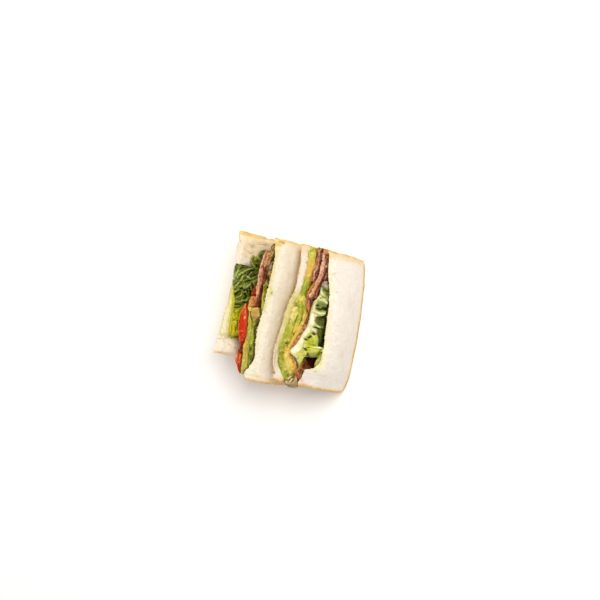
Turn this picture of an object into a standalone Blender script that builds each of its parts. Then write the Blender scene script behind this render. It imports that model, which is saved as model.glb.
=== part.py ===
"""A bacon, lettuce and tomato sandwich with avocado, cut across into two halves.

The halves stand close together with their cut faces up and lean the same way.
X runs across the layers, Y along the slices of bread, Z up from the surface
that the sandwich stands on. Everything below is in millimetres until the
meshes are written, which is done in metres.
"""

import math

import bpy
import numpy as np

MM = 0.001

# ---------------------------------------------------------------- sizes (mm)
CENTRE_X = 2.13         # middle of the whole sandwich in the layout frame below
CENTRE_Y = -0.5
GAP = 0.35              # clearance kept between two neighbouring layers
CRUST_CORNER = 9.0      # radius of a slice's lower corners
SLICE_FULL = 13.4       # width of a slice along X where nothing squeezes it
SLICE_CUT = 4.4         # width left where the knife squeezed it
SQUEEZE_FROM = 0.45     # share of the height above which the knife squeezed it
FOOT = {"a_left": -18.5, "a_right": -1.0, "b_left": 27.0}   # filling side of each slice at z = 0
EDGE = 1.6              # rounding at the rim of a layer
FILL_TOP = 44.0         # height at which the fillings are cut


# ---------------------------------------------------------------- small maths
def lerp(a, b, t):
    return a + (b - a) * t


def clamp(t, lo=0.0, hi=1.0):
    return max(lo, min(hi, t))


def smooth(t):
    t = clamp(t)
    return t * t * (3 - 2 * t)


def through(y, *pairs):
    """Smooth curve through a few (y, value) pairs, flat beyond both ends."""
    p = sorted(pairs)
    if y <= p[0][0]:
        return p[0][1]
    if y >= p[-1][0]:
        return p[-1][1]
    slopes = []
    for i in range(len(p)):
        if i in (0, len(p) - 1):
            slopes.append(0.0)
            continue
        d0 = (p[i][1] - p[i - 1][1]) / (p[i][0] - p[i - 1][0])
        d1 = (p[i + 1][1] - p[i][1]) / (p[i + 1][0] - p[i][0])
        slopes.append(0.0 if d0 * d1 <= 0 else 2 * d0 * d1 / (d0 + d1))
    for i in range(len(p) - 1):
        if y <= p[i + 1][0]:
            h = p[i + 1][0] - p[i][0]
            t = (y - p[i][0]) / h
            a, b = p[i][1], p[i + 1][1]
            return (a * (1 + 2 * t) * (1 - t) ** 2 + b * t * t * (3 - 2 * t)
                    + h * slopes[i] * t * (1 - t) ** 2 - h * slopes[i + 1] * t * t * (1 - t))
    return p[-1][1]


# ---------------------------------------------------------------- the four slices
# Each slice has a filling side that runs from its foot to its cut edge, and an
# outer side that stands off by the slice's width. The cut edge's line (top_x),
# its height (top_z) and the width at the cut follow the length of the slice.
def a_left_top(y):
    return through(y, (-43, -47.5), (-28, -46.2), (0, -45.8), (28, -46.8), (56, -48.3))


def a_left_z(y):
    return through(y, (-43, 35.5), (-20, 37.5), (30, 38.5), (57, 37.5))


def a_right_top(y):
    return through(y, (-56, -25.2), (-48, -22.4), (-42, -20.4), (-28, -21.6), (-14, -22.4),
                   (-2, -20.8), (5, -20.2), (29, -20.7), (56, -23.3))


def a_right_z(y):
    return through(y, (-57, 43.5), (-30, 46.0), (20, 47.0), (57, 45.0))


def b_left_top(y):
    return through(y, (-53, 5.0), (-48, 3.4), (-38, -0.9), (-29, -2.2), (-18, -1.5),
                   (0, 0.0), (9, 1.2), (20, 3.8), (32, 4.4), (57, 3.4))


def b_left_z(y):
    return through(y, (-54, 41.5), (-30, 45.5), (20, 46.0), (57, 44.5))


def b_left_cut(y):
    return through(y, (-53, 8.0), (-46, 4.6), (-30, 3.2), (0, 4.0), (30, 4.7), (57, 5.4))


def b_right_top(y):
    return through(y, (-54, 18.4), (-44, 20.0), (-41, 23.2), (-38, 29.4), (-30, 31.4), (-19, 31.8),
                   (0, 30.0), (15, 28.2), (29, 25.4), (43, 21.3), (57, 19.2))


def b_right_z(y):
    return through(y, (-54, 34.5), (-44, 36.5), (-38, 43.0), (-25, 45.5), (5, 46.5), (35, 44.0), (57, 41.5))


def b_right_foot(y):
    """Outer foot of the last slice."""
    return through(y, (-54, 58.6), (-35, 60.1), (-15, 59.9), (10, 58.3), (35, 55.8), (56, 52.8))


def squeeze(t, full, cut, plump):
    """Width of a slice at the share t of its height. plump 1 keeps the side round up to the cut."""
    s = clamp((t - SQUEEZE_FROM) / (1 - SQUEEZE_FROM))
    round_side = math.sqrt(max(0.0, 1 - s * s))
    hollow_side = 1 - smooth(s)
    return cut + (full - cut) * lerp(hollow_side, round_side, plump)


def side(y, z, foot, top, height):
    t = z / height
    return lerp(foot, top, t)


def a_left_in(y, z):
    """Filling side of the leftmost slice, peeled open to the left."""
    return side(y, z, FOOT["a_left"], a_left_top(y), a_left_z(y))


def a_left_out(y, z):
    t = clamp(z / a_left_z(y))
    return a_left_in(y, z) - squeeze(t, SLICE_FULL + 1.4, SLICE_CUT + 0.4, 0.9)


def a_right_in(y, z):
    return side(y, z, FOOT["a_right"], a_right_top(y), a_right_z(y))


def b_left_in(y, z):
    return side(y, z, FOOT["b_left"], b_left_top(y), b_left_z(y))


def middle_sides(y, z):
    """The outer sides of the two middle slices. Where they would cross they press each other flat."""
    a = a_right_in(y, z) + squeeze(clamp(z / a_right_z(y)), SLICE_FULL, SLICE_CUT, 0.86)
    b = b_left_in(y, z) - squeeze(clamp(z / b_left_z(y)), SLICE_FULL, b_left_cut(y), 0.12)
    if b - a < GAP:
        a, b = (a + b - GAP) / 2, (a + b + GAP) / 2
    return a, b


def a_right_out(y, z):
    return middle_sides(y, z)[0]


def b_left_out(y, z):
    return middle_sides(y, z)[1]


def b_right_in(y, z):
    return side(y, z, b_right_foot(y) - SLICE_FULL - 0.8, b_right_top(y), b_right_z(y))


def b_right_out(y, z):
    t = clamp(z / b_right_z(y))
    return b_right_in(y, z) + squeeze(t, SLICE_FULL + 0.8, SLICE_CUT, 0.95)


# ---------------------------------------------------------------- mesh building
def stations(n, edge):
    """n + 1 shares from 0 to 1, with one short step of size edge at both ends."""
    inner = [lerp(edge, 1 - edge, i / (n - 2)) for i in range(n - 1)]
    return [0.0] + inner + [1.0]


def closed_slab(name, left, right, ends, heights, ny, nz, colour, roughness=0.6, rim=EDGE, edge=0.02):
    """A layer between two side surfaces: x = left(y, z) and x = right(y, z).

    ends(b) gives the lowest and highest y at the share b of the height, and
    heights(y) the lowest and highest z. Near its rim the layer is thinner by
    up to rim on each side, so that its edge is rounded.
    """
    sa, sb = stations(ny, edge), stations(nz, edge * ny / nz)
    grid = []
    for b in sb:
        y0, y1 = ends(b)
        row = []
        for a in sa:
            y = lerp(y0, y1, a)
            z0, z1 = heights(y)
            z = lerp(z0, z1, b)
            xl, xr = left(y, z), right(y, z)
            near_rim = a in (0.0, 1.0) or b in (0.0, 1.0)
            cut = min(rim, 0.35 * (xr - xl)) if near_rim else 0.0
            row.append((xl + cut, xr - cut, y, z))
        grid.append(row)
    rows, cols = len(sb), len(sa)
    verts = [(r[0], r[2], r[3]) for row in grid for r in row]
    verts += [(r[1], r[2], r[3]) for row in grid for r in row]
    off = rows * cols
    faces = []
    for j in range(rows - 1):
        for i in range(cols - 1):
            a, b, c, d = j * cols + i, j * cols + i + 1, (j + 1) * cols + i + 1, (j + 1) * cols + i
            faces.append((a, d, c, b))
            faces.append((off + a, off + b, off + c, off + d))
    rim_loop = [i for i in range(cols)]
    rim_loop += [j * cols + cols - 1 for j in range(1, rows)]
    rim_loop += [(rows - 1) * cols + i for i in range(cols - 2, -1, -1)]
    rim_loop += [j * cols for j in range(rows - 2, 0, -1)]
    for k, p in enumerate(rim_loop):
        q = rim_loop[(k + 1) % len(rim_loop)]
        faces.append((p, q, off + q, off + p))
    mesh = bpy.data.meshes.new(name)
    mesh.from_pydata([((x - CENTRE_X) * MM, (y - CENTRE_Y) * MM, z * MM) for x, y, z in verts], [], faces)
    mesh.validate()
    mesh.shade_smooth()
    mesh.set_sharp_from_angle(angle=math.radians(50))
    material = bpy.data.materials.new(name)
    material.use_nodes = True
    shader = material.node_tree.nodes["Principled BSDF"]
    shader.inputs["Base Color"].default_value = (*colour, 1.0)
    shader.inputs["Roughness"].default_value = roughness
    shader.inputs["Metallic"].default_value = 0.0
    mesh.materials.append(material)
    obj = bpy.data.objects.new(name, mesh)
    bpy.context.scene.collection.objects.link(obj)
    return obj


def corner(z, radius=CRUST_CORNER):
    """How far a slice's end stands back at height z, for its rounded lower corners."""
    if z >= radius:
        return 0.0
    return radius * (1 - math.sqrt(max(0.0, 1 - (1 - z / radius) ** 2)))


def bread(name, left, right, near, far, top_z):
    """A half slice: crust below and at both ends, rounded lower corners, a ragged cut edge on top."""
    def ends(b):
        back = corner(b * 42.0) * 0.8
        return near + back, far - back

    def heights(y):
        ragged = 0.45 * math.sin(y * 0.42 + len(name)) + 0.3 * math.sin(y * 0.93 + 1.7)
        return 0.0, top_z(y) + ragged
    return closed_slab(name, left, right, ends, heights, 24, 9, (0.87, 0.80, 0.70), 0.85, rim=1.2, edge=0.012)


# ---------------------------------------------------------------- fillings
def a_stack(s, y, z):
    """Place at the share s of the way across the left half's filling."""
    zl = min(z, a_left_z(y))
    return lerp(a_left_in(y, zl) + GAP, a_right_in(y, z) - GAP, s)


def b_stack(s, y, z):
    """The same across the right half's filling."""
    zr = min(z, b_right_z(y))
    return lerp(b_left_in(y, z) + GAP, b_right_in(y, zr) - GAP, s)


def layer(name, stack, s_left, s_right, y_near, y_far, z_low, z_high, colour, roughness=0.5,
          ny=10, nz=5, round_ends=0.0, dip=0.0, ripple=(0.0, 1.0), rim=0.9):
    """One filling that runs down through its half.

    s_left and s_right are shares of the stack, as functions of (y, t) with t
    the share of the sandwich's height. round_ends draws in the lower corners
    by that many millimetres, as on a round slice. dip lowers the top's middle.
    ripple is (share, wave length) of a wave that carries both sides together.
    """
    middle, half = (y_near + y_far) / 2, (y_far - y_near) / 2

    def top_of(y):
        u = clamp(abs(y - middle) / half)
        wave = 0.5 * math.sin(y * 0.55 + len(name)) + 0.35 * math.sin(y * 1.13)
        return z_high(y) - dip * (1 - u * u) + wave

    def heights(y):
        return z_low, top_of(y)

    def ends(b):
        back = round_ends * (1 - math.sqrt(max(0.0, 1 - (1 - b) ** 2)))
        return y_near + back, y_far - back

    def share(f, y, z):
        t = clamp(z / FILL_TOP)
        amount, length = ripple
        return f(y, t) + amount * math.sin(2 * math.pi * y / length) * (0.4 + 0.6 * t)

    return closed_slab(name, lambda y, z: stack(share(s_left, y, z), y, z),
                       lambda y, z: stack(share(s_right, y, z), y, z),
                       ends, heights, ny, nz, colour, roughness, rim=rim, edge=0.03)


def flat(value):
    return lambda *_: value


def line(*pairs):
    return lambda y, *_: through(y, *pairs)


# colours of the ingredients, linear
TOMATO = (0.62, 0.05, 0.02)
BACON = (0.30, 0.10, 0.06)
AVOCADO = (0.50, 0.52, 0.12)
LEAF = (0.07, 0.16, 0.02)
PALE_LEAF = (0.55, 0.62, 0.20)


def build():
    bread("a_bread_left", a_left_out, a_left_in, -43.2, 57.6, a_left_z)
    bread("a_bread_right", a_right_in, a_right_out, -58.6, 57.6, a_right_z)
    bread("b_bread_left", b_left_out, b_left_in, -53.6, 57.6, b_left_z)
    bread("b_bread_right", b_right_in, b_right_out, -54.4, 56.6, b_right_z)

    # ---- left half
    layer("a_lettuce", a_stack, flat(0.0), lambda y, t: lerp(0.14, 0.10, t), -30.0, 30.0, 4.0,
          lambda y: a_left_z(y) + 1.2, LEAF, ny=14)
    layer("a_lettuce_curl", a_stack, lambda y, t: lerp(0.16, 0.30, t), lambda y, t: lerp(0.32, 0.56, t),
          31.0, 46.0, 6.0, flat(33.0), LEAF, ny=6, dip=2.0)
    layer("a_tomato_far", a_stack, lambda y, t: lerp(0.22, 0.44, t), lambda y, t: lerp(0.44, 0.585, t),
          4.0, 29.0, 5.0, flat(38.0), TOMATO, 0.25, ny=8, round_ends=8.0)
    layer("a_tomato_middle", a_stack,
          lambda y, t: lerp(0.20, through(y, (-33, 0.43), (-20, 0.35), (-8, 0.26), (0.5, 0.34)), t),
          lambda y, t: lerp(0.47, through(y, (-33, 0.51), (-20, 0.555), (-8, 0.53), (0.5, 0.44)), t),
          -33.5, 1.0, 5.0, flat(41.5), TOMATO, 0.25, ny=10, round_ends=9.0)
    layer("a_tomato_near", a_stack, lambda y, t: lerp(0.24, through(y, (-54, 0.50), (-44, 0.40), (-36, 0.42)), t),
          lambda y, t: lerp(0.46, through(y, (-54, 0.60), (-44, 0.535), (-36, 0.53)), t),
          -54.0, -35.0, 5.0, flat(37.5), TOMATO, 0.25, ny=8, round_ends=7.0)
    layer("a_bacon", a_stack, lambda y, t: lerp(0.48, 0.62, t) + (0.0 if y > 6 else -0.05 * t),
          lambda y, t: lerp(0.64, 0.775, t), 0.5, 46.0, 8.0, flat(43.5), BACON, 0.35,
          ny=16, ripple=(0.012, 13.0))
    layer("a_leaf_dark", a_stack, flat(0.815), flat(0.965), 4.5, 44.5, 7.0, flat(41.5), LEAF, ny=10)
    layer("a_avocado_chunk", a_stack, lambda y, t: lerp(0.66, 0.66, t), lambda y, t: lerp(0.95, 0.93, t),
          -11.5, 0.0, 9.0, flat(43.5), AVOCADO, ny=7, round_ends=3.0)
    layer("a_avocado_left", a_stack, lambda y, t: lerp(0.50, through(y, (-55, 0.62), (-40, 0.565), (-20, 0.585), (-12.4, 0.60)), t),
          lambda y, t: lerp(0.70, through(y, (-55, 0.81), (-40, 0.79), (-20, 0.745), (-12.4, 0.72)), t),
          -55.5, -12.0, 7.0, flat(42.0), AVOCADO, ny=12, round_ends=6.0)
    layer("a_avocado_right", a_stack, lambda y, t: lerp(0.73, through(y, (-47, 0.825), (-20, 0.775), (-12, 0.75)), t),
          flat(0.955), -47.5, -12.2, 8.0, flat(40.5), AVOCADO, ny=11, round_ends=6.0)

    # ---- right half
    layer("b_avocado_far", b_stack, flat(0.02), lambda y, t: lerp(0.40, through(y, (18, 0.24), (30, 0.27), (56, 0.38)), t),
          17.5, 56.0, 8.0, flat(43.5), AVOCADO, ny=11, round_ends=6.0)
    layer("b_avocado_middle", b_stack, flat(0.02),
          lambda y, t: lerp(0.42, through(y, (-27, 0.24), (-18, 0.32), (-6, 0.39), (8, 0.33), (17, 0.26)), t),
          -27.0, 17.0, 8.0, flat(43.5), AVOCADO, ny=12, round_ends=5.0)
    layer("b_avocado_near", b_stack, flat(0.02),
          lambda y, t: lerp(0.42, through(y, (-51, 0.36), (-42, 0.64), (-36, 0.50), (-31, 0.36), (-27.5, 0.27)), t),
          -51.5, -27.5, 8.0, line((-51, 39.0), (-40, 41.5), (-28, 43.0)), AVOCADO, ny=9, round_ends=6.0)
    layer("b_bacon_left", b_stack, lambda y, t: lerp(0.44, through(y, (30, 0.29), (56, 0.42)), t),
          lambda y, t: lerp(0.54, through(y, (30, 0.46), (56, 0.62)), t),
          30.0, 57.5, 8.0, flat(43.0), BACON, 0.35, ny=11, ripple=(0.012, 11.0))
    layer("b_bacon_right", b_stack, lambda y, t: lerp(0.57, through(y, (16, 0.315), (28, 0.40), (31, 0.49), (56, 0.655)), t),
          lambda y, t: lerp(0.68, through(y, (16, 0.50), (26, 0.61), (38, 0.80), (47, 0.90), (56, 0.93)), t),
          15.8, 57.0, 8.0, flat(44.0), BACON, 0.35, ny=14, ripple=(0.010, 12.0))
    layer("b_bacon_middle", b_stack, lambda y, t: lerp(0.45, through(y, (-27, 0.26), (-18, 0.345), (-6, 0.415), (8, 0.355), (15.5, 0.30)), t),
          lambda y, t: lerp(0.53, through(y, (-27, 0.31), (-18, 0.405), (-6, 0.495), (8, 0.49), (15.5, 0.47)), t),
          -27.0, 15.4, 9.0, flat(42.5), BACON, 0.35, ny=14, ripple=(0.006, 9.0), rim=0.5)
    layer("b_bacon_near", b_stack, lambda y, t: lerp(0.46, through(y, (-52, 0.58), (-42, 0.70), (-36, 0.56)), t),
          lambda y, t: lerp(0.62, through(y, (-52, 0.97), (-42, 0.95), (-36, 0.72)), t),
          -52.0, -37.6, 9.0, line((-52, 31.0), (-42, 34.5), (-37, 37.0)), BACON, 0.35, ny=8)
    layer("b_lettuce_ribbed", b_stack, lambda y, t: lerp(0.56, through(y, (-36, 0.55), (-31, 0.40), (-27, 0.335), (-18, 0.43), (-6, 0.52), (8, 0.515), (15.4, 0.54)), t),
          lambda y, t: lerp(0.68, through(y, (-36, 0.62), (-27, 0.52), (-18, 0.58), (-6, 0.66), (8, 0.655), (15.4, 0.64)), t),
          -36.0, 15.4, 7.0, line((-36, 40.0), (-20, 43.5), (15, 43.0)), PALE_LEAF, ny=13)
    layer("b_lettuce_frilled", b_stack, lambda y, t: lerp(0.71, through(y, (-19, 0.61), (-6, 0.69), (15, 0.67), (28, 0.74)), t),
          lambda y, t: lerp(0.97, 0.965, t), -19.0, 28.5, 7.0, flat(38.0), PALE_LEAF, ny=11, dip=7.0)
    layer("b_lettuce_folded", b_stack, lambda y, t: lerp(0.71, 0.63, t), flat(0.965), -29.6, -20.0, 7.0,
          line((-29, 37.0), (-20, 41.0)), PALE_LEAF, ny=7)
    layer("b_tomato", b_stack, lambda y, t: lerp(0.71, 0.66, t), flat(0.93), -37.0, -30.4, 6.0, flat(24.0),
          TOMATO, 0.25, ny=7, round_ends=2.0)
    layer("b_leaf_end", b_stack, lambda y, t: lerp(0.10, 0.08, t), lambda y, t: lerp(0.62, 0.60, t), -55.6, -52.6, 8.0,
          flat(33.0), LEAF, ny=5)


for old in list(bpy.data.objects):
    bpy.data.objects.remove(old)
build()
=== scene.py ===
"""Looks of the bacon, lettuce, tomato and avocado sandwich.

Lengths are in millimetres in a layout frame until a mesh is written: X across
the layers, Y along the slices, Z up. A place can also be given as (u, v) on
the floor plane as the camera sees it, u to the right across the layers and v
towards the near end, together with its height; spot() turns that into X, Y.
"""
import math

import bpy
import numpy as np
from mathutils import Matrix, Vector


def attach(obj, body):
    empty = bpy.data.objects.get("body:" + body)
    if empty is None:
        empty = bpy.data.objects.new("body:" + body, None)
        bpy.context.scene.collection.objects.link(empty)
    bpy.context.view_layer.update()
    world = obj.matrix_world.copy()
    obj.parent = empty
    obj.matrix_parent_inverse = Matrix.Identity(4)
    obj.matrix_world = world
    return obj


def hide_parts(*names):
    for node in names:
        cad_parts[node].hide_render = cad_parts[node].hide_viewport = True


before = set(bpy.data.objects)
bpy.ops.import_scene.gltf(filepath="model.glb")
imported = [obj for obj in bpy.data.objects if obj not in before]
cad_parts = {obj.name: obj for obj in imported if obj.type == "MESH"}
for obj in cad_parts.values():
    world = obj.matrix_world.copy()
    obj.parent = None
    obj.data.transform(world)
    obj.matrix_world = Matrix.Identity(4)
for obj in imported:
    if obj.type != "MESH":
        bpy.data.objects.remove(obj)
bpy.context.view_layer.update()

MM = 0.001
CENTRE = np.array([2.13, -0.5, 0.0])    # the layout point that is the model's origin
EYE = (5.6, 13.2, 1000.0)               # the camera, in the layout frame
TURN = math.radians(12.5)               # the camera's turn about the vertical
FILL_TOP = 44.0
GAP = 0.35
BOX_LO = np.array([-57.45, -58.05, 0.0])
BOX_HI = np.array([57.45, 58.05, 47.5])


# =============================================================== small maths
def spot(u, v, z):
    """X, Y of what the camera sees at (u, v) on the floor plane, if it is at height z."""
    k = (EYE[2] - np.asarray(z, float)) / EYE[2]
    return EYE[0] + (np.asarray(u, float) - EYE[0]) * k, EYE[1] + (-np.asarray(v, float) - EYE[1]) * k


def seen(p):
    """The reverse: (u, v) of points p (N, 3) in the layout frame."""
    k = (EYE[2] - p[:, 2]) / EYE[2]
    return EYE[0] + (p[:, 0] - EYE[0]) / k, -(EYE[1] + (p[:, 1] - EYE[1]) / k)


def lerp(a, b, t):
    return a + (b - a) * t


def smooth(a, b, x):
    t = np.clip((x - a) / (b - a), 0.0, 1.0)
    return t * t * (3 - 2 * t)


def through(x, *pairs):
    """Smooth curve through a few (x, value) pairs, flat beyond both ends."""
    p = sorted(pairs)
    xs = np.array([q[0] for q in p], float)
    vs = np.array([q[1] for q in p], float)
    d = np.diff(vs) / np.diff(xs)
    m = np.zeros(len(xs))
    for i in range(1, len(xs) - 1):
        if d[i - 1] * d[i] > 0:
            m[i] = 2 * d[i - 1] * d[i] / (d[i - 1] + d[i])
    x = np.clip(np.asarray(x, float), xs[0], xs[-1])
    i = np.clip(np.searchsorted(xs, x, side="right") - 1, 0, len(xs) - 2)
    h = xs[i + 1] - xs[i]
    t = (x - xs[i]) / h
    return (vs[i] * (1 + 2 * t) * (1 - t) ** 2 + vs[i + 1] * t * t * (3 - 2 * t)
            + h * m[i] * t * (1 - t) ** 2 - h * m[i + 1] * t * t * (1 - t))


def seen_line(pairs, z):
    """A line given as (v, u) pairs at heights z(v) -> X as a smooth function of Y."""
    out = []
    for v, u in pairs:
        x, y = spot(u, v, z(v) if callable(z) else z)
        out.append((float(y), float(x)))
    return lambda y: through(y, *out)


def _hash(i, j, k, seed):
    h = (i * 73856093) ^ (j * 19349663) ^ (k * 83492791) ^ (seed * 2654435761)
    h &= 0xFFFFFFFF
    h = ((h ^ (h >> 16)) * 0x45D9F3B) & 0xFFFFFFFF
    h = ((h ^ (h >> 16)) * 0x45D9F3B) & 0xFFFFFFFF
    return h ^ (h >> 16)


def noise(p, size, seed=0):
    """Smooth noise of about -1 to 1 whose bumps are about size across."""
    q = np.asarray(p, float) / size
    i = np.floor(q).astype(np.int64)
    f = q - i
    w = f * f * f * (f * (f * 6 - 15) + 10)
    total = np.zeros(len(q))
    for dx in (0, 1):
        wx = w[:, 0] if dx else 1 - w[:, 0]
        for dy in (0, 1):
            wy = w[:, 1] if dy else 1 - w[:, 1]
            for dz in (0, 1):
                wz = w[:, 2] if dz else 1 - w[:, 2]
                h = _hash(i[:, 0] + dx, i[:, 1] + dy, i[:, 2] + dz, seed)
                g = (((h & 1023) / 511.5 - 1) * (f[:, 0] - dx)
                     + (((h >> 10) & 1023) / 511.5 - 1) * (f[:, 1] - dy)
                     + (((h >> 20) & 1023) / 511.5 - 1) * (f[:, 2] - dz))
                total += wx * wy * wz * g
    return total * 1.6


def fbm(p, size, octaves=4, seed=0, gain=0.5):
    total, amp = np.zeros(len(p)), 1.0
    for o in range(octaves):
        total += amp * noise(p, size / 2 ** o, seed + 17 * o)
        amp *= gain
    return total


def cells(p, size, seed=0):
    """Distance to the nearest of scattered points, in units of size, and that point's own number 0..1."""
    q = np.asarray(p, float) / size
    i = np.floor(q).astype(np.int64)
    best = np.full(len(q), 9.0)
    own = np.zeros(len(q))
    for dx in (-1, 0, 1):
        for dy in (-1, 0, 1):
            for dz in (-1, 0, 1):
                c = i + np.array([dx, dy, dz])
                h = _hash(c[:, 0], c[:, 1], c[:, 2], seed)
                px = c[:, 0] + (h & 1023) / 1023.0
                py = c[:, 1] + ((h >> 10) & 1023) / 1023.0
                pz = c[:, 2] + ((h >> 20) & 1023) / 1023.0
                d = np.sqrt((q[:, 0] - px) ** 2 + (q[:, 1] - py) ** 2 + (q[:, 2] - pz) ** 2)
                hit = d < best
                best = np.where(hit, d, best)
                own = np.where(hit, ((h >> 7) & 255) / 255.0, own)
    return best, own


def net(u, v, size, stretch=1.0, turn=0.0, seed=0):
    """How far points are from the net between scattered cells, 0 on it to 1, and each cell's own number.

    The cells are stretch times longer along the direction turn, in degrees.
    """
    q = np.stack([u, v, 0 * u], 1)
    c, s = math.cos(math.radians(turn)), math.sin(math.radians(turn))
    a = ((c * u + s * v) + 0.45 * size * noise(q, size * 2.2, seed + 1)) / size / stretch
    b = ((c * v - s * u) + 0.45 * size * noise(q, size * 2.2, seed + 2)) / size
    i, j = np.floor(a).astype(np.int64), np.floor(b).astype(np.int64)
    best, second, own = np.full(len(a), 9.0), np.full(len(a), 9.0), np.zeros(len(a))
    for dx in (-1, 0, 1):
        for dy in (-1, 0, 1):
            h = _hash(i + dx, j + dy, 0 * i, seed)
            d = np.hypot(a - i - dx - (h & 1023) / 1023.0, b - j - dy - ((h >> 10) & 1023) / 1023.0)
            second = np.where(d < best, best, np.minimum(second, d))
            own = np.where(d < best, ((h >> 7) & 255) / 255.0, own)
            best = np.minimum(best, d)
    return np.clip((second - best) / 0.5, 0, 1), own


# =============================================================== the slices' planes
# The same construction as the solid model's: each slice has a filling side from
# its foot to its cut edge, and an outer side that stands off by its width.
FOOT = {"a_left": -18.5, "a_right": -1.0, "b_left": 27.0}


def a_left_z(y): return through(y, (-43, 35.5), (-20, 37.5), (30, 38.5), (57, 37.5))
def a_right_z(y): return through(y, (-57, 43.5), (-30, 46.0), (20, 47.0), (57, 45.0))
def b_left_z(y): return through(y, (-54, 41.5), (-30, 45.5), (20, 46.0), (57, 44.5))


def b_right_z(y):
    return through(y, (-55, 35.6), (-48, 38.0), (-40, 41.6), (-25, 45.2), (5, 46.5), (35, 44.0), (57, 41.5))


def b_right_foot(y):
    return through(y, (-54, 58.6), (-35, 60.1), (-15, 59.9), (10, 58.3), (35, 55.8), (56, 52.8))


# Filling side of each cut edge, as seen: (v, u).
A_LEFT_IN = [(-60, -50.6), (-52, -50.2), (-47, -50.4), (-40, -50.0), (-30, -49.5), (-15, -49.2),
             (0, -49.0), (15, -49.4), (30, -50.0), (45, -50.6)]
A_LEFT_OUT = [(-60, -55.2), (-57, -55.4), (-53, -54.8), (-50.4, -53.3), (-48.4, -54.2), (-46, -54.7), (-42, -54.1),
              (-36, -53.3), (-30, -52.7), (-20, -52.2), (-10, -51.9), (0, -52.0), (5, -52.4), (12, -52.9), (20, -53.2),
              (28, -53.6), (32, -54.4), (36, -54.9), (45, -54.9)]
A_RIGHT_IN = [(-60, -26.4), (-56, -25.6), (-54, -24.8), (-50, -24.1), (-46, -23.4), (-40, -22.9), (-33, -22.7),
              (-27, -22.6), (-21, -22.6), (-15, -23.0), (-10, -23.2), (-5, -23.1), (3, -22.8), (10, -23.3), (18, -23.7),
              (25, -23.7), (31, -23.0), (38, -22.0), (44, -21.5), (46.5, -21.9), (49, -23.9), (51.5, -24.2),
              (53.5, -26.0), (57.5, -27.2), (61, -25.5)]
B_LEFT_IN = [(-59, 2.6), (-52, 3.2), (-47, 3.9), (-40, 4.3), (-32, 4.3), (-24, 4.2), (-18, 3.2), (-12, 1.4),
             (-6, 0.3), (0, -0.4), (8, -1.2), (16, -2.2), (24, -3.1), (30, -3.6), (36, -3.2), (42, -2.0),
             (46, -0.4), (50, 2.1), (54, 4.4), (58, 5.4)]
B_RIGHT_IN = [(-59, 19.4), (-54, 20.8), (-50, 21.6), (-45, 22.2), (-40, 23.2), (-35, 24.9), (-30, 26.6),
              (-25, 28.0), (-19, 29.0), (-12, 30.4), (-5, 30.6), (2, 31.2), (10, 32.0), (18, 32.9),
              (25, 33.3), (31, 33.0), (36, 31.6), (39, 29.6), (41.3, 26.2), (42.6, 21.8), (46, 20.8),
              (50, 20.2), (55, 18.9), (58.5, 18.6)]

# The same edges without their bends at the near end, for the outer faces to follow.
A_RIGHT_MID = [(-60, -24.8), (-52, -23.6), (-40, -22.6), (-21, -22.2), (-5, -22.8), (10, -23.2), (25, -23.5), (38, -22.6), (61, -22.4)]
B_RIGHT_MID = [(-59, 19.8), (-50, 21.6), (-40, 23.6), (-30, 26.6), (-19, 29.2), (-5, 31.0), (10, 32.2), (25, 33.0), (34, 32.8),
               (44, 31.4), (58.5, 28.4)]

_a_left_top = seen_line(A_LEFT_IN, 37.5)
_a_left_edge = seen_line(A_LEFT_OUT, 37.5)
_a_right_top = seen_line(A_RIGHT_IN, 46.0)
_a_right_mid = seen_line(A_RIGHT_MID, 46.0)
_b_left_top = seen_line(B_LEFT_IN, 45.5)
_b_right_top = seen_line(B_RIGHT_IN, lambda v: float(b_right_z(np.array([-v * 0.956]))[0]))
_b_right_mid = seen_line(B_RIGHT_MID, lambda v: float(b_right_z(np.array([-v * 0.956]))[0]))


def squeeze(t, full, cut, plump, start=0.45):
    """Width of a slice at the share t of its height; plump 1 keeps the side round up to the cut."""
    s = np.clip((t - start) / (1 - start), 0.0, 1.0)
    return cut + (full - cut) * lerp(1 - s * s * (3 - 2 * s), np.sqrt(np.maximum(0.0, 1 - s * s)), plump)


def a_left_in(y, z): return lerp(FOOT["a_left"], _a_left_top(y), z / a_left_z(y))
def a_right_in(y, z): return lerp(FOOT["a_right"], _a_right_top(y), z / a_right_z(y))
def b_left_in(y, z): return lerp(FOOT["b_left"], _b_left_top(y), z / b_left_z(y))
def b_right_in(y, z): return lerp(b_right_foot(y) - 14.2, _b_right_top(y), z / b_right_z(y))


def a_left_out(y, z):
    t = np.clip(z / a_left_z(y), 0, 1)
    return a_left_in(y, z) - squeeze(t, 13.6, _a_left_top(y) - _a_left_edge(y), 0.45)


def b_left_cut(y):
    return through(y, (-53, 7.4), (-44, 4.0), (-30, 2.8), (0, 3.9), (30, 4.6), (57, 5.4))


def middle_sides(y, z):
    """Outer sides of the two middle slices, pressed flat against each other where they would cross."""
    a = lerp(FOOT["a_right"], _a_right_mid(y), z / a_right_z(y)) + squeeze(np.clip(z / a_right_z(y), 0, 1), 13.4, 4.4, 0.86)
    b = b_left_in(y, z) - squeeze(np.clip(z / b_left_z(y), 0, 1), 13.4, b_left_cut(y), 0.12)
    over = np.maximum(0.0, GAP - (b - a)) / 2
    return a - over, b + over


def a_right_out(y, z): return middle_sides(y, z)[0]
def b_left_out(y, z): return middle_sides(y, z)[1]


def b_right_out(y, z):
    t = z / b_right_z(y)
    return lerp(b_right_foot(y) - 14.2, _b_right_mid(y), t) + squeeze(np.clip(t, 0, 1), 14.2, 4.4, 0.95)


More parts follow.
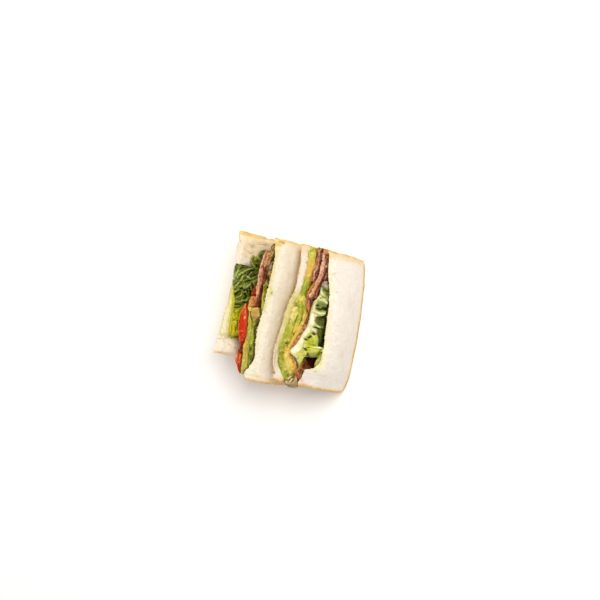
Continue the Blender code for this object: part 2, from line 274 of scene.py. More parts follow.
def a_foot(s): return lambda y: lerp(FOOT["a_left"] + GAP, FOOT["a_right"] - GAP, s) + 0 * y
def b_foot(s): return lambda y: lerp(FOOT["b_left"] + GAP, b_right_foot(y) - 14.2 - GAP, s)


# =============================================================== meshes
def stations(length, step, fine):
    """Stations from 0 to length, closer together within fine of both ends."""
    n = max(2, int(round((length - 2 * fine) / step)))
    ends = [0.0, 0.12 * fine, 0.32 * fine, 0.62 * fine]
    mid = [lerp(fine, length - fine, i / n) for i in range(n + 1)]
    return np.array(ends + mid + [length - e for e in reversed(ends)])


class Mesh:
    """Points, quads and masks of a piece while it is made."""

    def __init__(self, points, quads, **masks):
        self.p, self.q, self.m = points, quads, masks

    def normals(self):
        p, q = self.p, self.q
        n = np.cross(p[q[:, 2]] - p[q[:, 0]], p[q[:, 3]] - p[q[:, 1]])
        out = np.zeros_like(p)
        for c in range(3):
            w = n[:, c]
            out[:, c] = np.bincount(q.ravel(), weights=np.repeat(w, 4), minlength=len(p))
        return out / np.maximum(np.linalg.norm(out, axis=1, keepdims=True), 1e-9)

    def push(self, amount):
        self.p = self.p + self.normals() * np.asarray(amount)[:, None]
        return self

    def even(self, rounds=1, weight=0.5):
        """Relaxes the points a little, which takes out pinches."""
        e = np.vstack([self.q[:, [0, 1]], self.q[:, [1, 2]], self.q[:, [2, 3]], self.q[:, [3, 0]]])
        e = np.vstack([e, e[:, ::-1]])
        n = np.bincount(e[:, 0], minlength=len(self.p))[:, None]
        for _ in range(rounds):
            mean = np.stack([np.bincount(e[:, 0], weights=self.p[e[:, 1], c], minlength=len(self.p))
                             for c in range(3)], 1) / np.maximum(n, 1)
            self.p = lerp(self.p, mean, weight)
        return self

    def join(self, other):
        keys = set(self.m) | set(other.m)
        a, b = len(self.p), len(other.p)
        self.m = {k: np.concatenate([self.m.get(k, np.zeros(a)), other.m.get(k, np.zeros(b))]) for k in keys}
        self.q = np.vstack([self.q, other.q + a])
        self.p = np.vstack([self.p, other.p])
        return self

    def write(self, name, material, slot, *nodes):
        p = self.p - CENTRE
        p = np.clip(p, BOX_LO, BOX_HI)
        mesh = bpy.data.meshes.new(name)
        mesh.from_pydata((p * MM).tolist(), [], self.q.tolist())
        masks = dict(self.m)
        tint = np.ones((len(p), 4))
        for c, key in enumerate("rgb"):
            tint[:, c] = masks.pop(key, material["base"][c])
        mesh.attributes.new("tint", "FLOAT_COLOR", "POINT").data.foreach_set("color", tint.astype(np.float32).ravel())
        for key, values in masks.items():
            mesh.attributes.new(key, "FLOAT", "POINT").data.foreach_set("value", np.asarray(values, np.float32))
        mesh.shade_smooth()
        mesh.materials.append(material)
        obj = bpy.data.objects.new(name, mesh)
        bpy.context.scene.collection.objects.link(obj)
        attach(obj, "root")
        if nodes:
            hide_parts(*nodes)
        return obj


def box_lattice(xs, ys, zs, r):
    """Surface of a box over the stations, its edges rounded by r: points, quads, and lattice places."""
    nx, ny, nz = len(xs), len(ys), len(zs)
    on = np.zeros((nx, ny, nz), bool)
    on[0], on[-1], on[:, 0], on[:, -1], on[:, :, 0], on[:, :, -1] = (True,) * 6
    index = np.full((nx, ny, nz), -1, np.int64)
    where = np.argwhere(on)
    index[on] = np.arange(len(where))
    quads = []

    def grid(a, flip):
        q = np.stack([a[:-1, :-1], a[1:, :-1], a[1:, 1:], a[:-1, 1:]], -1).reshape(-1, 4)
        quads.append(q[:, ::-1] if flip else q)
    grid(index[0], True)
    grid(index[-1], False)
    grid(index[:, 0], False)
    grid(index[:, -1], True)
    grid(index[:, :, 0], True)
    grid(index[:, :, -1], False)
    raw = np.stack([xs[where[:, 0]], ys[where[:, 1]], zs[where[:, 2]]], 1)
    hi = np.array([xs[-1], ys[-1], zs[-1]])
    rr = np.minimum(np.array([r, r, r]), hi * 0.49)
    inner = np.clip(raw, rr, hi - rr)
    d = (raw - inner) / rr
    d /= np.maximum(np.linalg.norm(d, axis=1, keepdims=True), 1e-9)
    return inner + d * rr, np.vstack(quads), raw, hi


def corner(z, radius):
    return np.where(z < radius, radius * (1 - np.sqrt(np.maximum(0.0, 1 - (1 - z / radius) ** 2))), 0.0)


def block(left, right, near, far, top, low=0.0, width=6.0, r=1.1, step=0.6, depth=44.0,
          corners=0.0, sx=0.5, ends_slope=0.0, taper=0.0, skip=1):
    """A layer between left(y, z) and right(y, z), from y near to far and from z low to top(y).

    Far below the top only one row in skip is kept.

    Masks: s share across, t share of the height, e distance from the nearer
    end, b distance from the bottom, up how much of the point lies on the cut.
    """
    xs = stations(width, sx, min(r * 1.2, width * 0.3))
    ys = stations(far - near, step, r * 1.2)
    zs = stations(depth, step, r * 1.2)
    foot, head = zs <= r * 1.2, zs >= depth - 13.0
    zs = np.concatenate([zs[foot], zs[~foot & ~head][::skip], zs[head]])
    p, quads, raw, hi = box_lattice(xs, ys, zs, r)
    s, a, t = p[:, 0] / hi[0], p[:, 1] / hi[1], p[:, 2] / hi[2]
    zz = t * depth
    back = corner(zz, corners) if corners else 0.0 * zz
    back = back + ends_slope * (1 - t) + taper * (1 - np.sqrt(np.maximum(0.0, 1 - (1 - t) ** 2)))
    y = lerp(near + back, far - back, a)
    z = lerp(low, top(y), t)
    x = lerp(left(y, z), right(y, z), s)
    up = smooth(hi[2] - 1.2, hi[2] - 0.1, raw[:, 2])
    m = Mesh(np.stack([x, y, z], 1), quads, s=s, t=t, up=up,
             e=np.minimum(p[:, 1], hi[1] - p[:, 1]), b=p[:, 2].copy(), along=a)
    return m


def sheet(centre, thick, edge=1.0):
    """A thin closed leaf about a grid of points (na, nb, 3). thick may be a grid too."""
    na, nb = centre.shape[:2]
    da = np.gradient(centre, axis=0)
    db = np.gradient(centre, axis=1)
    n = np.cross(da, db)
    n /= np.maximum(np.linalg.norm(n, axis=2, keepdims=True), 1e-9)
    ia = np.minimum(np.arange(na), np.arange(na)[::-1])[:, None]
    ib = np.minimum(np.arange(nb), np.arange(nb)[::-1])[None, :]
    rim = np.clip(np.minimum(ia, ib) / 2.0, 0.25, 1.0)
    half = (np.broadcast_to(np.asarray(thick, float), (na, nb)) / 2 * np.sqrt(rim))[..., None]
    top, low = centre + n * half, centre - n * half
    idx = np.arange(na * nb).reshape(na, nb)
    q = np.stack([idx[:-1, :-1], idx[1:, :-1], idx[1:, 1:], idx[:-1, 1:]], -1).reshape(-1, 4)
    loop = np.concatenate([idx[:, 0], idx[-1, 1:], idx[-2::-1, -1], idx[0, -2:0:-1]])
    nxt = np.roll(loop, -1)
    off = na * nb
    rimq = np.stack([nxt, loop, loop + off, nxt + off], 1)
    quads = np.vstack([q, q[:, ::-1] + off, rimq])
    a = np.broadcast_to(np.linspace(0, 1, na)[:, None], (na, nb)).ravel()
    b = np.broadcast_to(np.linspace(0, 1, nb)[None, :], (na, nb)).ravel()
    pts = np.vstack([top.reshape(-1, 3), low.reshape(-1, 3)])
    return Mesh(pts, quads, a=np.tile(a, 2), b=np.tile(b, 2),
                face=np.concatenate([np.ones(off), np.zeros(off)]))


# =============================================================== materials
def srgb(*c):
    """Linear colour of an sRGB colour given in 0..255."""
    out = []
    for v in c:
        v = v / 255.0
        out.append(v / 12.92 if v <= 0.04045 else ((v + 0.055) / 1.055) ** 2.4)
    return (*out, 1.0)


LIGHT = 1.12     # how much brighter than its own colour an upward face comes out
SHEEN = 0.010    # what the surface's own reflection adds


def tone(r, g, b, light=None):
    """Colour that comes out as sRGB (r, g, b) on a face turned up to the light. light is how much light the face gets,
    LIGHT if not given; a smaller value paints the colour brighter to make up for the shade the face lies in, which is
    painted light.
    """
    return np.clip((np.array(srgb(r, g, b)[:3]) - SHEEN) / (light or LIGHT), 0.002, 0.92)


class Coat:
    """Colours painted on the points of a mesh by where they are seen, with uneven borders.

    top fades what is painted towards the sides that run down out of sight.
    """

    def __init__(self, m, colour, seed=0, wobble=0.4, size=1.8, uv=None, top=None):
        self.m = m
        u, v = uv if uv is not None else seen(m.p)
        q = np.stack([u, v, 0.5 * m.p[:, 2]], 1)
        self.q = q
        self.u = u + wobble * (noise(q, size, seed) + 0.6 * noise(q, size * 0.4, seed + 1))
        self.v = v + wobble * (noise(q, size, seed + 2) + 0.6 * noise(q, size * 0.4, seed + 3))
        self.top = np.ones(len(u)) if top is None else np.clip(top, 0, 1)
        self.c = np.tile(colour, (len(u), 1)).astype(float)
        self.seed = seed

    def on(self, mask, colour, all_over=False):
        k = np.clip(mask, 0, 1) * (1.0 if all_over else self.top)
        self.c = lerp(self.c, np.asarray(colour)[None, :], np.reshape(k * np.ones(len(self.u)), (-1, 1)))
        return self

    def spot(self, colour, *items):
        return self.on(spots(self.u, self.v, *items), colour)

    def line(self, colour, *items):
        """items are (strength, half width, half width at the end, points)."""
        return self.on(strokes(self.u, self.v, *items), colour)

    def blotch(self, colour, size, lo=0.1, hi=0.5, k=1.0, stretch=(1, 1, 1), where=1.0):
        """Patches of a colour about size across; lo and hi set how much they cover."""
        self.seed += 7
        return self.on(k * where * smooth(lo, hi, noise(self.q / np.array(stretch, float), size, self.seed)), colour, True)

    def shade(self, f):
        self.c = np.clip(self.c * np.reshape(f * np.ones(len(self.u)), (-1, 1)), 0.0, 0.95)
        return self

    def done(self, **masks):
        self.m.m = dict(masks, r=self.c[:, 0], g=self.c[:, 1], b=self.c[:, 2])
        return self.m


class Look:
    """Builds a node material: the points' own colours, or one base colour without points, with layers over
    them by masks, mottling, gloss and relief."""

    def __init__(self, name, base, roughness=0.6, specular=0.5, plain=False):
        self.mat = bpy.data.materials.new(name)
        self.mat["base"] = tuple(base[:3])
        self.mat.use_nodes = True
        self.t = self.mat.node_tree
        self.s = self.t.nodes["Principled BSDF"]
        self.s.inputs["Roughness"].default_value = roughness
        self.s.inputs["Specular IOR Level"].default_value = specular
        self.coord = self.node("ShaderNodeTexCoord").outputs["Object"]
        self.colour = None if plain else self.node("ShaderNodeAttribute", attribute_name="tint").outputs["Color"]
        if plain:
            self.s.inputs["Base Color"].default_value = base
        self.height = None

    def node(self, kind, **props):
        n = self.t.nodes.new(kind)
        for k, v in props.items():
            setattr(n, k, v)
        return n

    def link(self, a, b):
        self.t.links.new(a, b)

    def math(self, op, a, b=0.0, clamp=False):
        n = self.node("ShaderNodeMath", operation=op, use_clamp=clamp)
        for i, v in enumerate((a, b)):
            if isinstance(v, (int, float)):
                n.inputs[i].default_value = v
            else:
                self.link(v, n.inputs[i])
        return n.outputs[0]

    def attr(self, name):
        return self.node("ShaderNodeAttribute", attribute_name=name).outputs["Fac"]

    def noise(self, size, detail=3.0, rough=0.5, stretch=(1, 1, 1), distort=0.0, seed=0.0):
        """Noise of about 0.2 to 0.8 whose bumps are size millimetres across, longer along stretch."""
        m = self.node("ShaderNodeMapping")
        m.inputs["Scale"].default_value = tuple(1.0 / s for s in stretch)
        m.inputs["Location"].default_value = (seed * 0.37, seed * 0.11, seed * 0.23)
        self.link(self.coord, m.inputs["Vector"])
        n = self.node("ShaderNodeTexNoise")
        n.inputs["Scale"].default_value = 1.0 / (size * MM)
        n.inputs["Detail"].default_value = detail
        n.inputs["Roughness"].default_value = rough
        n.inputs["Distortion"].default_value = distort
        self.link(m.outputs[0], n.inputs["Vector"])
        return n.outputs["Fac"]

    def pores(self, size, stretch=(1, 1, 1), randomness=1.0):
        m = self.node("ShaderNodeMapping")
        m.inputs["Scale"].default_value = tuple(1.0 / s for s in stretch)
        self.link(self.coord, m.inputs["Vector"])
        n = self.node("ShaderNodeTexVoronoi", feature="F1")
        n.inputs["Scale"].default_value = 1.0 / (size * MM)
        n.inputs["Randomness"].default_value = randomness
        self.link(m.outputs[0], n.inputs["Vector"])
        return n.outputs["Distance"]

    def web(self, size):
        """Distance to a net of fine lines whose meshes are size across."""
        n = self.node("ShaderNodeTexVoronoi", feature="DISTANCE_TO_EDGE")
        n.inputs["Scale"].default_value = 1.0 / (size * MM)
        self.link(self.coord, n.inputs["Vector"])
        return n.outputs["Distance"]

    def ramp(self, x, lo, hi):
        n = self.node("ShaderNodeMapRange", interpolation_type="SMOOTHSTEP")
        n.inputs["From Min"].default_value = lo
        n.inputs["From Max"].default_value = hi
        self.link(x, n.inputs["Value"])
        return n.outputs["Result"]

    def lay(self, factor, colour, mode="MIX", amount=1.0):
        """Lays a colour over what is there, by a factor socket."""
        n = self.node("ShaderNodeMix", data_type="RGBA", blend_type=mode)
        f = factor if amount == 1.0 else self.math("MULTIPLY", factor, amount)
        if isinstance(f, (int, float)):
            n.inputs[0].default_value = f
        else:
            self.link(f, n.inputs[0])
        self.link(self.colour, n.inputs[6])
        if isinstance(colour, tuple):
            n.inputs[7].default_value = colour
        else:
            self.link(colour, n.inputs[7])
        self.colour = n.outputs[2]
        return self

    def mask(self, name, lo=0.35, hi=0.65, grain=0.0, size=1.5, **kw):
        """An attribute with its border broken up by noise."""
        a = self.attr(name)
        if grain:
            a = self.math("ADD", a, self.math("MULTIPLY", self.math("SUBTRACT", self.noise(size, **kw), 0.5), grain * 2))
        return self.ramp(a, lo, hi)

    def mottle(self, size, dark, light, detail=4.0, lo=0.3, hi=0.7, **kw):
        """Multiplies the colour by a value between dark and light."""
        f = self.ramp(self.noise(size, detail, **kw), lo, hi)
        n = self.node("ShaderNodeMix", data_type="RGBA")
        self.link(f, n.inputs[0])
        n.inputs[6].default_value = dark if isinstance(dark, tuple) else (dark,) * 3 + (1.0,)
        n.inputs[7].default_value = light if isinstance(light, tuple) else (light,) * 3 + (1.0,)
        return self.lay(1.0, n.outputs[2], "MULTIPLY")

    def relief(self, value, depth):
        """Adds depth millimetres of fine relief."""
        v = self.math("MULTIPLY", value, depth)
        self.height = v if self.height is None else self.math("ADD", self.height, v)
        return self

    def done(self, sss=0.0, radius=(1.0, 0.6, 0.4), scale=1.0, coat=0.0, coat_rough=0.1, bump=1.0):
        if self.colour is not None:
            self.link(self.colour, self.s.inputs["Base Color"])
        if self.height is not None:
            b = self.node("ShaderNodeBump")
            b.inputs["Strength"].default_value = bump
            b.inputs["Distance"].default_value = MM
            self.link(self.height, b.inputs["Height"])
            self.link(b.outputs[0], self.s.inputs["Normal"])
        if sss:
            self.s.inputs["Subsurface Weight"].default_value = sss
            self.s.inputs["Subsurface Radius"].default_value = radius
            self.s.inputs["Subsurface Scale"].default_value = scale * MM
        if coat:
            self.s.inputs["Coat Weight"].default_value = coat
            self.s.inputs["Coat Roughness"].default_value = coat_rough
        return self.mat

    def rough(self, factor, lo, hi):
        """Roughness between lo and hi by a factor."""
        n = self.node("ShaderNodeMapRange")
        n.inputs["To Min"].default_value = lo
        n.inputs["To Max"].default_value = hi
        self.link(factor, n.inputs["Value"])
        self.link(n.outputs["Result"], self.s.inputs["Roughness"])
        return self


def bread_look():
    k = Look("white_bread", srgb(246, 237, 222), 0.92, 0.2)
    k.mottle(5.0, (0.965, 0.95, 0.93, 1), 1.0)
    k.mottle(0.9, 0.95, 1.02, detail=2.0)
    # pores and pits are darkened where the relief sinks: painted shade in the crumb's holes
    pore = k.math("SUBTRACT", 1.0, k.ramp(k.pores(1.15), 0.10, 0.42))
    k.lay(pore, (0.84, 0.78, 0.70, 1.0), "MULTIPLY", amount=0.5)
    k.lay(k.mask("pit", 0.2, 0.9), (0.78, 0.68, 0.56, 1.0), "MULTIPLY", amount=0.6)
    smoothness = k.math("SUBTRACT", 1.0, k.mask("crust", 0.3, 0.9))
    k.relief(k.math("MULTIPLY", k.ramp(k.pores(1.15), 0.05, 0.4), smoothness), 0.22)
    k.relief(k.math("MULTIPLY", k.ramp(k.pores(0.6), 0.05, 0.45), smoothness), 0.10)
    k.relief(k.noise(0.35, 2.0), 0.10)
    k.relief(k.noise(1.6, 3.0), 0.12)
    k.rough(smoothness, 0.55, 0.92)
    return k.done(sss=0.12, radius=(1.0, 0.8, 0.55), scale=1.6, bump=0.8)


# =============================================================== bread
WHITE = tone(246, 237, 222, 1.0)
CRUST_PALE, CRUST, CRUST_DARK = tone(250, 224, 166), tone(228, 180, 108), tone(204, 146, 82)


def crumbs(m, chance, size, seed):
    """Bits of crumb that hang on a piece: chance is how likely each of its points carries one."""
    rng = np.random.default_rng(seed)
    at = np.nonzero(rng.random(len(m.p)) < chance)[0]
    side = np.linspace(0.0, 1.0, 4)
    ball, quads, _, _ = box_lattice(side, side, side, 0.49)
    ball = (ball - 0.5) / np.linalg.norm(ball - 0.5, axis=1, keepdims=True)
    k = len(ball)
    r = size * rng.uniform(0.55, 1.25, (len(at), 1, 1))
    p = m.p[at][:, None] + 0.3 * r * m.normals()[at][:, None] + r * ball[None] * rng.uniform(0.75, 1.2, (len(at), k, 1)) * rng.uniform(0.7, 1.3, (len(at), 1, 3))
    bits = Mesh(p.reshape(-1, 3), (quads[None] + k * np.arange(len(at))[:, None, None]).reshape(-1, 4))
    shade = np.repeat(rng.uniform(0.93, 1.06, len(at)), k)
    for key in "rgb":
        bits.m[key] = np.clip(np.repeat(m.m[key][at], k) * shade, 0, 0.95)
    return m.join(bits)


def bread(left, right, near, far, top, seed, paint, wrinkles=(), toast=((-58, 1.0), (-50, 1.0), (48, 0.45), (58, 0.4)),
          foot=1.0, ragged=0.5, creep=0.6, last=None, swell=None, skip=1):
    """A half slice. paint(c, m) lays the colours of its cut edge and faces, before the crust's, last(c) what lies over
    the crust. swell(u, v) raises the crumb, a smaller creep lets the lower crust come further up."""
    def ragged_top(y):
        p = np.stack([y, 0 * y + seed, 0 * y], 1)
        return top(y) + ragged * noise(p, 7.0, seed) + 0.6 * ragged * noise(p, 2.6, seed + 1)
    m = block(left, right, near, far, ragged_top, width=6.0, r=0.9, step=0.77, depth=46.0, corners=8.0, sx=0.42, skip=skip)
    p = m.p
    edge = np.minimum(m.m["e"], m.m["b"])
    up = m.m["up"]
    crust = smooth(2.6, 0.2, edge + 0.9 * noise(p, 3.0, seed + 5) - 0.35 * up)
    deep = smooth(1.0, 0.0, edge)
    soft = 1 - 0.75 * deep
    # pits: small dents in the crumb, which the material also darkens as painted shade
    pit_d, pit_own = cells(p, 2.6, seed + 9)
    pit = smooth(0.16 + 0.22 * pit_own, 0.0, pit_d) * soft
    d = (0.42 * noise(p, 15.0, seed) + 0.30 * noise(p, 6.5, seed + 1) + 0.16 * noise(p, 2.8, seed + 2) * soft
         + 0.10 * noise(p, 1.4, seed + 3) * soft - 0.42 * pit)
    d += up * (0.22 * noise(p, 1.5, seed + 4) + 0.15 * noise(p, 3.3, seed + 6))
    # torn edges: at both ends near the cut, and along the cut itself
    end = smooth(2.6, 0.6, m.m["e"]) * smooth(18, 34, p[:, 2])
    rim = smooth(0.12, 0.03, np.minimum(m.m["s"], 1 - m.m["s"])) * smooth(m.m["b"].max() - 4, m.m["b"].max() - 1, m.m["b"])
    d += end * (0.50 * noise(p, 3.6, seed + 31) + 0.30 * noise(p, 1.6, seed + 32) - 0.15) + rim * (0.30 * noise(p, 2.2, seed + 33) + 0.25 * noise(p, 1.1, seed + 34))
    c = Coat(m, WHITE, seed + 40, 0.5, 2.6)
    if wrinkles:
        d -= strokes(c.u, c.v, *wrinkles)
    if swell:
        d += swell(c.u, c.v)
    d = np.where(m.m["b"] < 0.7, d * 0.15 - 0.02, d)
    paint(c, m)
    heat = through(p[:, 1], *toast)
    heat = np.where(m.m["b"] < m.m["e"], foot, heat) + 0.3 * noise(p, 8.0, seed + 21) + 0.15 * noise(p, 2.6, seed + 22)
    edge = np.minimum(m.m["e"], creep * m.m["b"])
    c.on(smooth(3.6, 0.6, edge + 0.9 * noise(p, 3.0, seed + 23)) * np.clip(heat + 0.3, 0, 1) * 0.95, CRUST_PALE)
    c.on(smooth(2.3, 0.5, edge + 0.7 * noise(p, 2.2, seed + 24)) * np.clip(heat * 1.1, 0, 1), CRUST)
    c.on(smooth(1.3, 0.1, edge) * np.clip(heat - 0.45 + 0.5 * noise(p, 5.0, seed + 25), 0, 0.9), CRUST_DARK)
    skin = smooth(0.9, 0.2, edge)
    c.on(skin * smooth(0.0, 0.6, noise(p, 6.0, seed + 26)) * 0.45, CRUST_DARK)
    c.on(skin * smooth(0.0, 0.7, noise(p, 3.0, seed + 27)) * 0.4, CRUST_PALE)
    c.on(skin * smooth(0.1, 0.6, noise(p, 1.2, seed + 28)) * 0.25, CRUST_DARK)
    # the near crust is turned away from the light, so it is painted brighter and warmer to make up for it: painted
    # light
    wall = smooth(2.2, 0.6, p[:, 1] - near)
    c.c = np.clip(c.c * (1 + wall[:, None] * np.array([0.22, 0.18, 0.08])), 0.0, 0.95)
    if last:
        last(c)
    m.push(d)
    m.p[:, 2] = np.maximum(m.p[:, 2], 0.0)
    c.done(pit=pit, crust=crust)
    return crumbs(m, 0.05 * np.clip(rim + 0.4 * end * up, 0, 1), 0.42, seed + 50)


A_LEFT_WRINKLES = (
    (0.7, 0.7, 0.4, [(-48.6, -44.6), (-46.2, -42.4), (-43.6, -41.4), (-40.6, -42.6)]), (0.5, 0.6, 0.4, [(-49.6, -39.4), (-46.8, -39.8), (-43.8, -38.0)]),
    (0.5, 0.7, 0.4, [(-47.4, -49.4), (-44, -47.4), (-40.8, -46.6)]), (0.4, 0.6, 0.4, [(-51.4, -35.4), (-49.4, -34.2), (-46.8, -35.0)]),
    (0.6, 0.6, 0.4, [(-38.4, -50.6), (-35.4, -51.6), (-31.6, -51.0)]), (-0.5, 0.9, 0.6, [(-50, -42.6), (-47.2, -40.6)]), (-0.5, 1.0, 0.6, [(-42, -44.4), (-38, -47.4)]),
    (0.6, 0.6, 0.4, [(-46, 34.6), (-43.4, 36.8), (-40, 37.6), (-37.8, 36.2)]), (-0.4, 0.9, 0.6, [(-44.8, 33.4), (-41.8, 35.2)]),
)
# Path of the crevice between the two middle slices, along which painted shade is laid on both.
CREVICE = [(-4, -53), (-1.5, -46), (-0.6, -35), (-0.6, -25), (-2, -19), (-3.4, -8), (-4.4, 2), (-6, 18), (-5.4, 32), (-4.2, 42), (-2.6, 50)]


def make_bread():
    look = bread_look()
    straw, gold, lime, moss = tone(238, 218, 146), tone(236, 190, 96), tone(214, 208, 104), tone(150, 146, 44)
    bark, snow = tone(150, 100, 40), tone(253, 242, 226)

    def paint(c, m):
        u, v, up = c.u, c.v, m.m["up"]
        # the face lies in the shade of the fillings and is painted brighter here through a low light in tone: painted
        # light
        c.on(smooth(-54.5, -50.5, u) * smooth(30, 20, v), tone(246, 228, 194, 0.98), True)
        c.on(smooth(-52.5, -47.0, u + 0.06 * (v + 45)) * smooth(30, 20, v) * 0.9, tone(242, 220, 184, 0.92), True)
        c.on(smooth(28, 33, v), tone(252, 231, 208, 0.94), True)
        c.on(smooth(28, 33, v) * smooth(-50.5, -52.5, u), tone(250, 233, 210, 1.0), True)
        c.blotch(tone(252, 218, 200, 0.92), 3.0, 0.05, 0.5, 0.6, where=smooth(30, 34, v))
        c.on(smooth(-49.6, -51.4, u) * smooth(28, 22, v) * 0.9, tone(248, 226, 198, 1.10))
        c.spot(snow, (-53.2, -40, 2.2, 6, 0.5), (-50, -38, 1.6, 3, 0.7), (-38, -34, 6, 3.2, 0.75), (-34.5, -48.4, 3.4, 1.8, 0.8), (-43.4, -34, 3, 2, 0.7))
        # darker tan spots by the wrinkles and in the corner by the far end: painted shade
        c.spot(tone(216, 178, 134, 1.0), (-46.4, -42.6, 2.6, 1.0, 0.5), (-47.4, -38.6, 2.4, 0.9, 0.4), (-50.6, -34.2, 1.2, 1.2, 0.5), (-45, -48, 3.4, 1.4, 0.3),
               (-34, -52.4, 4.4, 2.2, 0.5), (-28, -55, 3, 2.0, 0.5), (-52.6, -50.4, 0.9, 0.7, 0.5))
        c.spot(gold, (-51.4, -57.6, 2.1, 1.7, 1.0), (-47, -58, 4.0, 1.4, 0.7))
        c.on(smooth(-53.6, -57.4, v) * smooth(-30, -38, u) * 0.75, tone(246, 214, 138), True)
        # darker tan along the wrinkles: painted shade in their creases
        c.line(tone(226, 176, 130, 0.9), *[(0.4 * k, w, w1, pts) for k, w, w1, pts in A_LEFT_WRINKLES if k > 0])
        c.blotch(tone(250, 222, 196, 0.9), 3.6, 0.0, 0.5, 0.6, where=smooth(-30, -34, v))
        c.on(smooth(42.4, 45, v) * 0.6, tone(248, 214, 168))
        # a dark dot in the notch of the left edge: painted shade
        c.spot(tone(120, 100, 70), (-53.4, -50.2, 0.4, 0.4, 0.8))
    bread(a_left_out, a_left_in, -43.2, 57.6, a_left_z, 3, paint, wrinkles=A_LEFT_WRINKLES,
          toast=((-46, 0.1), (-40, 0.1), (50, 0.35), (58, 0.4)), skip=2, swell=lambda u, v: (
              4.6 * smooth(29, 35, v) * smooth(44.6, 41.0, v) * smooth(-53.0, -41.0, u) * smooth(-34, -38, u)
              + 1.4 * smooth(-30.6, -35, v) * smooth(-57.0, -53.5, v) * smooth(-53.0, -43.0, u)
              - 1.7 * np.exp(-((u + 31.8) / 1.8) ** 2) * smooth(-54.6, -56.6, v) + 0.7 * np.exp(-((u + 38) / 3.0) ** 2) * smooth(-55.6, -57.4, v)
              - 0.6 * np.exp(-((u + 50.6) / 3.4) ** 2) * smooth(43.0, 44.4, v)), last=lambda c: (
              c.spot(tone(240, 190, 92), (-51.4, -57.4, 2.4, 1.5, 0.95), (-47, -57.2, 3.0, 0.8, 0.6)), c.spot(tone(248, 220, 148), (-43, -56.2, 9.0, 1.9, 0.65)),
              c.spot(tone(236, 188, 116), (-51.4, 44.2, 3.0, 1.0, 0.9), (-45, 44.9, 2.6, 0.8, 0.5), (-38, 44.6, 2.0, 1.0, 0.7)),
              # pale patches where the curl's lobes and the blade shade the face: painted light
              c.spot(tone(250, 237, 226, 1.0), (-49.5, -33.6, 4.6, 3.4, 0.6), (-39, -32.4, 5.4, 2.4, 0.6), (-44, -37.4, 3.0, 2.0, 0.35)))
          ).write("bread_a_left", look, "bread", "a_bread_left")

    def paint(c, m):
        u, v, up = c.u, c.v, m.m["up"]
        band = smooth(-18.8, -20.4, u)
        c.on(smooth(-19, -15, u) * 0.8, tone(242, 230, 208, 1.02), True)
        c.on(up * 0.7 * smooth(-14, -18, u), tone(250, 240, 214))
        c.on(smooth(-53.5, -57.4, v) * 0.7, tone(250, 226, 164))
        c.on(band * through(v, (-60, 0.2), (-54, 0.6), (-40, 0.85), (-25, 0.75), (-5, 0.5), (5, 0.15), (20, 0.3), (30, 0.45), (38, 0.2), (48, 0.0)) * (0.8 + 0.4 * noise(c.q, 4.0, 41)), straw)
        c.spot(gold, (-22.4, -54.6, 2.4, 1.6, 0.7), (-20.0, -56.4, 1.8, 1.2, 0.5))
        c.spot(lime, (-19.2, -14.4, 2.2, 3.6, 0.7), (-21.4, -1.0, 1.2, 4.0, 0.7), (-20.6, 2.4, 1.0, 1.4, 0.7), (-22.4, -24, 0.7, 2.4, 0.4))
        c.spot(moss, (-18.8, -13.6, 0.8, 1.1, 0.95))
        c.spot(bark, (-20.8, -57.8, 1.2, 0.7, 0.8), (-18.5, -57.3, 0.9, 0.7, 0.9))
        # warm painted shade along the crevice
        c.line(tone(240, 200, 142), (0.75, 1.5, 0.8, CREVICE[:7]), (0.45, 0.8, 0.7, CREVICE[6:]))
        c.on(smooth(-57.0, -59, v) * smooth(-20, -24, u) * 0.6, snow)
    bread(a_right_in, a_right_out, -58.6, 57.6, a_right_z, 31, paint, last=lambda c: (
        c.spot(tone(234, 208, 92), (-22.0, -55.0, 2.2, 1.5, 0.8), (-18.6, -55.6, 1.4, 1.0, 0.6)), c.spot(tone(226, 186, 92), (-20.2, -56.8, 2.4, 0.8, 0.8)),
        c.spot(tone(150, 104, 34), (-21.4, -57.4, 0.9, 0.5, 0.9), (-18.4, -56.8, 1.1, 0.6, 0.9)), c.spot(tone(110, 104, 24), (-19.9, -57.2, 0.5, 0.4, 0.7)),
        c.spot(tone(240, 206, 134), (-16, 56.6, 5.0, 1.3, 0.6), (-4.6, 57.0, 3.4, 1.0, 0.6)))).write("bread_a_right", look, "bread", "a_bread_right")

    def paint(c, m):
        u, v, up = c.u, c.v, m.m["up"]
        c.on(up * 0.8, tone(246, 228, 200))
        c.on(up * smooth(-50, -55, v) * 0.7, tone(248, 216, 158))
        c.on(through(v, (-26, 0.0), (-18, 0.5), (-8, 0.75), (4, 0.7), (20, 0.55), (34, 0.5), (44, 0.3), (50, 0.0)) * smooth(-5.0, -2.4, u - through(v, (-20, 1), (20, -2), (34, -2), (44, 0))) * (0.9 + 0.5 * noise(c.q, 3.0, 42)), tone(226, 208, 124))
        c.spot(lime, (0.7, -13, 2.2, 4.4, 0.85), (-1.6, -3, 1.4, 5, 0.6), (-2.4, 6, 1.1, 5, 0.6), (-3.6, 22, 1.1, 6, 0.6))
        c.spot(tone(170, 160, 78), (-3.2, 30, 1.0, 6.0, 0.7), (2.4, -10.5, 1.4, 2.6, 0.6), (-0.6, -18.4, 0.8, 1.6, 0.4))
        c.spot(tone(150, 124, 96), (4.0, -44.6, 0.7, 0.9, 0.8), (4.2, -40, 0.4, 1.6, 0.3))
        # warm painted shade along the crevice
        c.line(tone(214, 174, 122), (0.8, 1.0, 0.7, CREVICE[:6]), (0.6, 0.7, 0.6, CREVICE[5:]))
        # a dark spot where the crevice opens near the near end: painted shadow
        c.spot(tone(84, 52, 26), (-2.4, 50.6, 0.8, 1.1, 1.0))
        c.spot(gold, (3.5, 56, 1.6, 1.0, 0.8), (-3.0, 56, 2.4, 1.0, 0.6))
    bread(b_left_out, b_left_in, -53.6, 57.6, b_left_z, 57, paint, skip=2).write("bread_b_left", look, "bread", "b_bread_left")

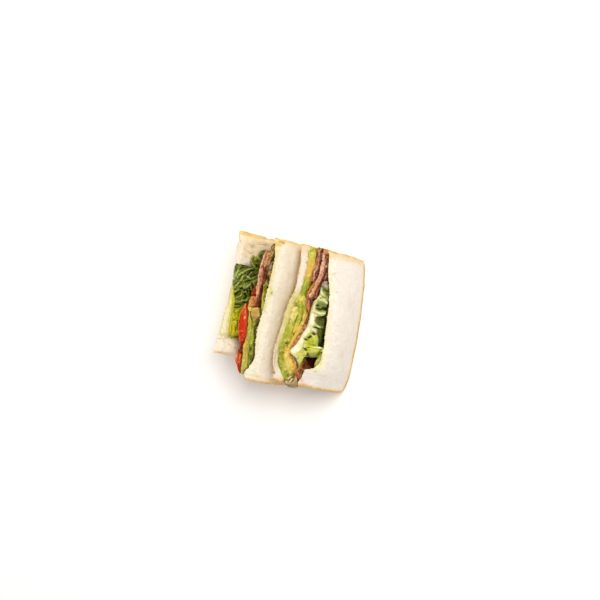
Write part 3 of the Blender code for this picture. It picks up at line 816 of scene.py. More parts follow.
    def paint(c, m):
        u, v, up = c.u, c.v, m.m["up"]
        cut = smooth(5.2, 3.2, u - through(v, (-54, 20.8), (-40, 23.2), (-30, 26.6), (-15, 30.0), (0, 31.6), (20, 33.0), (35, 33.0), (45, 28.6), (56, 20.0)))
        cut = cut * smooth(46, 38, v)
        c.on((1 - cut) * 0.9, tone(242, 233, 222, 1.02), True)
        c.on(cut * 0.9, tone(250, 238, 208, 1.08))
        c.on(cut * smooth(10, 26, v) * 0.6, tone(250, 240, 198, 0.96))
        c.on(smooth(-51.5, -54.4, v) * 0.7, tone(250, 222, 164))
        c.spot(straw, (28, -40, 1.6, 1.2, 0.8), (27, -36, 1.2, 1.2, 0.8), (33.6, 32, 1.2, 6, 0.6), (22, -53, 2.0, 2.4, 0.5))
        c.spot(tone(158, 112, 62), (31.2, 42.4, 0.9, 0.7, 0.8))
        c.spot(gold, (22, 52, 1.2, 1.8, 0.8), (24, 55.4, 3.0, 1.2, 0.7), (19.6, 55.8, 1.2, 1.0, 0.6), (20.4, 46.5, 0.8, 1.2, 0.4))
        c.spot(tone(226, 204, 184), (38, 44, 2.6, 1.0, 0.4), (47, -20, 3, 5, 0.25), (50, 24, 3, 6, 0.25))
    bread(b_right_in, b_right_out, -54.4, 56.8, b_right_z, 83, paint, foot=1.2, creep=0.36).write("bread_b_right", look, "bread", "b_bread_right")


# =============================================================== fillings
def top_line(z):
    """Height along Y, from (v, z) pairs."""
    zs = [(float(spot(0.0, v, h)[1]), h) for v, h in z]
    return (lambda y: 0 * y + zs[0][1]) if len(zs) == 1 else (lambda y: through(y, *zs))


def filling(L, R, z, share, foot, low=6.0, width=4.0, r=0.9, step=0.56, sx=0.44, crown=0.5, ragged=0.4, size=3.0,
            seed=0, wave=(0.0, 10.0, 0.0), taper=0.0, bend=0.0, pull=1.0):
    """A slice or strip that runs down through a half, drawn by the outline of its top as seen.

    L and R are its left and right edges as (v, u) pairs, z its top as (v, z)
    pairs, share its place at the foot. wave is (mm, length, phase) of a ripple
    that carries both sides. bend bows it towards +X at mid height.
    """
    v0, v1 = max(L[0][0], R[0][0]), min(L[-1][0], R[-1][0])
    hz = (lambda v: z[0][1]) if len(z) == 1 else (lambda v: float(through(np.array([v]), *z)[0]))
    lt, rt, zt = seen_line(L, hz), seen_line(R, hz), top_line(z)
    far, near = float(spot(0.0, v0, hz(v0))[1]), float(spot(0.0, v1, hz(v1))[1])
    fl, fr = foot(share[0]), foot(share[1])

    def shift(y, t):
        return wave[0] * np.sin(2 * np.pi * y / wave[1] + wave[2]) * (0.35 + 0.65 * t) + bend * 4 * t * (1 - t)

    def left(y, zz):
        t = np.clip(zz / zt(y), 0, 1.1)
        return lerp(fl(y), lt(y), t ** pull) + shift(y, t)

    def right(y, zz):
        t = np.clip(zz / zt(y), 0, 1.1)
        return lerp(fr(y), rt(y), t ** pull) + shift(y, t)

    def top(y):
        q = np.stack([y, 0 * y + seed * 3.1, 0 * y], 1)
        return zt(y) + ragged * noise(q, size, seed) + 0.5 * ragged * noise(q, size * 0.4, seed + 1)
    m = block(left, right, near, far, top, low=low, width=width, r=r, step=step, depth=42.0, sx=sx, taper=taper, skip=5)
    m.p[:, 2] += m.m["up"] * crown * (1 - (2 * m.m["s"] - 1) ** 2)
    return m


def spots(u, v, *items):
    """Strongest of soft round spots given as (u, v, ru, rv, strength)."""
    total = np.zeros(len(u))
    for cu, cv, ru, rv, k in items:
        total = np.maximum(total, k * np.exp(-(((u - cu) / ru) ** 2 + ((v - cv) / rv) ** 2)))
    return total


# ------------------------------------------------------------- avocado
def avocado_look():
    k = Look("avocado", srgb(196, 184, 72), 0.5, 0.25)
    k.mottle(2.0, (0.93, 0.94, 0.84, 1), (1.05, 1.04, 1.04, 1))
    k.mottle(0.6, 0.93, 1.05, detail=2.0)
    k.relief(k.noise(0.7, 3.0), 0.20)
    k.relief(k.noise(1.3, 4.0, stretch=(1, 2.5, 2)), 0.38)
    k.rough(k.noise(2.0, 2.0), 0.38, 0.66)
    return k.done(sss=0.16, radius=(1.0, 0.8, 0.2), scale=1.4, coat=0.04, coat_rough=0.25, bump=0.85)


AVOCADO = {"green": tone(162, 170, 42), "gold": tone(226, 186, 82), "cream": tone(244, 226, 132), "tan": tone(208, 162, 76), "deep": tone(96, 82, 14)}


def flesh(L, R, z, share, foot, seed, tones, big=0.5, small=0.3, streak=0.25, paint=None, lift=None, **kw):
    """A slice of avocado, soft and lumpy. tones(u, v, s, n) gives the strength of each of its colours, paint(c) what
    lies over them, lift(u, v) raises or hollows its top."""
    kw.setdefault("r", 0.8)
    kw.setdefault("crown", 0.4)
    m = filling(L, R, z, share, foot, seed=seed, **kw)
    q = m.p * np.array([1.0, 0.4, 0.6])
    m.push(big * noise(m.p, 4.4, seed) + small * noise(m.p, 2.0, seed + 1) + 0.45 * small * noise(m.p, 0.9, seed + 2) + streak * noise(q, 1.3, seed + 3) * (0.4 + 0.6 * m.m["up"]))
    if lift:
        m.push(lift(*seen(m.p)) * m.m["up"])
    c = Coat(m, tone(204, 192, 74), seed + 50, 0.8, 2.4)
    n = noise(m.p * np.array([1.0, 0.5, 0.6]), 2.2, seed + 4)
    masks = tones(c.u, c.v, m.m["s"] + 0.12 * noise(m.p, 2.0, seed + 6), n)
    for name, colour in AVOCADO.items():
        if name in masks:
            c.on(smooth(0.05, 0.95, masks[name]), colour, True)
    c.blotch(tone(240, 222, 124), 1.5, 0.15, 0.6, 0.55, (1, 2.2, 1.6))
    c.blotch(tone(150, 140, 36), 1.3, 0.28, 0.6, 0.45, (1, 2.2, 1.6))
    c.blotch(tone(172, 118, 48), 1.4, 0.45, 0.75, 0.5)
    if paint:
        paint(c)
    return c.done()


def make_avocado():
    look = avocado_look()
    # left half: the tan chunk with its green tail, and the yellow-green strip by the bread
    def chunk_face(c):
        c.on(0.9 + 0 * c.u, tone(200, 160, 86), True)
        c.blotch(tone(180, 150, 68), 2.6, 0.0, 0.5, 0.6)
        c.spot(tone(176, 158, 74), (-30.4, 10.8, 2.4, 2.4, 0.8), (-26.4, 10.2, 1.2, 1.4, 0.5))
        c.line(tone(232, 178, 70), (1.0, 0.75, 0.6, [(-32.0, 3.2), (-29.6, 2.0), (-27.2, 1.0)]))
        c.line(tone(234, 204, 122), (0.8, 0.4, 0.4, [(-32.4, 4.4), (-31.8, 8.2), (-30.0, 11.2)]), (0.6, 0.4, 0.4, [(-26.4, 2.4), (-24.8, 7.4)]))
        c.spot(tone(140, 96, 30), (-27.4, 8.4, 0.9, 0.6, 0.4), (-30.2, 5.4, 0.8, 0.5, 0.3))
    chunk = flesh([(0.5, -29.0), (1.2, -31.0), (2.4, -32.4), (4, -32.5), (8.2, -31.5), (11, -29.8), (13.0, -28.2)],
                  [(0.5, -26.9), (1.2, -26.6), (2.4, -26.2), (4, -25.6), (7.4, -24.5), (9.4, -26.2), (11.2, -27.2), (13.0, -27.6)],
                  [(0, 43.6), (8, 42.8), (12, 41.2)], (0.70, 0.88), a_foot, 101, lambda u, v, s, n: {}, paint=chunk_face,
                  width=5.0, crown=0.1, streak=0.1, ragged=0.2, r=0.45, big=0.25, small=0.14, step=0.4)
    chunk.join(flesh([(11.4, -31.4), (14, -30.8), (17, -29.8), (19.5, -28.8)], [(11.4, -25.8), (14, -26.4), (17, -27.0), (19.5, -27.8)],
                     [(11, 38.6), (19, 36.5)], (0.70, 0.86), a_foot, 106, lambda u, v, s, n: dict(green=0.7 + 0.4 * n, gold=0.3 * smooth(0.3, 0.0, s), deep=0.5 * smooth(0.75, 1.0, s)), width=4.0, crown=0.3))
    chunk.join(flesh([(-20, -26.9), (-14, -26.6), (-8, -26.4), (-4, -25.6), (0, -24.8), (3, -23.8), (5.0, -22.8)],
                     [(-20, -25.9), (-14, -25.2), (-9, -24.4), (-5, -23.2), (-2, -21.0), (1.0, -20.2), (3.4, -20.6), (5.0, -21.6)],
                     [(-20, 41.0), (-8, 43.4), (0, 46.4), (5, 45.6)], (0.90, 0.97), a_foot, 111, lambda u, v, s, n: dict(
                         green=0.75 + 0.5 * n, deep=spots(u, v, (-22.6, 2.6, 1.0, 1.4, 0.6)), cream=spots(u, v, (-25.4, -11, 0.6, 2.5, 0.6), (-24.4, -3, .6, 2, .4)), gold=spots(u, v, (-20.8, 2.0, 0.9, 2.4, 0.6))),
                     width=3.0, r=0.7))
    chunk.join(flesh([(0.2, -35.6), (2, -36.0), (3.4, -35.4), (4.8, -34.6)], [(0.2, -33.0), (2, -32.2), (3.4, -32.3), (4.8, -33.2)],
                     [(0, 42.4), (5, 41.4)], (0.60, 0.70), a_foot, 121, lambda u, v, s, n: dict(
                         cream=0.5 + 1.2 * n + spots(u, v, (-33.2, 3.0, 1.2, 1.0, 0.8)), green=0.5 - 0.9 * n), big=0.5, small=0.5, width=3.0, r=0.7))
    chunk.write("avocado_a_chunk", look, "avocado", "a_avocado_chunk")

    a = flesh([(4, -34.6), (8, -33.9), (13, -33.1), (18, -32.6), (23, -32.1), (28, -31.9), (31, -32.5), (34, -33.0),
               (37, -32.4), (41, -31.6), (46, -31.1), (51, -30.5), (55, -29.7), (57.6, -29.0)],
              [(4, -33.8), (8, -32.9), (13, -31.5), (18, -30.4), (23, -29.6), (28, -29.0), (31, -28.7), (34, -28.5),
               (37, -28.2), (41, -27.4), (46, -26.5), (50, -26.0), (53, -26.6), (57.6, -28.0)],
              [(4, 40.5), (20, 42.5), (45, 42.0), (57, 40.0)], (0.52, 0.66), a_foot, 131, lambda u, v, s, n: dict(
                  tan=smooth(0.75, 0.1, s) * through(v, (4, 0.9), (26, 0.9), (33, 0.35), (42, 0.35), (52, 0.1)) + 0.2 * n, gold=spots(u, v, (-32, 33.5, 1.4, 3.4, 1.0), (-31, 39, 1.0, 4, 0.6)) + 0.3 * smooth(0.2, 0.6, s) * smooth(36, 44, v),
                  green=0.5 * smooth(0.5, 0.95, s) * smooth(48, 30, v) + 0.75 * smooth(49, 56, v) * smooth(0.2, 0.7, s),
                  cream=0.6 * smooth(38, 48, v) * smooth(57, 50, v) * np.exp(-((s - 0.3) / 0.3) ** 2), deep=0.4 * smooth(0.9, 1.0, s)), paint=lambda c: (
                      c.line(tone(206, 158, 88), (0.9, 0.7, 0.7, [(-32.0, 20), (-31.2, 27), (-30.6, 33), (-30.4, 39), (-29.6, 46)])),
                      c.line(tone(146, 104, 46), (0.8, 0.4, 0.4, [(-33.2, 8), (-32.2, 15), (-31.4, 22), (-30.4, 29)]), (0.7, 0.4, 0.4, [(-29.6, 34), (-28.8, 41), (-27.6, 47)])),
                      c.spot(tone(236, 196, 108), (-32.4, 33.4, 1.0, 3.0, 0.9), (-31.2, 40.5, 0.8, 2.4, 0.7)),
                      c.spot(tone(152, 172, 92), (-28.6, 50.4, 1.3, 4.0, 0.85), (-28.4, 55, 1.0, 2.0, 0.8)),
                      c.spot(tone(196, 204, 132), (-28.8, 47.6, 0.7, 2.4, 0.6))), width=4.5, taper=5.0, crown=0.3)
    # the pale skin side of the next slice, a thin light line
    a.join(flesh([(3, -34.2), (8, -33.0), (13, -31.7), (18, -30.7), (23, -29.9), (28, -29.4), (33, -28.9), (40, -27.9), (46, -26.9)],
                 [(3, -33.6), (8, -32.2), (13, -30.7), (18, -29.6), (23, -28.7), (28, -28.1), (33, -27.9), (40, -26.9), (46, -26.1)],
                 [(4, 40.4), (20, 42.3), (45, 41.0)], (0.66, 0.70), a_foot, 136, lambda u, v, s, n: dict(
                     green=0.55 + 0.4 * n), paint=lambda c: (
                         c.on(0.7 + 0 * c.u, tone(176, 182, 74)),
                         c.line(tone(222, 216, 128), (1.0, 0.35, 0.35, [(-33.9, 3), (-32.7, 8), (-31.3, 13), (-30.3, 18), (-28.6, 24)]))),
                 width=2.0, r=0.5, sx=0.3, crown=0.3, big=0.2, small=0.1))
    a.write("avocado_a_left", look, "avocado", "a_avocado_left")

    flesh([(15, -30.0), (19, -29.2), (23, -28.5), (27, -27.9), (31, -27.6), (35, -27.4), (39, -26.7), (43, -26.0), (47, -25.4), (51, -25.0)],
          [(15, -28.5), (19, -26.9), (23, -25.7), (27, -24.9), (31, -24.3), (35, -23.6), (39, -22.9), (43, -22.3), (47, -22.9), (51, -24.2)],
          [(15, 38.5), (22, 40.5), (45, 40.5), (51, 38.5)], (0.74, 0.95), a_foot, 141, lambda u, v, s, n: dict(
              green=0.5 + 0.3 * smooth(20, 32, v) + 0.35 * n, deep=np.maximum(spots(u, v, (-25.8, 35.5, 1.4, 2.6, 1.0), (-23.0, 44.5, 1.1, 4.5, 1.0), (-24, 28, .6, 6, 0.6), (-26.8, 18, .6, 2, .4)), 0.7 * smooth(0.82, 1.0, s)),
              cream=spots(u, v, (-26.6, 30.6, 0.9, 1.4, 0.6), (-27.4, 22, 0.7, 3, 0.4))), paint=lambda c: (
                  c.on(0.5 + 0 * c.u, tone(148, 152, 56)),
                  c.spot(tone(186, 198, 78), (-28.2, 22, 0.9, 3.4, 0.8), (-26.8, 30.0, 1.2, 2.0, 0.9), (-25.4, 26, 0.8, 2.0, 0.5)),
                  # the small light spots: painted highlights
                  c.spot(tone(216, 222, 112), (-26.9, 30.2, 0.6, 1.1, 0.8), (-28.0, 23.6, 0.4, 1.8, 0.7)),
                  c.spot(tone(60, 60, 8), (-25.6, 35.6, 1.3, 1.8, 1.0), (-24.8, 31.6, 0.6, 1.6, 0.6), (-24.6, 41, 0.8, 1.4, 0.5)),
                  c.line(tone(104, 98, 24), (0.8, 0.5, 0.5, [(-25.6, 18), (-25.2, 24), (-24.4, 30)]), (0.7, 0.5, 0.4, [(-27.4, 33), (-26.6, 38), (-25.6, 43)])),
                  c.spot(tone(126, 128, 52), (-24.2, 42, 1.4, 4.0, 0.6)),
                  c.spot(tone(52, 56, 14), (-23.2, 45, 1.0, 4.0, 0.9))), width=4.0, crown=0.3, taper=5.0, big=0.5, small=0.45).write(
        "avocado_a_right", look, "avocado", "a_avocado_right")

    # right half
    flesh([(-58.6, 3.4), (-55, 2.8), (-50, 3.7), (-45, 4.9), (-40, 5.1), (-35, 4.8), (-30, 4.2), (-25, 3.9), (-21, 4.4), (-17, 5.2)],
          [(-58.6, 9.6), (-55, 10.2), (-50, 10.6), (-46, 10.9), (-42, 10.7), (-38, 10.1), (-33, 9.8), (-28, 9.4), (-23, 9.0), (-17, 8.4)],
          [(-58, 41.0), (-50, 43.6), (-35, 44.2), (-20, 44.4)], (0.03, 0.40), b_foot, 151, lambda u, v, s, n: dict(
              green=through(v, (-60, 0.3), (-52, 0.3), (-46, 0.05), (-38, 0.1), (-31, 0.55), (-25, 0.9)) + 0.25 * n + spots(u, v, (7, -56.6, 2.4, 2.0, 0.8)) + 0.35 * smooth(0.22, 0.0, s),
              gold=through(v, (-60, 0.2), (-54, 0.15), (-48, 0.5), (-43, 0.85), (-36, 0.85), (-30, 0.3), (-26, 0.0)) - 0.3 * n + spots(u, v, (3.9, -57.2, 1.0, 1.8, 0.8)),
              cream=spots(u, v, (7.0, -53.6, 2.0, 1.0, 0.7), (6.4, -48, 1.2, 2, 0.3)), tan=spots(u, v, (10.0, -52, 0.7, 6, 0.5), (9.6, -38, .6, 5, .4)), deep=spots(u, v, (10.6, -56, 0.5, 6, 0.9), (9.2, -24, .5, 6, .5))),
          width=5.0, taper=5.0, small=0.3).write(
        "avocado_b_far", look, "avocado", "b_avocado_far")

    base = flesh([(-19, 3.6), (-16, 1.2), (-12, -0.6), (-8, 0.0), (-5, -0.6), (0, -0.9), (5, -1.3), (10, -1.7), (15, -2.0), (20, -2.6), (24, -2.8), (27.6, -2.4)],
                 [(-19, 8.6), (-16, 9.0), (-12, 9.9), (-8, 11.2), (-4, 12.8), (0, 13.2), (4, 12.8), (8, 12.2), (12, 11.2), (16, 9.8), (20, 8.2), (24, 6.6), (27.6, 5.4)],
                 [(-19, 44.0), (-14, 44.6), (-9, 43.4), (0, 42.4), (20, 42.4), (27, 42.2)], (0.03, 0.42), b_foot, 161, lambda u, v, s, n: dict(
                     # the deep spots along the far edge of the cream chunk are painted shadow
                     green=smooth(-11, -8, v) * 0.7 + 0.55 * n, cream=0.25 * smooth(-8, -13, v) - 0.5 * n + spots(u, v, (1, -14, 1.8, 3.0, 0.5)), deep=0.25 * smooth(-8, -6, v) + spots(u, v, (2.2, -6.8, 1.2, 0.6, 0.9), (6.2, -6.4, 1.3, 0.7, 1.3), (9.6, -9.6, 0.8, 0.7, 0.8))),
                 width=7.0, r=1.1, crown=0.5, big=0.6, small=0.6, taper=4.0)
    base.join(flesh([(-11.5, 4.2), (-10, 3.2), (-8.4, 3.6), (-7.2, 5.0)], [(-11.5, 7.4), (-10, 8.8), (-8.4, 9.0), (-7.2, 8.2)], [(-10, 45.0)], (0.2, 0.34), b_foot, 166,
                    lambda u, v, s, n: dict(green=0.9 + 0.5 * n, cream=-0.2 + 0.8 * n), low=30.0, width=4.0, small=0.5, crown=0.7))
    base.join(flesh([(-7.2, 2.6), (-6.4, 0.6), (-4, -0.2), (-1, 0.2), (2.6, 0.2), (6, 1.4), (9.4, 1.6)], [(-7.2, 4.6), (-6.8, 6.2), (-5, 5.6), (-2.4, 6.5), (0.4, 5.6), (4, 5.0), (7, 3.4), (9.4, 2.6)],
                    [(-6, 44.2), (3, 44.4), (9, 43.6)], (0.03, 0.16), b_foot, 171, lambda u, v, s, n: dict(cream=0.95 + 0.3 * n - 0.4 * smooth(1.0, 6.2, v), green=0.5 * smooth(1.4, 6.2, v) * (0.4 + n)), paint=lambda c: (
                        c.line(tone(206, 190, 88), (0.7, 0.4, 0.4, [(5.0, -5.6), (4.2, -1.4), (3.2, 3.6)]), (0.5, 0.3, 0.3, [(1.4, -4.4), (1.2, 0.4), (2.0, 5.4)])),
                        c.spot(tone(150, 150, 40), (0.2, -5.8, 1.0, 0.8, 0.7), (5.9, -3.4, 0.6, 1.6, 0.6), (4.4, 2.2, 0.5, 1.6, 0.6))),
                    width=5.0, crown=0.2, streak=0.45, small=0.45, r=0.6))
    base.join(flesh([(-8, 6.2), (-2, 6.3), (4, 5.7), (9, 5.3), (15, 5.2)], [(-8, 8.4), (-4, 9.7), (0, 10.1), (4, 9.9), (8, 9.3), (12, 8.5), (15, 7.2)],
                    [(-8, 44.0), (4, 44.4), (14, 44.4)], (0.17, 0.28), b_foot, 176, lambda u, v, s, n: dict(
                        green=0.75 * smooth(9, 4, v) + 0.4 * n, cream=0.5 * smooth(0.5, 0.8, n) + spots(u, v, (8.6, 8, 1.2, 2.0, 0.3)), gold=0.55 * smooth(6, 11, v)), width=4.0, crown=0.5))
    base.join(flesh([(3.4, 0.2), (6, -1.1), (10, -1.6), (15, -2.0), (20, -2.6), (24, -2.9), (28, -2.7)], [(3.4, 4.4), (6, 5.3), (10, 5.5), (14, 5.7), (18, 5.7), (22, 4.9), (25, 3.9), (28, 3.0)],
                    [(4, 44.0), (14, 44.6), (28, 43.8)], (0.03, 0.18), b_foot, 181, lambda u, v, s, n: dict(
                        green=0.55 + 0.45 * smooth(0.35, 0.0, s) + 0.45 * n, cream=spots(u, v, (2.8, 8, 0.8, 4.0, 0.55), (4.2, 21.8, 1.8, 0.7, 0.9)), tan=spots(u, v, (3.4, 16, 0.7, 1.8, 0.8)), gold=spots(u, v, (4.6, 12.5, 1.2, 2.5, 0.5)),
                        # the deep spots here are painted shadow
                        deep=spots(u, v, (2.6, 24.2, 1.9, 0.8, 1.2), (0.5, 27, 1.0, 1.2, 0.5))), width=6.0, crown=0.6, small=0.35))
    base.join(flesh([(-6, 10.0), (-2, 10.2), (2, 10.2), (6, 9.4), (10, 8.0), (14, 7.0), (18, 6.0), (22, 4.9), (26, 3.6), (30.5, 2.4)],
                    [(-6, 12.0), (-3, 13.8), (0, 14.1), (3, 13.7), (6, 12.9), (10, 12.0), (14, 10.9), (18, 9.5), (22, 8.0), (26, 6.6), (30.5, 5.4)],
                    [(-6, 43.6), (10, 44.6), (30, 44.4)], (0.30, 0.43), b_foot, 186, lambda u, v, s, n: dict(
                        tan=through(v, (-6, 0.7), (3, 0.7), (8, 0.25), (14, 0.1)) + 0.35 * n + spots(u, v, (10.6, 12.2, 0.6, 1.2, 0.8)), gold=through(v, (-6, 0.1), (5, 0.3), (10, 0.85), (30, 0.95)),
                        cream=spots(u, v, (11.6, -1.6, 1.2, 1.4, 0.5), (10.6, 9.4, 1.0, 1.2, 0.5)) + 0.45 * smooth(0.3, 0.8, n), deep=0.35 * smooth(0.12, 0.0, s)), width=4.5, crown=0.6))
    base.write("avocado_b_middle", look, "avocado", "b_avocado_middle")

    seam = [(1.0, 27.0), (1.2, 31.0), (2.0, 36.0), (3.4, 40.0), (5.6, 44.0), (8.4, 47.6)]
    rim = flesh([(24.4, -3.2), (28, -3.4), (32, -3.2), (36, -2.7), (40, -2.1), (43, -1.1), (46, 0.7), (49, 2.7), (52, 4.4), (54.5, 5.8)],
                [(24.4, 1.6), (28, 4.8), (30.4, 7.2), (33.0, 9.9), (36, 12.6), (39, 14.8), (42, 15.2), (45, 14.2), (48, 12.2), (51, 10.8), (54.5, 8.6)],
                [(24, 42.8), (28, 43.6), (35, 43.6), (45, 41.4), (54, 38.0)], (0.03, 0.43), b_foot, 191, lambda u, v, s, n: dict(
                    green=0.9 * smooth(1.2, -0.8, u - through(v, *[(b, a) for a, b in seam])) + 0.8 * smooth(46.0, 49.6, v) + 0.3 * n,
                    gold=smooth(-0.6, 1.4, u - through(v, *[(b, a) for a, b in seam])) * smooth(48.6, 44.5, v) * (0.85 + 0.3 * n)), paint=lambda c: (
                        c.spot(tone(252, 232, 138), (7.6, 41.4, 3.4, 3.4, 1.0), (4.4, 34.0, 1.3, 3.4, 0.8), (6.4, 45.2, 2.2, 1.4, 0.7)),
                        c.line(tone(196, 192, 70), (0.6, 0.5, 0.4, [(3.6, 36.6), (5.2, 40.0), (7.8, 43.4)]), (0.5, 0.4, 0.4, [(6.4, 38.4), (8.6, 42.0), (9.4, 45.4)])),
                        c.spot(tone(236, 186, 92), (11.6, 39.8, 2.2, 3.4, 0.85), (8.4, 34.6, 1.4, 1.2, 0.6)),
                        # brown spots in the dips: painted shade
                        c.spot(tone(160, 92, 34), (9.8, 35.6, 1.2, 0.7, 0.9), (12.6, 37.2, 0.9, 0.7, 0.7), (14.4, 44.0, 0.8, 1.6, 0.7), (12.6, 46.6, 1.2, 0.7, 0.6), (7.6, 36.6, 0.6, 0.5, 0.5)),
                        c.line(tone(112, 104, 18), (0.7, 0.5, 0.6, [(-2.4, 30), (-1.9, 35), (-1.0, 40), (0.8, 44), (3.2, 48)]), (0.6, 0.4, 0.4, [(0.8, 30.6), (1.8, 36.0), (3.4, 39.6)])),
                        c.spot(tone(104, 92, 16), (0.2, 32.4, 0.6, 1.2, 0.8), (2.2, 38.4, 1.0, 0.6, 0.7), (8.8, 50.4, 1.2, 0.7, 0.8), (6.6, 47.0, 0.8, 0.5, 0.6)),
                        c.spot(tone(198, 208, 92), (4.6, 48.6, 1.4, 2.4, 0.85), (6.4, 51.4, 1.2, 1.6, 0.7), (0.6, 41.6, 0.8, 2.0, 0.5)),
                        # dark brown lines under the torn tip: painted shadow
                        c.line(tone(88, 40, 8), (1.0, 0.9, 0.7, [(7.6, 32.6), (10.8, 34.0), (13.4, 36.8), (15.0, 39.6), (15.4, 43.0)]), (0.7, 0.5, 0.5, [(9.6, 35.2), (11.4, 37.4), (12.0, 39.2)])),
                        c.line(tone(196, 128, 56), (0.8, 0.6, 0.5, [(6.4, 33.0), (9.4, 36.0), (11.6, 38.8), (13.6, 42.6), (12.8, 46.4)]))),
                lift=lambda u, v: (-0.9 * strokes(u, v, (1.0, 0.7, 0.6, seam), (0.8, 0.8, 0.6, [(6.6, 36.0), (9.8, 35.8), (12.4, 37.4)]), (0.8, 0.8, 0.6, [(10.6, 46.4), (13.0, 46.2)]), (0.7, 0.6, 0.5, [(8.4, 50.6), (10.6, 50.0)]))
                                   + 1.0 * spots(u, v, (8.6, 41.4, 3.4, 3.2, 1.0), (4.4, 33.2, 1.4, 3.0, 0.5), (4.4, 48.8, 1.6, 2.6, 0.6))),
                width=12.0, r=1.1, crown=0.7, taper=4.0, small=0.45, streak=0.4, sx=0.45)
    rim.write("avocado_b_near", look, "avocado", "b_avocado_near")


# ------------------------------------------------------------- bacon
def bacon_look():
    k = Look("bacon", srgb(168, 108, 72), 0.46, 0.25)
    k.mottle(1.3, (0.86, 0.80, 0.76, 1), (1.10, 1.08, 1.06, 1), detail=5.0)
    k.mottle(0.5, 0.88, 1.08, detail=2.0)
    k.relief(k.noise(0.8, 4.0, stretch=(1, 1.7, 1)), 0.34)
    k.relief(k.noise(0.3, 2.0), 0.08)
    k.rough(k.noise(1.2, 2.0), 0.32, 0.62)
    return k.done(sss=0.05, radius=(1.0, 0.4, 0.25), scale=1.2, coat=0.08, coat_rough=0.2, bump=0.9)


# the char colour is the near-black of charred bits, and is also laid as painted shade in grooves, along shaded sides
# and in crevices; the white colour is pale fat, and is also laid as painted highlights
BACON = {"lean": tone(124, 58, 34), "fat": tone(222, 166, 126), "crisp": tone(216, 144, 70), "white": tone(252, 218, 188), "char_and_shade": tone(66, 24, 8)}


def rasher(L, R, z, share, foot, seed, paint, ridges=1.6, depth=0.45, big=0.4, small=0.3, over=None, **kw):
    """A strip of fried bacon on edge, ridged along its length. paint(u, v, s, w, up) gives the strength of each
    colour, over(c) what lies on them.

    w runs from -1 in a groove or a lean band to 1 on a ridge or a fat band, up
    is 1 near the cut side.
    """
    kw.setdefault("low", 8.0)
    kw.setdefault("r", 0.6)
    kw.setdefault("sx", 0.3)
    kw.setdefault("crown", 0.3)
    kw.setdefault("ragged", 0.8)
    m = filling(L, R, z, share, foot, seed=seed, **kw)
    s, t, up = m.m["s"], m.m["t"], m.m["up"]
    along = m.p * np.array([1.0, 0.45, 0.6])
    top = np.sin(2 * np.pi * (s * ridges + 0.42 * noise(along, 2.8, seed + 5) + 0.15 * noise(along, 1.2, seed + 7)) + seed)
    side = np.sin(2 * np.pi * (t * 4.4 + s + 0.5 * noise(m.p * np.array([1, 0.25, 1]), 4.0, seed + 6)) + seed)
    w = lerp(side, top, up)
    m.push(depth * top * up + 0.35 * depth * side * (1 - up) + big * noise(m.p * np.array([1, 0.6, 1]), 2.6, seed)
           + 1.2 * small * noise(m.p, 1.2, seed + 1) * (0.5 + up) + 0.12 * noise(m.p, 0.55, seed + 2))
    c = Coat(m, tone(178, 112, 72), seed + 60, 0.45, 1.4)
    c.blotch(tone(214, 154, 110), 2.4, 0.0, 0.5, 0.7, (1, 1.8, 1))
    c.blotch(tone(134, 70, 38), 1.8, 0.1, 0.5, 0.7, (1, 1.8, 1))
    masks = paint(c.u, c.v, s, w + 0.35 * noise(m.p, 1.3, seed + 8), smooth(36, 42, m.p[:, 2]))
    for name, colour in BACON.items():
        if name in masks:
            c.on(smooth(0.1, 0.85, masks[name]), colour, True)
    c.blotch(tone(236, 182, 142), 1.0, 0.32, 0.65, 0.6, (1, 1.5, 1))
    c.blotch(tone(96, 38, 18), 0.9, 0.34, 0.65, 0.6, (1, 1.5, 1))
    if over:
        c.top = smooth(36, 41, m.p[:, 2])
        over(c)
    return c.done()


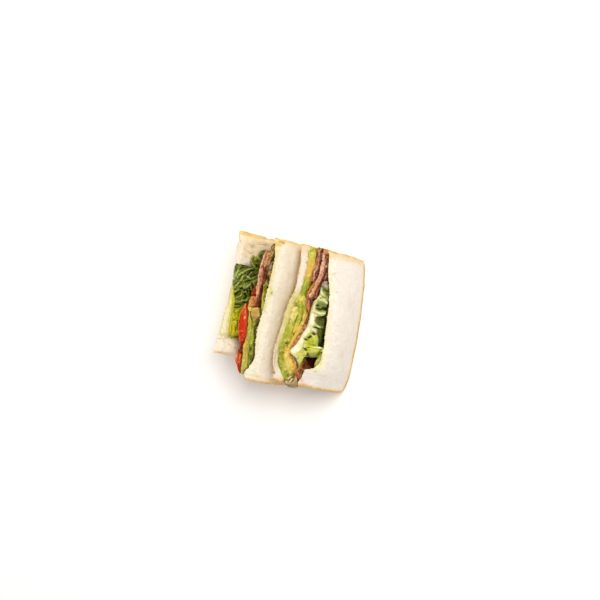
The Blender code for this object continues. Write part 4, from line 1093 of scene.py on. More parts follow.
def make_bacon():
    look = bacon_look()

    # left half: fat edge strip on the left, lean strip on the right, a crisp end
    def paint(u, v, s, w, up):
        n = noise(np.stack([u, v * 0.6, 0 * u], 1), 2.0, 11)
        return dict(fat=np.where(up > 0.5, 0.45 + 0.45 * w + 0.3 * n, 0.35 + 0.4 * w), lean=np.clip(0.25 - 0.5 * w, 0, 1) * (1 - 0.5 * up) + up * spots(u, v, (-30.6, -43, 0.6, 6, 0.75), (-31.0, -34, 0.5, 2.5, 0.6), (-31.2, -25.5, 1.0, 1.8, 0.6), (-32, -29, .6, 1.2, .5)),
                    white=up * (spots(u, v, (-31.7, -41, 0.5, 6, 0.75), (-32.7, -34, .4, 4, .6), (-32.4, -24, 0.4, 6, 0.4), (-30.6, -12, 0.5, 3.4, 0.6)) + 0.5 * smooth(0.5, 1.0, w) * smooth(-36, -44, v)),
                    # the dark laid in the grooves here is painted shade
                    crisp=up * (0.5 * smooth(-24, -12, v)), char_and_shade=up * 0.6 * smooth(0.4, 0.9, -w) * smooth(-36, -28, v))
    a = rasher([(-48.4, -30.3), (-46, -31.3), (-42, -32.0), (-38, -32.5), (-33, -32.9), (-28, -33.0), (-23, -32.8), (-18, -32.5), (-13, -31.8), (-9, -31.4), (-6.8, -31.6)],
               [(-48.4, -29.6), (-46, -29.4), (-42, -29.9), (-38, -30.3), (-33, -30.6), (-28, -30.4), (-23, -30.0), (-18, -29.6), (-13, -29.3), (-9, -29.4), (-6.8, -29.6)],
               [(-48, 42.0), (-40, 44.0), (-20, 44.6), (-7, 43.6)], (0.50, 0.57), a_foot, 201, paint, over=lambda c: (
                   c.on(0.5 + 0 * c.u, tone(224, 160, 112)), c.blotch(tone(242, 194, 146), 1.2, 0.1, 0.45, 0.8, (1, 1.5, 1)), c.blotch(tone(136, 62, 30), 1.1, 0.12, 0.42, 0.85, (1, 1.5, 1)),
                   c.line(tone(240, 200, 180), (0.9, 0.45, 0.45, [(-30.9, -47), (-31.7, -42.6), (-32.3, -37.6), (-32.8, -33)])),
                   c.line(tone(184, 84, 76), (0.9, 0.55, 0.5, [(-29.8, -47.6), (-30.4, -43), (-30.9, -38), (-31.2, -35)])),
                   c.line(tone(236, 184, 148), (0.85, 0.9, 0.7, [(-32.2, -30.6), (-31.8, -26), (-31.3, -21)]), (0.9, 0.6, 0.5, [(-31.0, -19.6), (-30.5, -14.4), (-30.6, -9.4)])),
                   c.spot(tone(118, 40, 22), (-30.8, -34.2, 0.7, 1.5, 0.9), (-31.0, -25.0, 0.8, 1.1, 0.8), (-31.6, -28.2, 0.5, 0.8, 0.7), (-30.2, -21.6, 0.5, 1.2, 0.7), (-31.4, -17.4, 0.4, 1.2, 0.5))),
               width=2.6, ridges=1.1, depth=0.35, wave=(0.2, 9.0, 0.5))

    def paint(u, v, s, w, up):
        n = noise(np.stack([u, v * 0.6, 0 * u], 1), 2.0, 12)
        dark = smooth(-37, -30, v)
        return dict(lean=np.where(up > 0.5, 0.30 + 0.55 * dark - 0.3 * w, 0.45 - 0.4 * w), fat=np.clip(0.1 + 0.6 * w, 0, 1) * (1 - 0.75 * dark * up) + spots(u, v, (-28.8, -41, 0.6, 4, 0.4)), crisp=up * 0.3 * smooth(-32, -39, v) + 0.2 * n,
                    char_and_shade=up * spots(u, v, (-27.7, -12, 0.7, 6, 0.95), (-28.0, -26, .6, 4.5, .8), (-27.9, -47, 0.4, 2, 0.6), (-28.2, -33.4, .5, 1, .6)), white=up * spots(u, v, (-28.9, -44.5, 0.4, 2.4, 0.5)))
    a.join(rasher([(-47.6, -29.3), (-44, -29.6), (-40, -30.0), (-35, -30.3), (-30, -30.2), (-25, -29.9), (-20, -29.5), (-15, -29.1), (-10, -29.2), (-5.6, -29.4)],
                  [(-47.6, -28.2), (-44, -28.0), (-40, -28.1), (-35, -27.9), (-30, -27.2), (-25, -27.1), (-20, -27.4), (-15, -27.1), (-10, -27.0), (-5.6, -27.2)],
                  [(-47, 41.5), (-40, 43.2), (-25, 42.8), (-14, 42.2), (-6, 43.0)], (0.57, 0.65), a_foot, 211, paint, over=lambda c: (
                      c.on(0.7 * smooth(-32, -37, c.v), tone(214, 158, 114)), c.blotch(tone(238, 196, 144), 1.1, 0.1, 0.45, 0.8, where=smooth(-30, -35, c.v)),
                      c.spot(tone(226, 176, 128), (-28.9, -44.6, 0.8, 1.6, 0.9), (-28.9, -40.4, 0.8, 1.2, 0.8), (-29.3, -36.6, 0.7, 1.2, 0.6)),
                      c.spot(tone(206, 168, 100), (-28.4, -42.6, 0.5, 0.8, 0.7)),
                      c.line(tone(88, 32, 14), (0.9, 0.9, 0.8, [(-28.2, -33), (-28.0, -28), (-28.2, -22), (-28.0, -15), (-28.0, -10)])),
                      c.spot(tone(196, 120, 78), (-29.4, -27.6, 0.5, 1.6, 0.7), (-29.0, -20.0, 0.5, 1.4, 0.6), (-28.9, -14.0, 0.4, 1.2, 0.5))),
                  width=2.4, ridges=1.2, depth=0.35, wave=(0.25, 11.0, 2.0)))

    def paint(u, v, s, w, up):
        n = noise(np.stack([u, v, 0 * u], 1), 1.8, 13)
        return dict(crisp=0.75 * smooth(-29.4, -31.0, u) + 0.3 * n, fat=spots(u, v, (-34.5, -6.3, 1.4, 1.4, 1.0), (-33.8, -3, 1.2, 1.4, 0.8), (-32.6, 0.2, 1, 0.7, 0.5)) + 0.2 * n, white=spots(u, v, (-35.2, -6.8, 0.8, 0.9, 0.9), (-35.3, -3.4, 0.4, 1.4, 0.5)),
                    lean=0.8 * smooth(-30.4, -28.8, u) + spots(u, v, (-31, -1.4, 1.5, 0.9, 0.7)), char_and_shade=spots(u, v, (-29.5, 0.2, 2.2, 0.6, 0.8), (-27.6, -4, 0.6, 4, 0.6)))
    a.join(rasher([(-7.6, -34.4), (-5, -35.6), (-2, -35.7), (0.9, -35.0)], [(-7.6, -28.2), (-5, -27.2), (-2, -27.2), (0.9, -27.9)],
                  [(-8, 44.0), (0, 43.4)], (0.48, 0.64), a_foot, 221, paint, over=lambda c: (
                      c.spot(tone(132, 66, 26), (-31.2, -3.6, 1.6, 1.6, 0.8), (-29.0, -1.4, 1.8, 1.6, 0.7), (-32.6, -5.4, 0.6, 1.2, 0.6)),
                      c.spot(tone(226, 158, 88), (-34.0, -3.4, 0.9, 1.8, 0.9), (-33.0, -0.8, 1.0, 0.8, 0.8)), c.spot(tone(80, 30, 10), (-28.0, -4.0, 0.9, 2.6, 0.8), (-30.4, -0.2, 1.6, 0.5, 0.7)),
                      c.spot(tone(246, 206, 160), (-35.2, -6.8, 0.7, 0.8, 0.9), (-34.6, -1.8, 0.4, 0.8, 0.7))),
                  low=10.0, width=5.0, r=0.9, sx=0.4, big=0.6, ridges=1.6))

    def paint(u, v, s, w, up):
        n = noise(np.stack([u, v, 0 * u], 1), 1.8, 14)
        return dict(lean=0.3 * (1 - w) * 0.5, char_and_shade=spots(u, v, (-25.6, -53.6, 0.9, 1.2, 0.9), (-24.4, -48, 0.6, 2.4, 0.7), (-25.8, -50.6, .5, 1, .6)), fat=0.3 * n)

    def film(c):
        c.on(0.85 + 0 * c.u, tone(196, 164, 92), True)
        c.blotch(tone(230, 202, 136), 1.5, 0.0, 0.4, 0.8)
        c.blotch(tone(108, 76, 22), 1.3, 0.2, 0.5, 0.9)
        c.spot(tone(110, 62, 24), (-25.6, -53.4, 0.9, 1.1, 0.9), (-26.0, -49.0, 0.5, 1.4, 0.7))
    a.join(rasher([(-54.6, -26.9), (-52, -27.3), (-49, -27.4), (-46, -27.6), (-43.0, -27.4)], [(-54.6, -25.0), (-52, -24.4), (-49, -24.0), (-46, -24.2), (-43.0, -25.2)],
                  [(-55, 41.4), (-50, 42.4), (-44, 41.6)], (0.62, 0.72), a_foot, 231, paint, over=film, low=14.0, width=2.8, r=0.6, big=0.4, small=0.5))
    a.write("bacon_a", look, "bacon", "a_bacon")

    # right half, far left strip
    def paint(u, v, s, w, up):
        n = noise(np.stack([u, v * 0.6, 0 * u], 1), 2.0, 15)
        return dict(fat=np.clip(0.35 + 0.5 * w + 0.3 * n, 0, 1) * lerp(0.7, 1.0, up) + up * spots(u, v, (12.3, -38.2, 0.8, 1.4, 0.9), (12.6, -33.8, 0.8, 1.6, 0.9), (12.6, -43, 0.8, 2, 0.5)), lean=np.clip(0.15 - 0.5 * w, 0, 1) + up * spots(u, v, (13.2, -36, 0.8, 1.6, 0.6)),
                    crisp=up * spots(u, v, (10.9, -43, 0.9, 2.6, 0.9), (10.8, -33, 0.8, 3.4, 0.7), (11.2, -58, 0.6, 2, 0.4)), white=up * spots(u, v, (12.2, -38.6, 0.5, 0.8, 0.9), (12.7, -33.8, 0.5, 0.9, 0.8), (12.6, -57.5, 0.5, 2, 0.5)), char_and_shade=up * spots(u, v, (11.0, -49, 0.5, 3.5, 0.7), (11.2, -40, .5, .7, .6), (12.2, -31.4, 1, .5, .5)))
    a = rasher([(-60.2, 11.2), (-56, 10.9), (-51, 11.4), (-46, 11.4), (-42, 10.6), (-38, 10.3), (-34, 10.3), (-30.4, 10.8)],
               [(-60.2, 13.4), (-56, 13.4), (-51, 13.7), (-46, 14.0), (-42, 13.7), (-38, 13.4), (-34, 13.4), (-30.4, 12.8)],
               [(-60, 41.5), (-52, 43.8), (-40, 44.0), (-30, 43.4)], (0.44, 0.49), b_foot, 241, paint, over=lambda c: (
                   c.line(tone(178, 122, 104), (0.7, 0.9, 0.8, [(12.8, -59), (12.9, -53), (13.2, -47)])),
                   c.line(tone(112, 92, 30), (0.8, 0.5, 0.5, [(11.2, -55), (11.2, -49), (11.4, -45)])),
                   c.spot(tone(214, 154, 100), (12.8, -43.6, 1.2, 1.2, 0.9)), c.spot(tone(112, 44, 28), (13.6, -37.7, 1.0, 1.6, 0.8)),
                   # the light spots on the lumps are painted highlights, as are the white spots on them in its paint
                   c.spot(tone(236, 176, 150), (12.2, -38.2, 0.6, 1.2, 0.9), (12.6, -33.6, 0.7, 1.1, 0.9)), c.spot(tone(184, 98, 44), (11.4, -31.8, 1.2, 1.0, 0.8))),
               width=2.6, ridges=1.0, wave=(0.2, 8.0, 0.0))

    def paint(u, v, s, w, up):
        # the dark laid in the grooves here is painted shade
        return dict(lean=np.where(up > 0.5, 0.75 - 0.35 * w, 0.35 - 0.4 * w), fat=np.clip(0.4 * w, 0, 1) * (1 - up) + up * spots(u, v, (14.6, -38, 0.8, 5, 0.35)), char_and_shade=up * np.clip(0.35 - 0.4 * w, 0, 1), crisp=up * spots(u, v, (15.6, -43.6, 0.8, 0.8, 0.5)))
    a.join(rasher([(-59.6, 13.5), (-56, 13.7), (-51, 14.0), (-46, 14.3), (-42, 13.9), (-38, 13.6), (-34, 13.4), (-30.8, 13.0)],
                  [(-59.6, 14.6), (-56, 15.0), (-51, 15.7), (-46, 16.0), (-42, 16.0), (-38, 15.8), (-34, 15.2), (-30.8, 14.2)],
                  [(-59, 40.6), (-52, 42.2), (-40, 42.6), (-30, 42.4)], (0.49, 0.54), b_foot, 251, paint, width=2.2, r=0.5, ridges=1.0, crown=0.1, wave=(0.2, 8.0, 0.4)))
    a.write("bacon_b_left", look, "bacon", "b_bacon_left")

    # right half, broad strip: pale fat line on the left with painted highlights, dark lean on the right darkened
    # further by painted shade, folded over at its near end
    def paint(u, v, s, w, up):
        n = noise(np.stack([u, v * 0.5, 0 * u], 1), 2.0, 16)
        near = smooth(-34, -29, v)
        crest = np.exp(-((u - through(v, (-56, 16.0), (-50, 17.0), (-44, 17.6), (-38, 17.4), (-32, 16.4), (-26, 14.0), (-19, 12.8))) / 0.9) ** 2)
        # the white along the crest and at the bent end is painted highlight; the dark spots in the crevices beside the
        # bent end are painted shadow
        return dict(fat=np.where(up > 0.5, np.maximum(0.55 + 0.35 * w + 0.3 * n, 0.95 * crest) - 0.15 * near, 0.3 + 0.4 * w), white=up * crest * smooth(-37, -46, v) * 0.9 + up * spots(u, v, (12.8, -18.9, 0.9, 1.0, 1.0), (13.8, -24, 0.6, 3, 0.5), (17.6, -42, .6, 2, .5)),
                    crisp=up * near * (0.6 + 0.4 * w), lean=np.clip(0.15 - 0.5 * w, 0, 1) * (0.4 + 0.6 * (1 - up)) + up * spots(u, v, (11.2, -19.8, 0.7, 1.4, 0.9), (12.4, -24.5, .5, 4, 0.85), (16.3, -35, 0.5, 4, 0.4)),
                    char_and_shade=up * spots(u, v, (9.3, -16.9, 0.8, 1.6, 1.0), (10.6, -27.8, 0.6, 1.4, 1.0), (11.6, -17.2, 1.0, 0.5, 0.7)))
    a = rasher([(-56, 15.4), (-52, 15.9), (-47, 16.2), (-42, 16.3), (-37, 16.1), (-33, 15.2), (-30, 13.2), (-26, 11.2), (-22, 9.9), (-18.6, 9.0), (-16.4, 9.0)],
               [(-56, 17.4), (-52, 18.4), (-47, 19.0), (-42, 19.4), (-37, 19.0), (-33, 18.4), (-30, 17.6), (-26, 16.3), (-22, 15.4), (-18.6, 14.8), (-16.4, 13.4)],
               [(-56, 42.0), (-50, 43.8), (-35, 45.0), (-25, 45.4), (-17, 44.2)], (0.57, 0.62), b_foot, 261, paint, over=lambda c: (
                   c.line(tone(236, 184, 162), (0.95, 0.7, 0.7, [(15.6, -55), (16.7, -48.2), (17.5, -42), (16.9, -35.6), (15.8, -30)])),
                   # near-white lines: painted highlights
                   c.line(tone(255, 230, 212), (0.9, 0.35, 0.3, [(15.6, -54.4), (16.6, -49.6)]), (0.8, 0.35, 0.3, [(17.3, -44), (17.0, -38)])),
                   c.line(tone(86, 30, 14), (0.9, 0.4, 0.45, [(14.6, -29), (13.4, -24.4), (12.0, -20.4)]), (0.8, 0.4, 0.4, [(15.0, -42), (14.8, -36), (13.8, -31)])),
                   c.line(tone(232, 156, 78), (0.9, 0.7, 0.8, [(13.4, -29.6), (12.0, -25.4), (10.9, -21.2)])), c.line(tone(238, 182, 142), (0.95, 0.6, 0.7, [(15.8, -28.6), (14.8, -24), (13.4, -18.6)])),
                   # near-white spots: painted highlights; near-black spots: painted shadow in the crevices
                   c.spot(tone(255, 224, 196), (13.0, -19.4, 0.6, 0.8, 1.0), (13.9, -23.6, 0.4, 1.2, 0.8)), c.spot(tone(34, 12, 4), (10.4, -28, 0.5, 1.4, 0.9), (8.8, -16.8, 0.8, 1.4, 0.9))),
               width=3.6, r=0.7, ridges=1.7, depth=0.5, crown=0.6, wave=(0.15, 9.0, 1.0))

    def paint(u, v, s, w, up):
        n = noise(np.stack([u, v * 0.5, 0 * u], 1), 2.0, 17)
        return dict(lean=np.where(up > 0.5, 0.55 - 0.35 * w + 0.3 * n, 0.4 - 0.4 * w), fat=np.clip(0.05 + 0.55 * w, 0, 1) * lerp(0.8, 0.55, up) + spots(u, v, (19.4, -50, 0.8, 3, 0.5), (19.7, -40, 0.8, 3.5, 0.7)),
                    # the dark along the right side and at the bent end is painted shade
                    white=up * spots(u, v, (20.4, -45.2, 1.1, 0.5, 1.0)), char_and_shade=up * (0.85 * smooth(0.62, 0.95, s) * smooth(-46, -42, v) + spots(u, v, (20.4, -32.5, 0.9, 2.4, 1.0), (19.5, -28.5, 0.8, 2, 0.7), (17, -15.9, 2, 0.7, 0.9), (14.6, -15.6, 2, .6, .8))))
    a.join(rasher([(-54, 17.8), (-50, 18.8), (-46, 19.3), (-42, 19.6), (-37, 19.2), (-33, 18.6), (-30, 17.8), (-26, 16.5), (-22, 15.6), (-18, 14.9), (-15.6, 13.4)],
                  [(-54, 20.2), (-50, 21.0), (-46, 21.4), (-43, 21.6), (-40, 22.7), (-37, 24.2), (-34, 24.0), (-31, 21.6), (-28, 20.2), (-24, 19.9), (-20, 19.8), (-18, 18.8), (-15.6, 16.0)],
                  [(-54, 41.0), (-46, 42.8), (-40, 42.6), (-30, 42.0), (-22, 43.0), (-16, 42.2)], (0.62, 0.70), b_foot, 271, paint, over=lambda c: (
                      c.line(tone(104, 44, 30), (0.8, 0.7, 0.7, [(20.2, -52), (20.6, -47.4)]), (0.85, 1.0, 0.8, [(21.4, -42), (21.0, -37), (19.6, -31), (18.8, -26)])),
                      c.line(tone(196, 136, 106), (0.8, 0.6, 0.6, [(18.8, -50), (19.2, -43), (18.8, -36), (17.8, -30)])), c.spot(tone(250, 214, 180), (20.4, -45.3, 0.9, 0.4, 1.0)),
                      # near-black spots along the right side and at the bent end: painted shade
                      c.spot(tone(166, 104, 84), (18.0, -22.4, 0.9, 2.4, 0.8), (22.6, -36.4, 0.8, 1.4, 0.6)), c.spot(tone(40, 14, 8), (21.4, -32.6, 0.8, 2.2, 0.9), (17.2, -16.6, 1.8, 0.8, 0.8))),
                  width=4.0, r=0.8, ridges=1.8, depth=0.5, crown=0.4, wave=(0.15, 9.0, 1.5)))

    def paint(u, v, s, w, up):
        n = noise(np.stack([u, v, 0 * u], 1), 1.7, 18)
        return dict(fat=0.55 + 0.7 * n, crisp=0.55 - 0.8 * n, lean=0.3 * smooth(0.3, 0.8, -w))
    a.join(rasher([(-59.6, 14.9), (-57.5, 15.2), (-55.2, 16.2)], [(-59.6, 18.8), (-57.5, 19.8), (-55.2, 19.6)],
                  [(-59, 41.2), (-55, 42.2)], (0.57, 0.68), b_foot, 281, paint, low=12.0, width=3.6, r=0.7, sx=0.35, big=0.6, small=0.4))
    a.write("bacon_b_right", look, "bacon", "b_bacon_right")

    # right half, middle: pinkish end of the strip, then a thin crisp edge beside the avocado
    def paint(u, v, s, w, up):
        n = noise(np.stack([u, v * 0.6, 0 * u], 1), 1.8, 19)
        right = smooth(0.45, 0.75, s)
        return dict(fat=(0.25 + 0.3 * w + 0.3 * n) * (1 - right), crisp=0.55 * (1 - right) * smooth(-14, -8, v), lean=0.85 * right + 0.2 * n + spots(u, v, (13.4, -15.8, 2.0, 0.9, 0.9)), char_and_shade=0.6 * right * smooth(-8, -13, v) + spots(u, v, (10.8, -8.8, 1.0, 0.6, 0.8), (9.4, -16, .6, 1, .6)))
    a = rasher([(-17, 9.6), (-13, 9.8), (-10, 10.8), (-7, 13.0), (-4.6, 14.5)], [(-17, 15.6), (-13, 16.3), (-10, 16.5), (-7, 16.4), (-4.6, 16.2)],
               [(-17, 42.4), (-10, 43.2), (-5, 43.0)], (0.46, 0.52), b_foot, 291, paint, low=9.0, width=4.4, r=0.8, sx=0.35, ridges=1.6)

    def paint(u, v, s, w, up):
        n = noise(np.stack([u, v, 0 * u], 1), 1.8, 20)
        low = smooth(0, 10, v)
        return dict(lean=0.55 * (1 - low) + 0.7 * smooth(0.1, 0.6, n), crisp=0.45 * low + 0.5 * n, fat=np.clip(low * (0.25 - 0.8 * n), 0, 1), char_and_shade=spots(u, v, (15.2, -1, 0.9, 2.5, 1.0), (14.8, 4.5, 0.8, 1.6, 0.8), (13, 7.6, 1.5, 0.7, 0.7)) + 0.55 * smooth(0.35, 0.7, n))
    a.join(rasher([(-5, 14.6), (-1, 14.3), (3, 13.9), (6, 12.8), (8.5, 12.2), (11, 12.2), (15, 11.0), (19, 9.5), (23, 8.0), (27, 6.4), (29.8, 5.4)],
                  [(-5, 16.4), (-1, 16.3), (3, 15.8), (6, 15.4), (8.5, 15.0), (11, 14.3), (15, 13.1), (19, 11.6), (23, 9.9), (27, 8.0), (29.8, 6.8)],
                  [(-5, 43.4), (5, 44.2), (20, 44.8), (29, 43.6)], (0.46, 0.52), b_foot, 301, paint, over=lambda c: (
                      c.spot(tone(92, 52, 10), (15.0, -1.5, 1.0, 2.4, 0.9), (14.6, 4.4, 0.9, 1.8, 0.8), (12.6, 7.6, 1.6, 0.8, 0.8)), c.blotch(tone(196, 134, 70), 1.3, 0.1, 0.4, 0.8, (1, 1.6, 1)),
                      c.blotch(tone(92, 44, 16), 1.1, 0.2, 0.5, 0.9, (1, 1.6, 1)), c.line(tone(222, 164, 102), (0.6, 0.4, 0.4, [(12.8, 11), (11.0, 17), (8.6, 23), (6.4, 28)]))),
                  low=9.0, width=2.2, r=0.5, sx=0.28, step=0.42, ridges=0.8, depth=0.25,
                  ragged=1.0, size=2.0, wave=(0.3, 4.6, 0.0), crown=0.2))
    a.write("bacon_b_middle", look, "bacon", "b_bacon_middle")

    # right half, near end
    def paint(u, v, s, w, up):
        n = noise(np.stack([u, v, 0 * u], 1), 2.4, 21)
        return dict(lean=0.5 + 0.6 * n - 0.25 * w, fat=spots(u, v, (17.2, 42.5, 1.2, 2.0, 0.5), (15.6, 50, 0.8, 1.6, 0.5)) + 0.25 * smooth(0.3, 0.9, w), crisp=0.2 - 0.6 * n + spots(u, v, (17.4, 48, 1.2, 2.5, 0.5)), char_and_shade=spots(u, v, (14.0, 46.2, 1.2, 0.9, 1.0), (20.9, 46, 0.7, 5, 0.6), (18.5, 53, .8, 1.4, .6)))
    rasher([(37, 17.4), (41, 15.8), (44, 15.0), (46.5, 13.6), (49, 14.6), (52, 16.2), (55.6, 17.6)],
           [(37, 20.4), (41, 21.2), (44, 21.5), (46.5, 21.2), (49, 20.5), (52, 20.0), (55.6, 19.2)],
           [(37, 33.0), (44, 37.5), (50, 37.0), (55, 34.0)], (0.46, 0.60), b_foot, 311, paint, over=lambda c: (
               c.on(0.75 + 0 * c.u, tone(128, 72, 46)), c.blotch(tone(170, 112, 84), 1.8, 0.1, 0.5, 0.8, (1, 1.8, 1)), c.blotch(tone(84, 34, 16), 1.5, 0.15, 0.5, 0.8, (1, 1.8, 1)),
               c.on(smooth(18.6, 20.4, c.u) * smooth(43.6, 40.6, c.v), tone(44, 14, 8)),
               c.spot(tone(176, 104, 52), (17.4, 48.0, 1.0, 2.4, 0.7)), c.spot(tone(50, 18, 8), (14.2, 46.2, 1.2, 0.8, 0.9), (20.8, 48, 0.6, 4.0, 0.8)), c.spot(tone(132, 100, 50), (17.8, 54.4, 1.4, 1.6, 0.7))),
           low=9.0, width=5.0, r=0.9, sx=0.4, ridges=2.2, depth=0.5, big=0.8, small=0.4).write(
        "bacon_b_near", look, "bacon", "b_bacon_near")


# ------------------------------------------------------------- tomato
def tomato_look():
    k = Look("tomato", srgb(200, 70, 26), 0.38, 0.08)
    k.mottle(1.4, (0.90, 0.82, 0.80, 1), (1.05, 1.12, 1.10, 1))
    k.relief(k.noise(0.9, 3.0), 0.24)
    k.relief(k.noise(0.35, 2.0), 0.05)
    k.rough(k.noise(1.5, 2.0), 0.24, 0.44)
    return k.done(sss=0.10, radius=(1.0, 0.25, 0.1), scale=1.4, coat=0.02, coat_rough=0.1, bump=0.7)


def make_tomato():
    look = tomato_look()
    red, orange, deep, rim = tone(200, 54, 0), tone(216, 88, 12), tone(164, 30, 0), tone(226, 160, 92)
    m = filling([(-0.6, -38.3), (1.5, -39.0), (4, -40.1), (8, -40.8), (13, -40.9), (18, -40.4), (22.5, -39.6), (27, -38.3), (31.4, -36.5), (34.8, -34.8)],
                [(-0.6, -37.9), (1.5, -37.2), (4.8, -35.9), (9.3, -34.4), (13.7, -33.5), (18, -32.8), (22.5, -32.1), (26, -31.7), (29.2, -32.5), (32.3, -33.5), (34.8, -34.3)],
                [(-1, 40.0), (8, 41.4), (20, 41.6), (30, 40.4), (35, 38.6)], (0.22, 0.46), a_foot, low=5.0, width=6.0, r=0.7, crown=0.35, ragged=0.2, seed=401, taper=6.0)
    m.push(0.2 * noise(m.p, 5.0, 402) + 0.08 * noise(m.p, 1.6, 403))
    u, v = seen(m.p)
    wet = smooth(18, 23, v) * m.m["up"]
    m.push(wet * (0.38 * noise(m.p, 1.5, 404) + 0.16 * noise(m.p, 0.8, 405) - 0.1))
    c = Coat(m, red, 440, 0.25, 1.2)
    c.blotch(orange, 3.0, 0.1, 0.6, 0.45, (1, 2, 1))
    c.spot(tone(234, 124, 62), (-38.4, 2.6, 1.2, 2.0, 0.8), (-38.8, 6, 1.2, 3, 0.3))
    c.spot(tone(250, 176, 106), (-38.2, 0.2, 0.8, 1.4, 1.0), (-39.8, 3.6, 0.5, 1.2, 0.5))
    c.blotch(deep, 1.7, -0.05, 0.35, 0.8, where=wet)
    c.blotch(tone(232, 110, 76), 1.1, 0.22, 0.5, 0.85, where=wet)
    c.line(orange, (0.4, 0.5, 0.4, [(-36.8, 4), (-35.8, 10), (-35.0, 16), (-34.2, 21)]))
    # yellowish and near-white spots, here and on the next line: painted highlights
    c.spot(tone(244, 176, 104), (-36.9, 6.4, 0.35, 1.2, 0.8), (-37.3, 3.4, 0.3, 0.6, 0.6))
    c.spot(tone(255, 230, 182), (-36.2, 11.0, 0.5, 1.2, 1.0))
    c.spot(tone(238, 116, 84), (-36.4, 22.6, 0.5, 0.8, 0.8), (-35.0, 25.4, 0.7, 0.5, 0.8), (-36.2, 28.0, 0.6, 0.7, 0.6), (-34.2, 29.4, 0.5, 0.8, 0.7))
    c.line(rim, (0.9, 0.35, 0.5, [(-40.1, 17), (-39.5, 22), (-38.1, 27), (-36.3, 31.6), (-35.0, 34.4)]), (0.5, 0.35, 0.35, [(-39.8, 4), (-40.6, 9), (-40.7, 14)]))
    c.line(tone(170, 100, 40), (0.85, 0.35, 0.45, [(-36.1, 4), (-34.7, 9), (-33.7, 14), (-32.9, 19), (-32.2, 24), (-32.1, 28)]))
    c.done().write("tomato_a_middle", look, "tomato", "a_tomato_middle")

    m = filling([(-19, -32.7), (-15, -34.2), (-12, -35.1), (-8, -35.4), (-5.8, -35.0)], [(-19, -31.9), (-15, -31.4), (-12, -31.0), (-8, -31.2), (-5.8, -32.0)],
                [(-19, 36.0), (-10, 37.6), (-6, 37.0)], (0.26, 0.46), a_foot, low=5.0, width=5.0, r=0.6, crown=0.2, ragged=0.3, seed=411, taper=6.0)
    m.push(0.25 * noise(m.p, 3.0, 412) + 0.12 * noise(m.p, 1.2, 413))
    c = Coat(m, tone(176, 54, 14), 445, 0.3, 1.4)
    c.blotch(tone(128, 44, 10), 1.8, 0.0, 0.4, 0.8)
    c.blotch(tone(214, 96, 44), 1.4, 0.25, 0.6, 0.8)
    c.spot(tone(110, 60, 24), (-34.4, -15.0, 0.9, 2.4, 0.9), (-35.4, -7, 0.8, 1.0, 0.6))
    c.done().write("tomato_a_far", look, "tomato", "a_tomato_far")

    m = filling([(40.4, -36.2), (43, -36.9), (46, -36.8), (49, -35.6), (52, -34.0), (55, -32.2), (57.2, -30.9)],
                [(40.4, -32.6), (43, -32.2), (46, -31.7), (49, -31.1), (52, -30.7), (55, -30.3), (57.2, -30.3)],
                [(40, 37.0), (46, 37.6), (52, 36.6), (57, 34.0)], (0.24, 0.46), a_foot, low=5.0, width=5.0, r=0.8, crown=0.4, ragged=0.3, seed=421, taper=5.0)
    m.push(0.35 * noise(m.p, 3.0, 422) + 0.2 * noise(m.p, 1.3, 423))
    c = Coat(m, tone(222, 90, 44), 450, 0.3, 1.2)
    c.blotch(tone(172, 36, 16), 1.8, 0.0, 0.4, 0.7)
    c.spot(tone(230, 132, 112), (-35.8, 45.4, 1.0, 2.8, 0.85), (-34.2, 50.6, 0.9, 1.4, 0.6), (-33, 48.6, 0.8, 0.9, 0.7))
    c.spot(tone(236, 148, 62), (-32.9, 43.2, 0.9, 2.4, 0.95), (-33.4, 41, 1.0, 1.0, 0.7))
    # near-white spots: painted highlights
    c.spot(tone(255, 222, 190), (-36.2, 44.0, 0.4, 0.6, 0.9), (-33.4, 48.2, 0.5, 0.5, 1.0), (-35.8, 42.2, 0.4, 0.4, 0.6))
    c.line(tone(140, 34, 12), (0.8, 0.5, 0.5, [(-34.2, 42), (-34.4, 46), (-32.6, 51), (-31.2, 56)]))
    near = c.done()
    m = filling([(34.2, -35.0), (36.5, -35.2), (38.6, -35.8), (40.8, -36.4)], [(34.2, -33.8), (36.5, -32.9), (38.6, -32.2), (40.8, -32.6)],
                [(34, 38.0), (40, 37.4)], (0.30, 0.46), a_foot, low=12.0, width=3.0, r=0.6, crown=0.3, ragged=0.8, seed=431)
    m.push(0.6 * noise(m.p, 1.8, 432) + 0.2 * noise(m.p, 0.8, 433))
    c = Coat(m, tone(128, 58, 34), 455, 0.3, 1.2)
    c.blotch(tone(88, 36, 18), 1.4, 0.0, 0.4, 0.8)
    c.blotch(tone(196, 126, 92), 1.2, 0.2, 0.5, 0.7)
    near.join(c.done())
    near.write("tomato_a_near", look, "tomato", "a_tomato_near")

    m = filling([(29, 21.0), (32, 19.6), (36, 18.6), (39, 18.4), (41.5, 19.4)], [(29, 29.4), (32, 29.8), (36, 29.0), (39, 27.6), (41.5, 26.0)],
                [(29, 24.0), (36, 25.0), (41, 24.0)], (0.71, 0.93), b_foot, low=6.0, width=8.0, r=1.4, crown=0.8, ragged=0.4, seed=441, step=0.6, sx=0.6)
    m.push(0.6 * noise(m.p, 4.0, 442) + 0.25 * noise(m.p, 1.6, 443))
    # this slice lies deep among the fillings and is painted dark red, darkest on its left: painted shade
    c = Coat(m, tone(104, 30, 12, 1.0), 460, 0.6, 2.4)
    c.blotch(tone(140, 62, 44, 1.0), 2.2, 0.25, 0.6, 0.7, where=smooth(21.0, 24.0, c.u))
    c.blotch(tone(60, 16, 6, 1.0), 2.4, 0.0, 0.5, 0.8)
    c.on(smooth(23.6, 21.0, c.u + 0.25 * (c.v - 36)) * 0.9, tone(34, 10, 4, 1.0), True)
    c.done().write("tomato_b", look, "tomato", "b_tomato")


